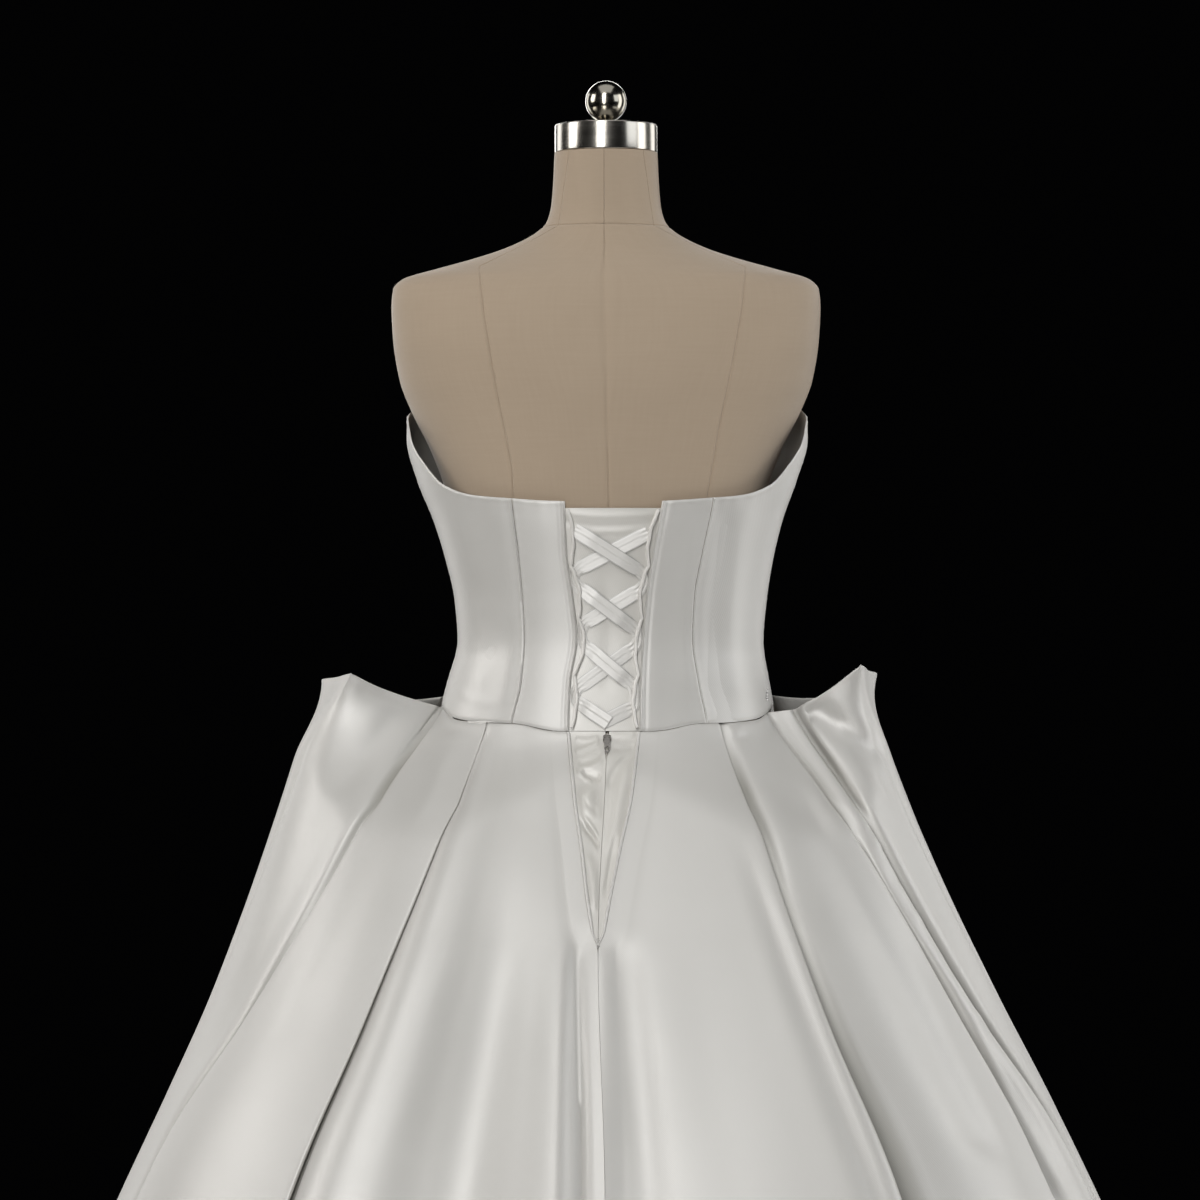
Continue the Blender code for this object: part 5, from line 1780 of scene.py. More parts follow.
def spline(known: Points, counts: Sequence[int]) -> Points:
    """Points on a soft curve through known ones.

    Args:
        known: Known points, whose first two columns set the spacing.
        counts: How many points each stretch gets.

    Returns:
        The points, the last known one included.
    """
    gaps = np.maximum(np.linalg.norm(np.diff(known[:, :2], axis=0), axis=1), 1e-9) ** 0.5
    slopes = np.diff(known, axis=0) / gaps[:, None]
    tangents = np.empty_like(known)
    tangents[0], tangents[-1] = slopes[0], slopes[-1]
    wide = (known[2:] - known[:-2]) / (gaps[1:] + gaps[:-1])[:, None]
    tangents[1:-1] = slopes[:-1] - wide + slopes[1:]
    i = np.repeat(np.arange(len(counts)), counts)
    t = np.concatenate([np.arange(n) / n for n in counts])[:, None]
    gap = gaps[i][:, None]
    start = (1 + 2 * t) * (1 - t) ** 2 * known[i] + t * (1 - t) ** 2 * gap * tangents[i]
    end = t**2 * (3 - 2 * t) * known[i + 1] + t**2 * (t - 1) * gap * tangents[i + 1]
    return np.vstack([start + end, known[-1:]])


ANGLE_HEIGHTS = np.array((0.0, 0.62, 0.76, 0.95))
WAIST_HEIGHT = 1.020
V_TIP = 0.8262
PIPING_RADIUS = 0.0014


@dataclass(frozen=True)
class FoldLine:
    """A line that runs down the skirt from the waist, with its angle at four heights.

    A line without a top of its own starts at the waist seam. One without a y does so at the back.
    """

    name: str
    x: float
    y: Optional[float]
    top: Optional[float]
    reach: float
    angles: tuple[float, float, float, float]
    slim: float = 1.0

    def angle(self, height: float) -> float:
        """Angle of the line on the outline at a height."""
        return float(smooth_through(ANGLE_HEIGHTS, np.array(self.angles[::-1], float), np.array(height)))


FRONT_LINES = (
    FoldLine("front_turn", 0.1610, -BODICE_WALL, None, 0.110, (134.5, 122.5, 118.0, 115.5)),
    FoldLine("front_outer_fold", 0.1545, -BODICE_WALL, None, 0.110, (138.0, 126.0, 121.0, 118.0)),
    FoldLine("front_inner_fold", 0.0880, -BODICE_WALL, None, 0.110, (158.0, 149.0, 145.0, 141.0)),
    FoldLine("centre_front", 0.0, -BODICE_WALL, None, 0.050, (180, 180, 180, 180)),
)
LEFT_LINES = (
    FoldLine("centre_back", 0.0, None, None, 0.030, (0, 0, 0, 0)),
    FoldLine("inner_fold", 0.1128, None, None, 0.110, (21.8, 32.2, 36.8, 43.6), 0.26),
    FoldLine("outer_fold", 0.1590, None, None, 0.110, (39.0, 59.0, 72.0, 76.0), 0.70),
    FoldLine("turn", 0.1550, 0.0205, 1.0365, 0.110, (43.0, 62.0, 74.5, 78.5)),
    FoldLine("near_corner", 0.2400, 0.056, 1.0690, 0.075, (73.0, 82.0, 87.0, 89.0)),
    FoldLine("far_corner", 0.2750, -0.058, 1.0605, 0.075, (97.0, 97.0, 99.0, 101.0)),
) + FRONT_LINES
RIGHT_LINES = (
    FoldLine("centre_back", 0.0, None, None, 0.030, (0, 0, 0, 0)),
    FoldLine("inner_fold", 0.1065, None, None, 0.110, (22.4, 29.1, 33.1, 38.3), 0.62),
    FoldLine("valley", 0.1558, None, None, 0.110, (44.3, 59.0, 65.5, 70.0)),
    FoldLine("outer_fold", 0.1740, 0.038, 1.0340, 0.110, (50.2, 64.6, 76.0, 80.0)),
    FoldLine("near_corner", 0.2400, 0.060, 1.0770, 0.075, (73.0, 82.0, 88.0, 91.0)),
    FoldLine("far_corner", 0.2620, -0.058, 1.0660, 0.075, (97.0, 98.0, 101.0, 103.0)),
) + FRONT_LINES


@dataclass
class Ring:
    """Base curve of half of the skirt at one height, from the centre back to the centre front."""

    side: int
    names: list[str]
    samples: int
    points: Points

    def __post_init__(self) -> None:
        """Work out the lengths and the outward directions along the curve."""
        steps = np.diff(self.points, axis=0)
        self.arcs = np.concatenate([[0.0], np.cumsum(np.linalg.norm(steps, axis=1))])
        tangents = np.vstack([steps[:1], steps[:-1] + steps[1:], steps[-1:]])
        tangents[0] = (self.side * 1.0, 0.0)
        tangents[-1] = (-self.side * 1.0, 0.0)
        tangents /= np.maximum(np.linalg.norm(tangents, axis=1, keepdims=True), 1e-12)
        self.normals = np.stack([-tangents[:, 1], tangents[:, 0]], axis=1) * self.side

    def arc(self, name: str) -> float:
        """Length to a named line."""
        return float(self.arcs[self.names.index(name) * self.samples])

    def lean(self, name: str) -> float:
        """How far sideways the curve faces at a named line, for each step backwards."""
        normal = self.normals[self.names.index(name) * self.samples]
        return abs(float(normal[0] / normal[1]))

    def arc_at_x(self, x: float) -> float:
        """Length near the centre back where the curve has this x.

        Args:
            x: The x.

        Returns:
            The length.
        """
        if self.side * x < 0:
            return self.side * x
        near = 2 * self.samples
        return float(np.interp(self.side * x, self.side * self.points[:near, 0], self.arcs[:near]))

    def place_of(self, arc: Points) -> Points:
        """Place of a length, counted in lines from the centre back."""
        return np.interp(arc, self.arcs, np.arange(len(self.arcs)) / self.samples)

    def point(self, arc: Points, out: Points) -> Points:
        """Points at lengths along the curve, moved outwards.

        Args:
            arc: The lengths.
            out: How far each point is moved.

        Returns:
            X and y of each point.
        """
        place = np.stack([np.interp(arc, self.arcs, self.points[:, k]) for k in (0, 1)], axis=-1)
        normal = np.stack([np.interp(arc, self.arcs, self.normals[:, k]) for k in (0, 1)], axis=-1)
        normal /= np.linalg.norm(normal, axis=-1, keepdims=True)
        place = place + out[..., None] * normal
        before = arc < 0
        place[before, 0] = self.points[0, 0] + self.side * arc[before]
        place[before, 1] = self.points[0, 1] + out[before]
        return place


Column = tuple[float, float, float]

FOLD_TURNS = (0, 45, 90, 135, 180)
# How much the columns round a fold's crest show; less shown means more painted shade there.
CREST_SHOWN = (0.8, 0.4, 0.1, 0.0, 0.0)
# Columns of the right valley: share along, depth and how much shows; less shown in its bottom paints shade
# there.
VALLEY_SHAPE = ((-0.55, 0.0, 1.0), (-0.20, 0.35, 0.9), (0.0, 1.0, 0.35), (0.22, 0.85, 0.5), (0.62, 0.12, 1.0))


@dataclass(eq=False)
class HalfSkirt:
    """Folds of one half of the skirt. A column is a length, how far out, and how much it shows, which also
    sets the painted shade in folds.
    """

    half: Side
    samples: int = 64
    rise_radii: float = 5.0
    rise_least: float = 0.012
    edge_band: float = 0.014
    wing_sag: float = 0.012
    corner_round: float = 0.008
    corner_cut: float = 0.002
    crease_depth: float = 0.005
    tip_reach: float = 0.012
    lift_lean: float = 1.15
    highest: float = 1.0815
    levels: int = 260
    typical_level: int = 60
    most_points: int = 26

    def __post_init__(self) -> None:
        """Work out the waist of this half."""
        self.side = self.half.value
        self.lines = LEFT_LINES if self.half is Side.LEFT else RIGHT_LINES
        self.shares = np.linspace(0, 1, self.samples + 1)
        self.plans = [self.waist_plan(a, b) for a, b in zip(self.lines, self.lines[1:])]

    def body_angle(self, line: FoldLine) -> float:
        """Angle on the waist of a line that starts there."""
        return float(BODICE.angle(WAIST_HEIGHT, self.side, line.x, line.y is not None))

    def line_top(self, line: FoldLine) -> float:
        """Height at which a line starts.

        Args:
            line: The line.

        Returns:
            The height.
        """
        if line.top is None:
            return float(edge_height("waist", self.body_angle(line))) - LAY_GAP
        return line.top

    def waist_point(self, angle: Points) -> Points:
        """Point of the skirt's wall in plan at the waist seam."""
        middle = (BODICE_WALL + SKIRT_WALL) / -4
        return BODICE.point(edge_height("waist", angle), self.side, angle, middle)[..., :2]

    def waist_plan(self, start: FoldLine, end: FoldLine) -> Points:
        """Points of the skirt's upper edge in plan, between two lines.

        Args:
            start: Line where they start.
            end: Line where they end.

        Returns:
            X and y of each point.
        """
        share = self.shares
        if start.top is None and end.top is None:
            return self.waist_point(between(self.body_angle(start), self.body_angle(end), share))
        ends = []
        for line in (start, end):
            if line.top is None:
                ends.append(self.waist_point(np.array(self.body_angle(line))))
            else:
                ends.append(np.array((self.side * line.x, line.y)))
        return between(ends[0], ends[1], share[:, None])

    @functools.lru_cache(maxsize=None)
    def ring(self, height: float) -> Ring:
        """Base curve at a height.

        Args:
            height: The height.

        Returns:
            The curve.
        """
        share, points = self.shares, []
        for start, end, plan in zip(self.lines, self.lines[1:], self.plans):
            reach = between(start.reach, end.reach, share)
            top = between(self.line_top(start), self.line_top(end), share)
            weight = np.sin(math.pi / 2 * np.clip((top - height) / reach, 0.0, 1.0))[:, None]
            turn = between(start.angle(height), end.angle(height), share)
            low = SKIRT.point(height, self.side, turn)[..., :2]
            points.append(between(plan, low, weight)[:-1])
            last = between(plan[-1:], low[-1:], weight[-1:])
        return Ring(self.side, [line.name for line in self.lines], self.samples, np.vstack(points + [last]))

    def depth(self, x: Points, height: float) -> Points:
        """Y of the base curve near the centre back, at places across on this half.

        Args:
            x: Places across.
            height: The height.

        Returns:
            Y at each place.
        """
        ring = self.ring(height)
        near = 2 * self.samples
        return np.interp(self.side * x, self.side * ring.points[:near, 0], ring.points[:near, 1])

    def fold(
        self, arc: float, direction: int, radius: float, tuck: float, lift: float = 0.0, under: float = 0.3
    ) -> list[Column]:
        """Columns of one flat fold, in growing length.

        Args:
            arc: Length at the fold's crest.
            direction: 1 where the cloth nearer the centre back lies on top, else -1.
            radius: Radius of its bends.
            tuck: Depth of its hidden tuck.
            lift: How far the crest stands out of the base curve.
            under: Share of that lift that the cloth under the crest keeps.

        Returns:
            Five columns round the crest, the hidden seam, five round the inner bend and one under.
        """
        turns = [math.radians(degrees) for degrees in FOLD_TURNS]
        columns = [
            (radius * math.sin(turn) - radius, lift + radius * math.cos(turn) - radius, shown)
            for turn, shown in zip(turns, CREST_SHOWN)
        ]
        # Hidden columns show nothing and get the full painted fold shade.
        columns.append((SEAM_LAP - tuck, 0.85 * lift - 2 * radius, 0.0))
        inner = 0.4 * (1 + under) * lift - 3 * radius
        columns += [(-tuck - radius * math.sin(turn), inner + radius * math.cos(turn), 0.0) for turn in turns]
        columns.append((radius, under * lift - 4 * radius, 0.0))
        shaped = [(arc + direction * along, out, shown) for along, out, shown in columns]
        return shaped if direction > 0 else shaped[::-1]

    def panel(self, start: Column, end: Column, shares: Sequence[float], bulge: float) -> list[Column]:
        """Columns between two columns, eased and with a soft bulge.

        Args:
            start: Column before the first one.
            end: Column after the last one.
            shares: Shares of the way.
            bulge: How far out the middle stands.

        Returns:
            The columns.
        """
        return [
            (
                between(start[0], end[0], s),
                between(start[1], end[1], s) + bulge * math.sin(math.pi * s),
                1.0,
            )
            for s in shares
        ]

    def swell(self, start: Column, end: Column, places: Sequence[Column]) -> list[Column]:
        """Columns between two columns, from a share of the way, how far out and how much it shows."""
        return [(between(start[0], end[0], s), out, shown) for s, out, shown in places]

    def rise(self, start: Column, radius: float, direction: int, more: float = 0.0) -> list[Column]:
        """Columns where cloth that comes out from under a fold rises to the base curve.

        Args:
            start: Column beside the fold.
            radius: Radius of the fold's bends.
            direction: 1 where the columns follow the fold, else -1.
            more: Length added to the rise.

        Returns:
            The columns.
        """
        reach = max(self.rise_radii * radius, self.rise_least) + more
        # Third values: how much shows, low beside the fold so that a painted shadow strip lies there.
        columns = [
            (start[0] + direction * s * reach, level * start[1], shown)
            for s, level, shown in ((0.35, 0.72, 0.1), (0.7, 0.24, 0.45), (1.0, 0.0, 0.85))
        ]
        return columns if direction > 0 else columns[::-1]

    def edge_x(self, height: float) -> float:
        """X of the edge at the V opening and of the centre-back seam below it.

        Args:
            height: The height.

        Returns:
            The x.
        """
        word = "left" if self.side > 0 else "right"
        x = float(V_LINES.read(word if height > V_TIP else "middle", height))
        inset = SEAM_GAP / 2
        if height > V_TIP:
            inset += min(1.0, (height - V_TIP) / self.tip_reach) * (2 * PIPING_RADIUS + SEAM_GAP)
        return x + self.side * inset

    def sizes(self, height: float) -> dict[str, float]:
        """Sizes of the folds at a height."""
        return {name: float(FOLD_SIZES.read(name, height)) for name in FOLD_SIZES.columns}

    def back(self, height: float) -> list[Column]:
        """Columns of the back half, from its edge to the seam of its outer fold.

        Args:
            height: The height.

        Returns:
            The columns.
        """
        ring, size = self.ring(height), self.sizes(height)
        wave = {name: float(SWELLS.read(name, height)) for name in SWELLS.columns}
        edge = (ring.arc_at_x(self.edge_x(height)), 0.0, 1.0)
        band = (edge[0] + self.edge_band, 0.0, 1.0)
        radius = size["soft_radius"] * self.lines[1].slim
        lift = wave["flat_lift"] if self.side < 0 else 0.55 * wave["roll"]
        crest = ring.arc("inner_fold") - lift * ring.lean("inner_fold")
        inner = self.fold(crest, -self.side, radius, size["tuck"], lift, 1.0 if self.side > 0 else 0.3)
        outer = self.outer(height)
        if self.side > 0:
            places = self.left_swells(wave, radius)
            beyond = self.panel(inner[-1], outer[0], (0.05, 0.16, 0.38, 0.65, 0.88), size["bulge"])
        else:
            climbing = ((0.2, 0.06), (0.45, 0.25), (0.7, 0.55), (0.9, 0.88))
            # Third values below one paint shade in the dip beside the centre-back seam.
            places = [(0.045, 0.8 * wave["seam_dip"], 0.72), (0.10, 1.1 * wave["seam_dip"], 0.8)]
            places += [(share, level * lift, 1.0) for share, level in climbing]
            climb = self.rise(inner[-1], radius, 1, self.lift_lean * lift * ring.lean("inner_fold"))
            valley = self.valley(ring, size["valley"])
            beyond = climb + self.panel(climb[-1], valley[0], (0.3, 0.65), wave["bulge"]) + valley
        return [edge, band] + self.swell(band, inner[0], places) + inner + beyond + outer[:6]

    def left_swells(self, wave: dict[str, float], radius: float) -> list[Column]:
        """Swells of the left back from its seam to the broad roll beside its inner fold.

        Args:
            wave: Sizes of the swells at a height.
            radius: Radius of the inner fold's bends.

        Returns:
            Shares of the way, how far out the cloth lies and how much it shows, which is kept below one from
            the seam to the roll to paint shade over the dip and the trough.
        """
        crest, dip, roll = wave["crest"], wave["dip"], wave["roll"]
        return [
            (0.025, 1.4 * wave["seam_dip"], 0.62),
            (0.10, crest, 0.74),
            (0.25, 0.5 * (crest + dip), 0.72),
            (0.42, dip, 0.70),
            (0.57, between(dip, roll, 0.28), 0.60),
            (0.73, between(dip, roll, 0.78), 0.66),
            (0.85, roll, 0.9),
            (0.92, 0.90 * roll, 1.0),
            (0.96, 0.74 * roll - radius, 1.0),
            (0.985, 0.62 * roll - 2.2 * radius, 1.0),
        ]

    def valley(self, ring: Ring, deepest: float) -> list[Column]:
        """Columns of the soft valley beside the right outer fold.

        Args:
            ring: Base curve at a height.
            deepest: Depth of the valley where there is room for it.

        Returns:
            The columns.
        """
        centre = ring.arc("valley")
        width = ring.arc("outer_fold") - centre
        depth = min(deepest, 0.45 * width)
        return [(centre + along * width, -level * depth, shown) for along, level, shown in VALLEY_SHAPE]

    def outer(self, height: float) -> list[Column]:
        """Columns of the fold that parts the back half from the standing pleat.

        Args:
            height: The height.

        Returns:
            The columns.
        """
        ring, size = self.ring(height), self.sizes(height)
        if self.side < 0:
            return self.fold(ring.arc("outer_fold"), 1, size["crisp_radius"], size["narrow_tuck"])
        lift = float(SWELLS.read("outer_lift", height))
        crest = ring.arc("outer_fold") - lift * ring.lean("outer_fold")
        return self.fold(crest, 1, size["soft_radius"] * self.lines[2].slim, size["tuck"], lift)

    def flank(self, height: float) -> list[Column]:
        """Columns of the standing pleat, from one hidden seam to the other.

        Args:
            height: The height.

        Returns:
            The columns.
        """
        ring, size = self.ring(height), self.sizes(height)
        soft, tuck = size["soft_radius"], size["tuck"]
        radius = soft * self.lines[2].slim if self.side > 0 else size["crisp_radius"]
        back = self.outer(height)
        front = self.fold(ring.arc("front_outer_fold"), -1, soft, tuck)
        climb = self.rise(back[-1], radius, 1)
        fall = self.rise(front[0], soft, -1)
        corner, far = ring.arc("near_corner"), ring.arc("far_corner")
        columns = [(back[5][0] - SEAM_GAP, back[5][1], 0.0)] + back[6:] + climb
        for share in (0.25, 0.5, 0.75):
            arc = between(climb[-1][0], corner - self.corner_round, share)
            columns.append((arc, -self.slant_crease(share, height), 1.0))
        columns += self.corner(corner) + [((corner + far) / 2, -self.corner_cut, 1.0)] + self.corner(far)
        columns += self.panel(columns[-1], fall[0], (0.25, 0.5, 0.75), 0.0)
        return columns + fall + front[:6]

    def corner(self, arc: float) -> list[Column]:
        """Columns round an outer corner of the standing pleat.

        Args:
            arc: Length at the corner.

        Returns:
            The columns.
        """
        return [
            (arc - self.corner_round, 0.0, 1.0),
            (arc, -self.corner_cut, 1.0),
            (arc + self.corner_round, 0.0, 1.0),
        ]

    def slant_crease(self, share: float, height: float) -> float:
        """Depth of the soft slanting crease in the right standing pleat.

        Args:
            share: Share of the way over the pleat.
            height: The height.

        Returns:
            The depth.
        """
        if self.side > 0:
            return 0.0
        middle = (1.035 - height) / 0.085
        return self.crease_depth * float(bell(share - middle, 0.28))

    def front(self, height: float) -> list[Column]:
        """Columns of half of the front, from its hidden side seam to the centre front.

        Args:
            height: The height.

        Returns:
            The columns.
        """
        ring, size = self.ring(height), self.sizes(height)
        soft, tuck, bulge = size["soft_radius"], size["tuck"], size["bulge"]
        outer = self.fold(ring.arc("front_outer_fold"), -1, soft, tuck)
        inner = self.fold(ring.arc("front_inner_fold"), -1, soft, tuck)
        fall = self.rise(inner[0], soft, -1)
        columns = [(outer[6][0] - SEAM_GAP, outer[6][1], 0.0)] + outer[7:]
        columns += self.panel(outer[-1], fall[0], (0.3, 0.7), bulge)
        middle = (ring.arc("centre_front"), 0.0, 1.0)
        columns += fall + inner + self.panel(inner[-1], middle, (0.15, 0.45, 0.75), bulge / 2)
        return columns + [middle]

    def top(self, place: float) -> tuple[float, bool]:
        """Height of the upper edge at a place, and whether it is sewn to the waist there.

        Args:
            place: Place counted in lines from the centre back.

        Returns:
            The height, and True where it is sewn.
        """
        first = min(max(int(place), 0), len(self.lines) - 2)
        share = min(max(place - first, 0.0), 1.0)
        start, end = self.lines[first], self.lines[first + 1]
        if start.top is None and end.top is None:
            angle = between(self.body_angle(start), self.body_angle(end), share)
            return float(edge_height("waist", angle)) - LAY_GAP, True
        top = between(self.line_top(start), self.line_top(end), share)
        if start.name == "far_corner":
            top -= self.wing_sag * math.sin(math.pi * share)
        return top, False

    def grid(self, columns_at: Callable[[float], list[Column]], rows: int, spacing: float) -> "Sewn":
        """Points of a piece in rows from its upper edge to the hem.

        Args:
            columns_at: The piece's columns as a function of height.
            rows: How many rows.
            spacing: Wanted distance between columns low down.

        Returns:
            The piece's grid with what it needs to be finished.
        """
        levels = np.linspace(HEM_HEIGHT, self.highest, self.levels)
        known = [np.array(columns_at(float(level))) for level in levels]
        typical = known[self.typical_level]
        gaps = np.linalg.norm(np.diff(typical[:, :2], axis=0), axis=1)
        counts = [int(min(max(round(gap / spacing), 2), self.most_points)) for gap in gaps]
        fine = [spline(columns, counts) for columns in known]
        plan = np.array(
            [self.ring(float(level)).point(line[:, 0], line[:, 1]) for level, line in zip(levels, fine)]
        )
        at_waist = spline(np.array(columns_at(WAIST_HEIGHT)), counts)
        places = self.ring(WAIST_HEIGHT).place_of(at_waist[:, 0])
        tops, sewn = zip(*(self.top(float(place)) for place in places))
        t = np.linspace(0, 1, rows - 2)
        drop = np.concatenate([[0.0, 0.0005, 0.0014], t[1:] * (0.34 + 0.66 * t[1:])])
        height = np.array(tops) - (np.array(tops) - HEM_HEIGHT) * drop[:, None]
        at = (height - levels[0]) / (levels[1] - levels[0])
        i = np.clip(at.astype(int), 0, len(levels) - 2)
        f = (at - i)[..., None]
        j = np.arange(plan.shape[1])[None, :]
        flat = between(plan[i, j], plan[i + 1, j], f)
        shown = np.interp(np.arange(len(at_waist)), np.cumsum([0] + counts), typical[:, 2])
        points = np.concatenate([flat, height[..., None]], axis=2)
        return Sewn(points, shown, np.array(tops), np.array(sewn))


@dataclass
class Sewn:
    """Grid of a skirt piece: its points, how much each column shows, its tops and what is sewn."""

    points: Points
    shown: Points
    tops: Points
    sewn: Points

    def joined(self, other: "Sewn") -> "Sewn":
        """This grid with another one's columns after its own, in turn.

        Args:
            other: The other grid.

        Returns:
            One grid of both.
        """
        return Sewn(
            np.concatenate([self.points[:, :-1], other.points[:, ::-1]], axis=1),
            np.concatenate([self.shown[:-1], other.shown[::-1]]),
            np.concatenate([self.tops[:-1], other.tops[::-1]]),
            np.concatenate([self.sewn[:-1], other.sewn[::-1]]),
        )


@dataclass(frozen=True)
class SkirtPiece:
    """A piece of the skirt with its flat cut, what it hangs from and the creases placed on it."""

    node: str
    flat: tuple[float, float]
    area: float
    hangs_from: tuple[str, ...]
    back_creases: tuple[Crease, ...] = ()
    front_creases: tuple[Crease, ...] = ()
    waves: float = 0.0015
    phase: float = 0.0
    # Strength of the painted shade deep in this piece's folds.
    fold_shade: float = 0.8


LEFT_BACK = SkirtPiece(
    "skirt_back_left",
    (0.92, 1.22),
    0.76,
    ("bodice_centre_back_left_satin", "bodice_side_back_left_satin"),
    (
        Crease(((600.5, 940), (603, 1060), (605, 1200)), 1.3, 3.0, 3.0, (8, 0)),
        Crease(((583, 920), (581, 1060), (579, 1200)), -2.4, 12, 7, (30, 0)),
        Crease(((484, 735), (474, 775), (462, 820)), 0.7, 9, 10, (14, 30)),
        Crease(((525, 735), (519, 790), (512, 850)), -0.9, 16, 18, (14, 40)),
        Crease(((455, 728), (440, 770), (415, 830)), 1.0, 9, 10, (12, 30)),
        Crease(((420, 760), (398, 800), (366, 870), (330, 950), (280, 1060)), -1.6, 16, 22, (40, 60)),
    ),
    phase=0.4,
    fold_shade=0.55,
)
RIGHT_BACK = SkirtPiece(
    "skirt_back_right",
    (1.00, 1.22),
    0.82,
    ("bodice_centre_back_right_satin", "bodice_side_back_right_satin"),
    (
        Crease(((605, 950), (605, 1060), (607, 1200)), 1.2, 2.6, 3.0, (8, 0)),
        Crease(((616, 930), (619, 1060), (622, 1200)), -2.6, 8, 12, (30, 0)),
        Crease(
            ((730, 810), (753, 872), (789, 966), (830, 1074), (864, 1160), (880, 1200)), -2.4, 12, 8, (150, 0)
        ),
        Crease(((727, 722), (734, 724), (741, 722)), -0.9, 1.6, 1.8, (3, 4), Run.ACROSS),
        Crease(((723, 729), (732, 731), (745, 728)), 0.9, 1.8, 2.0, (3, 5), Run.ACROSS),
        Crease(((728, 737), (738, 739), (752, 736)), -0.7, 2.0, 2.4, (4, 6), Run.ACROSS),
        Crease(((775, 722), (794, 745), (818, 775), (841, 809)), 1.0, 2.2, 2.6, (8, 10)),
        Crease(
            ((836, 800), (861, 841), (894, 901), (955, 997), (1011, 1104), (1063, 1194)), 6.0, 9, 7, (60, 0)
        ),
        Crease(
            ((790, 772), (822, 828), (856, 895), (884, 948), (912, 1000), (956, 1085), (1002, 1170)),
            -5.0,
            24,
            14,
            (40, 40),
        ),
        Crease(((748, 770), (778, 830), (806, 900)), 1.2, 16, 18, (30, 50)),
        Crease(((806, 735), (826, 760), (851, 792), (872, 822)), 1.1, 3.0, 3.2, (10, 18)),
        Crease(((868, 838), (884, 846), (898, 842)), 1.6, 4, 5, (8, 8), Run.ACROSS),
        Crease(((884, 872), (902, 882), (916, 878)), -1.6, 5, 5, (8, 8), Run.ACROSS),
        Crease(((906, 912), (926, 920), (944, 914)), 1.4, 5, 6, (9, 9), Run.ACROSS),
        Crease(((938, 962), (958, 972), (974, 966)), -1.5, 6, 6, (9, 9), Run.ACROSS),
        Crease(((966, 1012), (986, 1020), (1004, 1012)), 1.5, 6, 7, (9, 9), Run.ACROSS),
    ),
    phase=2.1,
    fold_shade=1.0,
)
LEFT_FLANK = SkirtPiece(
    "skirt_side_left",
    (0.68, 1.26),
    0.59,
    ("skirt_underlay_left_satin", "skirt_back_left_satin"),
    (
        Crease(((398, 706), (382, 730), (362, 760), (338, 800)), -1.2, 10, 14, (12, 30)),
        Crease(((345, 700), (330, 740), (306, 800), (270, 900), (220, 1010)), 0.8, 12, 15, (24, 60)),
        Crease(((360, 725), (336, 790), (300, 880), (250, 990), (200, 1090)), -1.6, 18, 22, (40, 60)),
        Crease(((345, 678), (375, 690), (412, 705)), 0.5, 1.6, 1.6, (10, 10), Run.ACROSS),
        Crease(((342, 684), (375, 696), (410, 711)), -0.5, 1.6, 1.8, (10, 10), Run.ACROSS),
    ),
    waves=0.0012,
    phase=1.3,
)
RIGHT_FLANK = SkirtPiece(
    "skirt_side_right",
    (0.60, 1.26),
    0.49,
    ("skirt_underlay_right_satin", "skirt_back_right_satin"),
    (
        Crease(((797, 706), (828, 714), (862, 736), (889, 757)), -6.5, 9, 15, (10, 16), Run.ACROSS),
        Crease(((806, 730), (838, 746), (868, 774), (888, 812)), 1.6, 12, 14, (14, 16), Run.ACROSS),
        Crease(((876, 760), (896, 800), (918, 850), (950, 920), (1000, 1010)), 1.2, 10, 10, (30, 50)),
        Crease(((888, 740), (904, 790), (926, 850)), -1.2, 6, 6, (20, 30)),
        Crease(((808, 695), (832, 678), (856, 670)), 0.5, 1.6, 1.6, (6, 6), Run.ACROSS),
        Crease(((808, 701), (834, 684), (860, 677)), -0.5, 1.6, 1.8, (6, 6), Run.ACROSS),
    ),
    waves=0.0012,
    phase=3.2,
)
FRONT_PIECE = SkirtPiece(
    "skirt_front",
    (1.55, 1.24),
    1.30,
    ("bodice_centre_front_satin", "bodice_side_front_left_satin", "bodice_side_front_right_satin"),
    (),
    (
        Crease(((540, 760), (530, 900), (512, 1100), (498, 1500)), -4.0, 30, 34, (80, 0)),
        Crease(((566, 800), (574, 960), (560, 1200), (548, 1500)), 2.6, 30, 36, (70, 0)),
        Crease(((650, 780), (660, 940), (684, 1150), (706, 1500)), -4.4, 30, 36, (80, 0)),
        Crease(((626, 800), (624, 960), (636, 1200), (652, 1500)), 2.4, 26, 30, (70, 0)),
        Crease(((448, 760), (420, 860), (372, 1000), (300, 1240)), 3.0, 20, 24, (50, 80)),
        Crease(((742, 760), (776, 860), (830, 1000), (900, 1240)), 3.2, 20, 24, (50, 80)),
        Crease(((500, 735), (492, 790), (480, 860)), 1.0, 8, 9, (14, 40)),
        Crease(((700, 735), (712, 790), (724, 850)), 1.1, 8, 9, (14, 40)),
    ),
    phase=4.4,
)


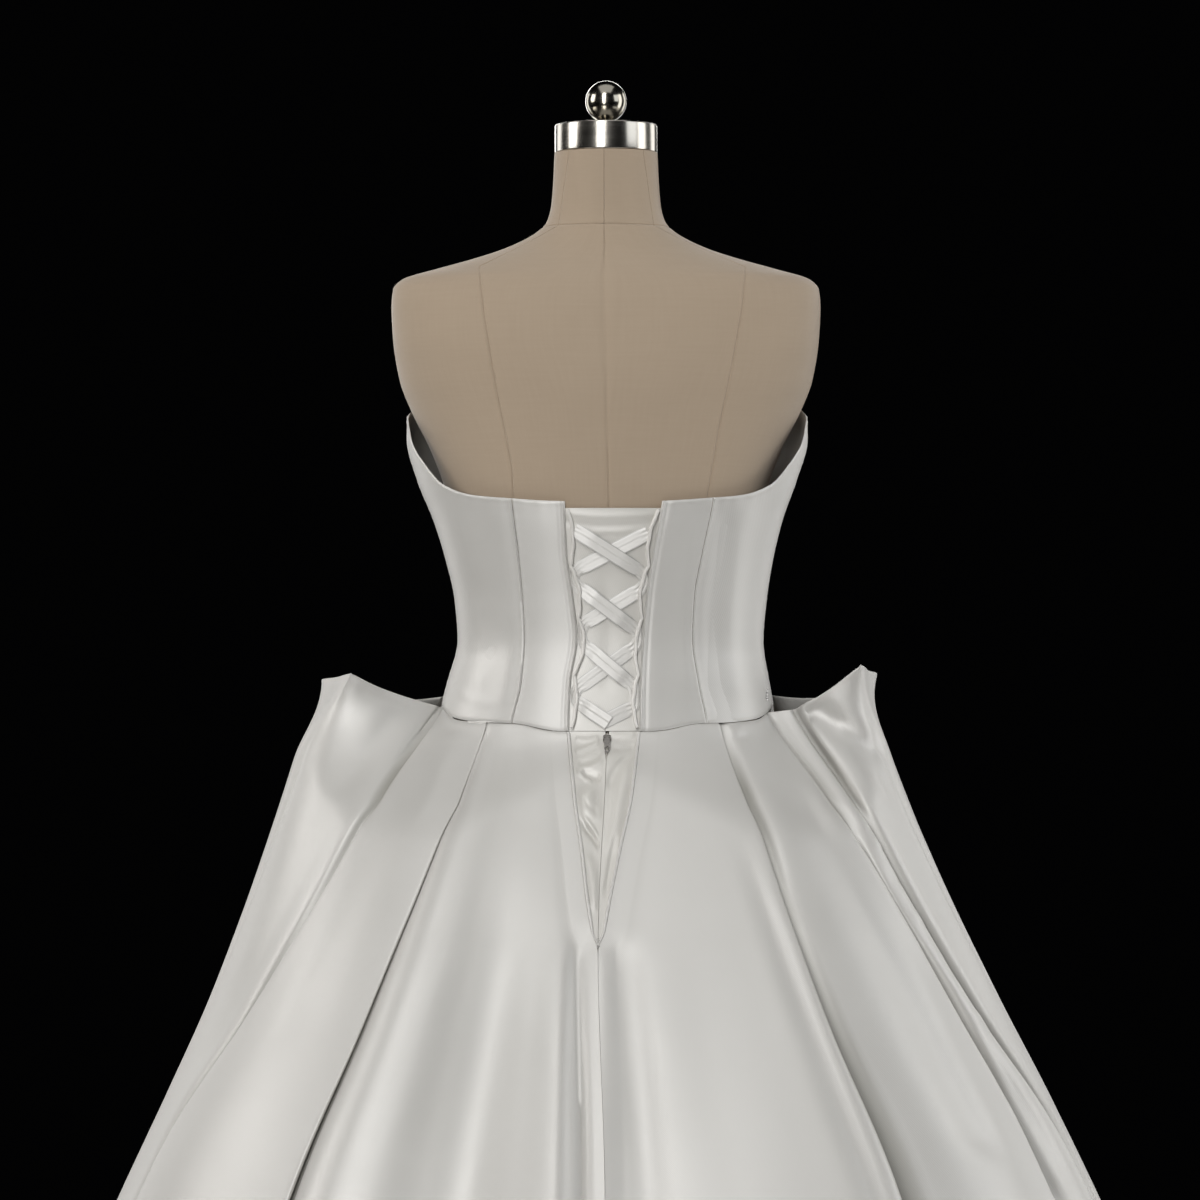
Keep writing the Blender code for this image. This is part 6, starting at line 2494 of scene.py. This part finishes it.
@dataclass
class Skirt:
    """Two back halves, two standing pleats, the front, the under-layers and the V opening."""

    rows: int = 132
    spacing: float = 0.0085
    wave_length: float = 0.30
    wave_fade: float = 0.25
    crease_fade: float = 0.008
    edge_round: float = 0.0007
    shade_fade: float = 0.06
    left: HalfSkirt = field(default_factory=functools.partial(HalfSkirt, Side.LEFT))
    right: HalfSkirt = field(default_factory=functools.partial(HalfSkirt, Side.RIGHT))
    underlay_bottom: float = 0.865
    underlay_x: float = 0.300
    underlay_y: float = 0.078
    underlay_waves: float = 0.0008
    underlay_wave_length: float = 0.12

    def build(self) -> None:
        """Make every piece of the skirt."""
        size = (self.rows, self.spacing)
        for piece, half, columns_at in (
            (LEFT_BACK, self.left, self.left.back),
            (RIGHT_BACK, self.right, self.right.back),
            (LEFT_FLANK, self.left, self.left.flank),
            (RIGHT_FLANK, self.right, self.right.flank),
        ):
            self.build_piece(piece, half.grid(columns_at, *size))
        front = self.left.grid(self.left.front, *size)
        self.build_piece(FRONT_PIECE, front.joined(self.right.grid(self.right.front, *size)))
        self.build_underlay(self.left, "left", (83.5, 95.5))
        self.build_underlay(self.right, "right", (77.0, 95.5))

    def build_piece(self, piece: SkirtPiece, sewn: Sewn) -> None:
        """Crease a grid of the skirt and make its thin wall.

        Args:
            piece: Name, sizes and creases of the piece.
            sewn: Its grid.
        """
        grid = sewn.points
        normals = outward_normals(grid)
        from_top = sewn.tops - grid[..., 2]
        behind = np.clip(normals[..., 1] * 3, 0, 1)
        before = np.clip(-normals[..., 1] * 3, 0, 1)
        lift = relief(grid, piece.back_creases) * behind
        lift += relief(grid, piece.front_creases, False) * before
        waves = unevenness(grid, piece.waves, self.wave_length, piece.phase)
        lift += waves * np.clip(from_top / self.wave_fade, 0, 1)
        lift *= sewn.shown * np.clip(from_top / self.crease_fade, 0, 1)
        lift -= np.where(sewn.sewn, WAIST_DIP * bell(from_top, WAIST_DIP_WIDTH), 0.0)
        grid = grid + normals * lift[..., None]
        thin = np.clip(from_top / self.edge_round, 0.3, 1.0)
        made = wall_shell(piece.node + "_satin", grid, outward_normals(grid), thin)
        # Painted shade: the less a column shows, the more its points are blended towards the satin's dark
        # fold colour, less near the upper edge and scaled by the piece's fold shade.
        depth = np.clip(1.0 - 1.25 * sewn.shown, 0, 1) * np.clip(from_top / self.shade_fade, 0.3, 1.0)
        depth *= piece.fold_shade
        folded = made.data.attributes.new(PAINTED_FOLD_SHADE, "FLOAT", "POINT")
        folded.data.foreach_set("value", np.concatenate([depth, depth]).astype(np.float32).ravel())
        place_piece(made, SATIN, Slot.SATIN, [piece.node])
        list(piece.hangs_from)

    def build_underlay(self, half: HalfSkirt, word: str, angles: tuple[float, float]) -> None:
        """Make the inner layer that closes the waist seam inside a standing pleat.

        Args:
            half: Half of the skirt.
            word: Name of its side.
            angles: Angles on the waist that the layer runs between.
        """
        share = np.linspace(0, 1, 28)[None, :]
        t = np.linspace(0, 1, 44)[:, None]
        angle = angles[0] + (angles[1] - angles[0]) * share
        top = edge_height("waist", angle) - LAY_GAP
        height = top + (self.underlay_bottom - top) * t
        start = half.waist_point(angle)
        deep = self.underlay_y * (1 - 2 * share)
        end = np.stack([np.full(angle.shape, half.side * self.underlay_x), deep], axis=-1)
        flat = start + (end - start) * (t**1.7)[..., None]
        grid = np.concatenate([flat, height[..., None]], axis=2)
        normals = outward_normals(grid)
        waves = unevenness(grid, self.underlay_waves, self.underlay_wave_length, half.side)
        grid = grid + normals * (waves * t)[..., None]
        made = wall_shell(f"skirt_underlay_{word}_satin", grid, normals, np.ones(grid.shape[:2]))
        place_piece(made, SATIN, Slot.SATIN, [f"skirt_underlay_{word}"])


LEFT_PLACKET_CREASES = (
    Crease(((574, 738), (586, 740), (600, 737)), 0.5, 1.8, 2.2, (4, 4), Run.ACROSS),
    Crease(((574, 752), (586, 748), (601, 741)), 0.6, 2.0, 2.6, (4, 4), Run.ACROSS),
    Crease(((577, 764), (590, 760), (603, 752)), -0.8, 2.6, 3.0, (4, 4), Run.ACROSS),
    Crease(((578, 769), (590, 767), (604, 760)), 0.6, 1.8, 2.4, (4, 4), Run.ACROSS),
    Crease(((580, 770), (592, 775), (602, 778)), -1.4, 3.4, 5.0, (6, 5), Run.ACROSS),
    Crease(((575, 769), (584, 777), (594, 783)), 0.8, 1.6, 2.2, (4, 7), Run.ACROSS),
    Crease(((590, 782), (587, 800), (592, 824)), 1.7, 9, 9, (14, 14)),
    Crease(((582, 795), (588, 806), (600, 812)), -0.5, 3, 5, (6, 6), Run.ACROSS),
    Crease(((580, 822), (590, 833), (601, 848)), -1.5, 3.6, 4.4, (6, 5), Run.ACROSS),
    Crease(((580, 814), (590, 824), (600, 839)), 0.7, 2.2, 2.8, (6, 6), Run.ACROSS),
    Crease(((586, 850), (592, 880), (595, 915)), 0.9, 5, 6, (14, 14)),
)
RIGHT_PLACKET_CREASES = (
    Crease(((608, 734), (622, 735), (636, 733)), 0.5, 2, 2.4, (3, 3), Run.ACROSS),
    Crease(((608, 747), (622, 749), (634, 746)), -0.5, 3, 3, (3, 3), Run.ACROSS),
    Crease(((632, 752), (616, 768), (606, 792)), -0.7, 4, 6, (8, 10)),
    Crease(((628, 764), (620, 800), (610, 860)), 0.8, 6, 7, (14, 20)),
    Crease(((616, 830), (611, 860), (605, 900)), -0.5, 3, 3, (12, 14)),
)


@dataclass
class BackOpening:
    """V opening with its placket, zip, rolled edges, slider and pull."""

    left: HalfSkirt
    right: HalfSkirt
    face: float = SKIRT_WALL / 2 + PLACKET_GAP
    placket_wall: float = 0.0012
    placket_bottom: float = 0.822
    crumple: float = 1.5
    placket_tuck: float = 0.012
    placket_fade: float = 0.004
    zip_fade: float = 0.003
    zip_half: float = 0.0014
    zip_sink: float = 0.0006
    shut_sink: float = 0.0014
    shut_gap: float = 0.0002
    shut_reach: float = 0.012
    zip_bottom: float = 0.823
    closed_from: float = 1.000
    piping_rise: float = 0.0016
    piping_tip: float = 0.35
    piping_taper: float = 0.030
    piping_wobble: float = 0.00012
    slope_reach: float = 0.004
    slider_length: float = 0.0090
    slider_width: float = 0.0074
    slider_height: float = 0.0031
    slider_plate: float = 0.0012
    rail_half: float = 0.0005
    rail_inset: float = 0.0006
    rail_foot: float = 0.0008
    bridge_half: float = 0.0034
    bridge_wall: float = 0.0005
    metal_edge: float = 0.00018
    pull_wall: float = 0.0009
    pull_width: float = 0.0060
    pull_neck: float = 0.0019
    pull_hole: float = 0.52

    def build(self) -> None:
        """Make every piece of the opening."""
        self.build_placket()
        self.build_zip()
        self.build_piping()
        self.build_slider()
        self.build_pull()

    def waist_top(self) -> float:
        """Height of the skirt's upper edge at the centre back."""
        return float(edge_height("waist", 0.0)) - LAY_GAP

    def depth(self, x: Points, height: float) -> Points:
        """Y of the middle of the skirt's wall near the centre back."""
        return np.where(x >= 0, self.left.depth(x, height), self.right.depth(x, height))

    def point(self, x: float, height: float, out: float) -> Points:
        """Point near the centre back of the skirt, moved outwards of its wall.

        Args:
            x: Place across.
            height: The height.
            out: How far the point is moved.

        Returns:
            The point.
        """
        reach = self.slope_reach
        low, y, high = (
            float(self.depth(np.array(x), round(z, 5))) for z in (height - reach, height, height + reach)
        )
        slope = (high - low) / (2 * reach)
        length = math.hypot(1.0, slope)
        return np.array((x, y + out / length, height - out * slope / length))

    def build_flap(self, half: HalfSkirt, word: str, creases: Sequence[Crease]) -> None:
        """Make one flap of the placket.

        Args:
            half: Half of the skirt that it belongs to.
            word: Name of that side.
            creases: Creases placed on it.
        """
        grid = []
        for height in np.linspace(self.waist_top(), self.placket_bottom, 110).tolist():
            xs = np.linspace(*self.flap_edges(half, height), 40)
            ys = self.depth(xs, round(height, 5)) - self.face
            grid.append(np.stack([xs, ys, np.full(40, height)], axis=-1))
        grid = np.array(grid)
        normals = outward_normals(grid)
        from_top = self.waist_top() - grid[..., 2]
        from_zip = np.linalg.norm(grid - grid[:, :1], axis=2)
        soft = np.clip(from_top / self.placket_fade, 0, 1) * np.clip(from_zip / self.zip_fade, 0, 1)
        lift = relief(grid, creases) * soft * self.crumple
        outer = grid + normals * lift[..., None]
        made = shell(f"placket_{word}_satin", outer, outer - normals * self.placket_wall)
        place_piece(made, BOUNCE_LIT_SATIN, Slot.SATIN, [f"placket_{word}"])

    def flap_edges(self, half: HalfSkirt, height: float) -> tuple[float, float]:
        """Both edges of a flap at a height.

        Args:
            half: Half of the skirt that it belongs to.
            height: The height.

        Returns:
            X of its edge at the zip and of its edge under the skirt.
        """
        shut = self.shut(height)
        at_zip = between(self.zip_half + SEAM_GAP, self.shut_gap, shut)
        middle = float(V_LINES.read("middle", height))
        return middle + half.side * at_zip, half.edge_x(height) + half.side * self.placket_tuck

    def shut(self, height: float) -> float:
        """How far the flaps close over the zip, which they hide below its slider."""
        return float(eased(np.array((self.closed_from - height) / self.shut_reach)))

    def build_placket(self) -> None:
        """A flap under each edge of the V, the left one crumpled."""
        self.build_flap(self.left, "left", LEFT_PLACKET_CREASES)
        self.build_flap(self.right, "right", RIGHT_PLACKET_CREASES)

    def build_zip(self) -> None:
        """Closed coil, its two rows of teeth set along the middle of the placket."""
        path = []
        for height in np.linspace(self.waist_top() - 0.001, self.zip_bottom, 120).tolist():
            x = float(V_LINES.read("middle", height))
            sink = self.zip_sink + self.shut_sink * self.shut(height)
            path.append(self.point(x, height, -self.face - sink))
        teeth = RowPattern("coil_teeth", COIL, 2)
        sizes = {"Pitch": 0.00055, "Length": 0.0019, "Width": 0.00062, "Rise": 0.0010, "Stagger": 0.0009}
        made = teeth.grow("zip_coil_teeth", np.array(path), sizes)
        place_piece(made, COIL, Slot.COIL, ["zip"])

    def build_piping(self) -> None:
        """Rolled edge along each side of the V, and the stitches that hold its tip."""
        cord = CordPattern(SATIN)
        for half, word in ((self.left, "left"), (self.right, "right")):
            path, slim = self.piping_path(half)
            made = cord.grow(f"rolled_edge_{word}", path, {"Radius": PIPING_RADIUS, "Sides": 14}, slim)
            place_piece(made, SATIN, Slot.SATIN, [f"v_piping_{word}"])
        tip = [self.point(0.0075, z, 0.0012) for z in (V_TIP + 0.0075, V_TIP - 0.001)]
        stitches = RowPattern("tip_stitches", SATIN, 2)
        sizes = {"Pitch": 0.0019, "Length": 0.0042, "Width": 0.0006, "Rise": 0.0007, "Stagger": 0.0006}
        place_piece(stitches.grow("tip_tack", np.array(tip), sizes), SATIN, Slot.SATIN)

    def piping_path(self, half: HalfSkirt) -> tuple[Points, list[float]]:
        """Line of a rolled edge, which grows slim towards the V's tip.

        Args:
            half: Half of the skirt whose edge it is.

        Returns:
            The points and the share of the full thickness at each.
        """
        path, slim = [], []
        for height in np.linspace(self.waist_top() - PIPING_RADIUS, V_TIP + 0.001, 110).tolist():
            share = float(eased(np.array((height - V_TIP) / self.piping_taper)))
            slim.append(between(self.piping_tip, 1.0, share))
            radius = PIPING_RADIUS * slim[-1]
            middle = float(V_LINES.read("middle", height))
            off = half.side * (half.edge_x(height) - middle) - radius - SEAM_GAP
            wave = self.piping_wobble * math.sin(height * 700 + half.side)
            x = middle + half.side * max(off, 0.9 * radius) + wave
            path.append(self.point(x, height, self.piping_rise + wave))
        return np.array(path), slim

    def zip_frame(self) -> Matrix:
        """Matrix whose X runs across, Y up the placket and Z out of it, at the slider's foot.

        Returns:
            The matrix.
        """
        low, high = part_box("zip_slider")
        middle = (low + high) / 2
        depth = [float(self.depth(np.array(middle.x), round(z, 5))) for z in (low.z, high.z)]
        up = Vector((0.0, depth[1] - depth[0], high.z - low.z)).normalized()
        across = Vector((-1.0, 0.0, 0.0))
        place = Matrix((across, up, across.cross(up).normalized())).transposed().to_4x4()
        place.translation = middle
        return place

    def build_slider(self) -> None:
        """Slider body: a waisted plate, two rails and the bridge that holds the pull."""
        half, length = self.slider_width / 2, self.slider_length / 2
        low, high = -self.slider_height / 2, self.slider_height / 2
        right = [(0.72, -1.0), (1.0, -0.35), (1.0, 0.6), (0.6, 1.0)]
        outline = [(half * x, length * y) for x, y in right + [(-x, y) for x, y in right[::-1]]]
        outline = outline[-1:] + outline[:-1]
        work = bmesh.new()
        add_prism(work, outline, low, low + self.slider_plate)
        for sign in (-1, 1):
            middle = sign * (half - self.rail_inset)
            rail = box_outline(middle - self.rail_half, middle + self.rail_half, -length * 0.3, length * 0.6)
            add_prism(work, rail, low + self.rail_foot, high)
        bridge = box_outline(-self.bridge_half, self.bridge_half, length * 0.42, length * 0.60)
        add_prism(work, bridge, high - self.bridge_wall, high)
        bmesh.ops.bevel(work, geom=work.edges[:], offset=self.metal_edge, segments=2, affect="EDGES")
        made = finished(work, "slider_body", self.zip_frame())
        place_piece(made, ZIP_METAL, Slot.METAL, ["zip_slider"])

    def build_pull(self) -> None:
        """Pull tab with a teardrop ring at its end."""
        low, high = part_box("zip_pull")
        place = self.zip_frame()
        place.translation = (low + high) / 2
        half = (high.z - low.z) / 2 / place.to_3x3().col[1].normalized().z
        wide, neck, hole = self.pull_width / 2, self.pull_neck / (self.pull_width / 2), self.pull_hole
        outer, inner = [], []
        for turn in (2 * math.pi * np.arange(32) / 32).tolist():
            across, up = math.sin(turn), math.cos(turn)
            narrow = neck + (1 - neck) * (1 - eased(np.array((up + 0.45) / 1.2)))
            outer.append((wide * across * narrow, half * up))
            inner.append((hole * wide * across, half * (hole / 2 * up - hole)))
        work = bmesh.new()
        add_ring_plate(work, outer, inner, self.pull_wall)
        sharp = [edge for edge in work.edges if edge.is_manifold and edge.calc_face_angle(0.0) > 1.2]
        bmesh.ops.bevel(work, geom=sharp, offset=self.metal_edge, segments=2, affect="EDGES")
        made = finished(work, "pull_tab", place)
        place_piece(made, ZIP_METAL, Slot.METAL, ["zip_pull"], PULL_BODY)


def box_outline(left: float, right: float, low: float, high: float) -> Pairs:
    """Corners of a rectangle, once round."""
    return [(left, low), (right, low), (right, high), (left, high)]


def add_prism(work: bmesh.types.BMesh, outline: Pairs, low: float, high: float) -> None:
    """Add an upright block with an outline in X and Y.

    Args:
        work: Mesh at work.
        outline: Corners, once round.
        low: Height of the bottom.
        high: Height of the top.
    """
    rings = [[work.verts.new((x, y, z)) for x, y in outline] for z in (low, high)]
    work.faces.new(rings[0][::-1])
    work.faces.new(rings[1])
    for k in range(len(outline)):
        n = (k + 1) % len(outline)
        work.faces.new((rings[0][k], rings[0][n], rings[1][n], rings[1][k]))


def add_ring_plate(work: bmesh.types.BMesh, outer: Pairs, inner: Pairs, wall: float) -> None:
    """Add a flat plate between two outlines of the same number of points.

    Args:
        work: Mesh at work.
        outer: Corners of the rim, once round.
        inner: Corners of the hole, once round.
        wall: Thickness of the plate.
    """
    lines = [(line, z) for z in (-wall / 2, wall / 2) for line in (outer, inner)]
    loops = [[work.verts.new((x, y, z)) for x, y in line] for line, z in lines]
    for k in range(len(outer)):
        n = (k + 1) % len(outer)
        for a, b in ((0, 1), (1, 3), (3, 2), (2, 0)):
            work.faces.new((loops[a][k], loops[a][n], loops[b][n], loops[b][k]))


def finished(work: bmesh.types.BMesh, name: str, place: Matrix) -> bpy.types.Object:
    """Turn worked faces into an object whose place is in its mesh.

    Args:
        work: Mesh at work, which is freed.
        name: Name of the piece.
        place: Where the piece goes.

    Returns:
        The object.
    """
    bmesh.ops.recalc_face_normals(work, faces=work.faces)
    mesh = bpy.data.meshes.new(name)
    work.to_mesh(mesh)
    work.free()
    mesh.transform(place)
    mesh.shade_smooth()
    mesh.set_sharp_from_angle(angle=math.radians(40))
    made = bpy.data.objects.new(name, mesh)
    bpy.context.scene.collection.objects.link(made)
    return made


@dataclass
class Beads:
    """The few clear beads at the waist, near the right standing pleat."""

    foot_x: float = -0.1505
    foot_height: float = 1.0445
    lean: float = 0.0003
    rise: float = 0.0009
    pitch: float = 0.0026
    count: int = 4

    def build(self) -> None:
        """Set the beads in a short upright row on the bodice."""
        path = []
        for k in range(self.count):
            height = self.foot_height + k * self.pitch
            angle = BODICE.angle(height, Side.RIGHT.value, self.foot_x - self.lean * k)
            path.append(BODICE.point(height, Side.RIGHT.value, angle, self.rise).tolist())
        row = RowPattern("bead_row", CRYSTAL, 2)
        sizes = {"Length": 0.0025, "Width": 0.0022, "Rise": 0.0022, "Stagger": 0.0004}
        made = row.grow("crystal_beads", np.array(path), {"Pitch": self.pitch * 0.98, **sizes})
        place_piece(made, CRYSTAL, Slot.SATIN)


# The studio


@dataclass(frozen=True)
class SoftBox:
    """A large square lamp that looks at a point."""

    name: str
    place: tuple[float, float, float]
    target: tuple[float, float, float]
    size: tuple[float, float]
    power: float
    colour: Colour = (1.0, 0.985, 0.96)

    def build(self) -> None:
        """Make the lamp."""
        lamp = bpy.data.lights.new(self.name, "AREA")
        lamp.shape = "RECTANGLE"
        lamp.size, lamp.size_y = self.size
        lamp.energy = self.power
        lamp.color = self.colour
        made = bpy.data.objects.new(self.name, lamp)
        made.location = self.place
        direction = Vector(self.target) - Vector(self.place)
        made.rotation_euler = direction.to_track_quat("-Z", "Y").to_euler()
        bpy.context.scene.collection.objects.link(made)


@dataclass
class Studio:
    """Camera, lamps, floor and surroundings."""

    lens: float = 126.32
    sensor: float = 36.0
    floor_radius: float = 2.6
    floor_gap: float = 0.0005
    world: Colour = (0.0008, 0.0008, 0.0009)

    def build(self) -> None:
        """Set up everything that isn't part of the object."""
        self.build_camera()
        self.build_floor()
        self.build_world()
        for box in self.lamps():
            box.build()

    def lamps(self) -> list[SoftBox]:
        """The lamps of the studio.

        Returns:
            The lamps, with the key first.
        """
        return [
            SoftBox("key", (0.62, 3.05, 2.20), (0.0, 0.0, 1.0), (0.80, 3.6), 73.0),
            SoftBox("fill_left", (2.95, 0.50, 2.30), (0.0, 0.0, 0.9), (1.2, 1.7), 33.0, (1.0, 0.97, 0.935)),
            SoftBox("fill_right", (-2.65, 1.50, 2.30), (0.0, 0.0, 0.9), (1.4, 1.7), 13.0, (0.97, 0.985, 1.0)),
            SoftBox("rim_left", (1.96, -1.7, 1.4), (0.0, 0.0, 1.0), (0.9, 2.6), 15.0),
            SoftBox("side_right", (-2.60, 0.10, 1.5), (0.0, 0.0, 1.0), (1.0, 2.8), 24.0),
            SoftBox("rim_right", (-1.96, -1.7, 1.4), (0.0, 0.0, 1.0), (0.9, 2.6), 15.0),
            SoftBox("front", (0.3, -3.4, 2.2), (0.0, 0.0, 0.9), (2.0, 1.6), 46.0),
            SoftBox("overhead", (0.0, 0.6, 3.6), (0.0, 0.1, 0.8), (2.2, 2.2), 12.0),
        ]

    def build_camera(self) -> None:
        """Level camera behind the dress."""
        camera = bpy.data.cameras.new("camera")
        camera.lens = self.lens
        camera.sensor_width = self.sensor
        made = bpy.data.objects.new("camera", camera)
        made.location = (VIEW.eye_x, VIEW.distance, VIEW.eye_z)
        made.rotation_euler = (math.pi / 2, 0.0, math.pi)
        bpy.context.scene.collection.objects.link(made)
        bpy.context.scene.camera = made

    def build_floor(self) -> None:
        """Round pale floor under the stand."""
        turn = 2 * math.pi * np.arange(96) / 96
        wide = self.floor_radius
        points = np.stack([wide * np.cos(turn), wide * np.sin(turn), np.full(96, -self.floor_gap)], axis=-1)
        made = mesh_object("floor", points, [tuple(range(96))])
        made.data.materials.append(FLOOR_PAINT.material())

    def build_world(self) -> None:
        """Dark plain surroundings."""
        world = bpy.data.worlds.new("surroundings")
        world.use_nodes = True
        world.node_tree.nodes["Background"].inputs[0].default_value = (*self.world, 1.0)
        bpy.context.scene.world = world
        bpy.context.scene.view_settings.view_transform = "Standard"


def main() -> None:
    """Build the studio, the form and the gown."""
    logging.basicConfig(level=logging.INFO, format="%(name)s %(message)s")
    Studio().build()
    DressForm().build()
    Bodice().build()
    skirt = Skirt()
    skirt.build()
    BackOpening(skirt.left, skirt.right).build()
    Beads().build()
    bpy.context.view_layer.update()


if __name__ == "__main__":
    main()
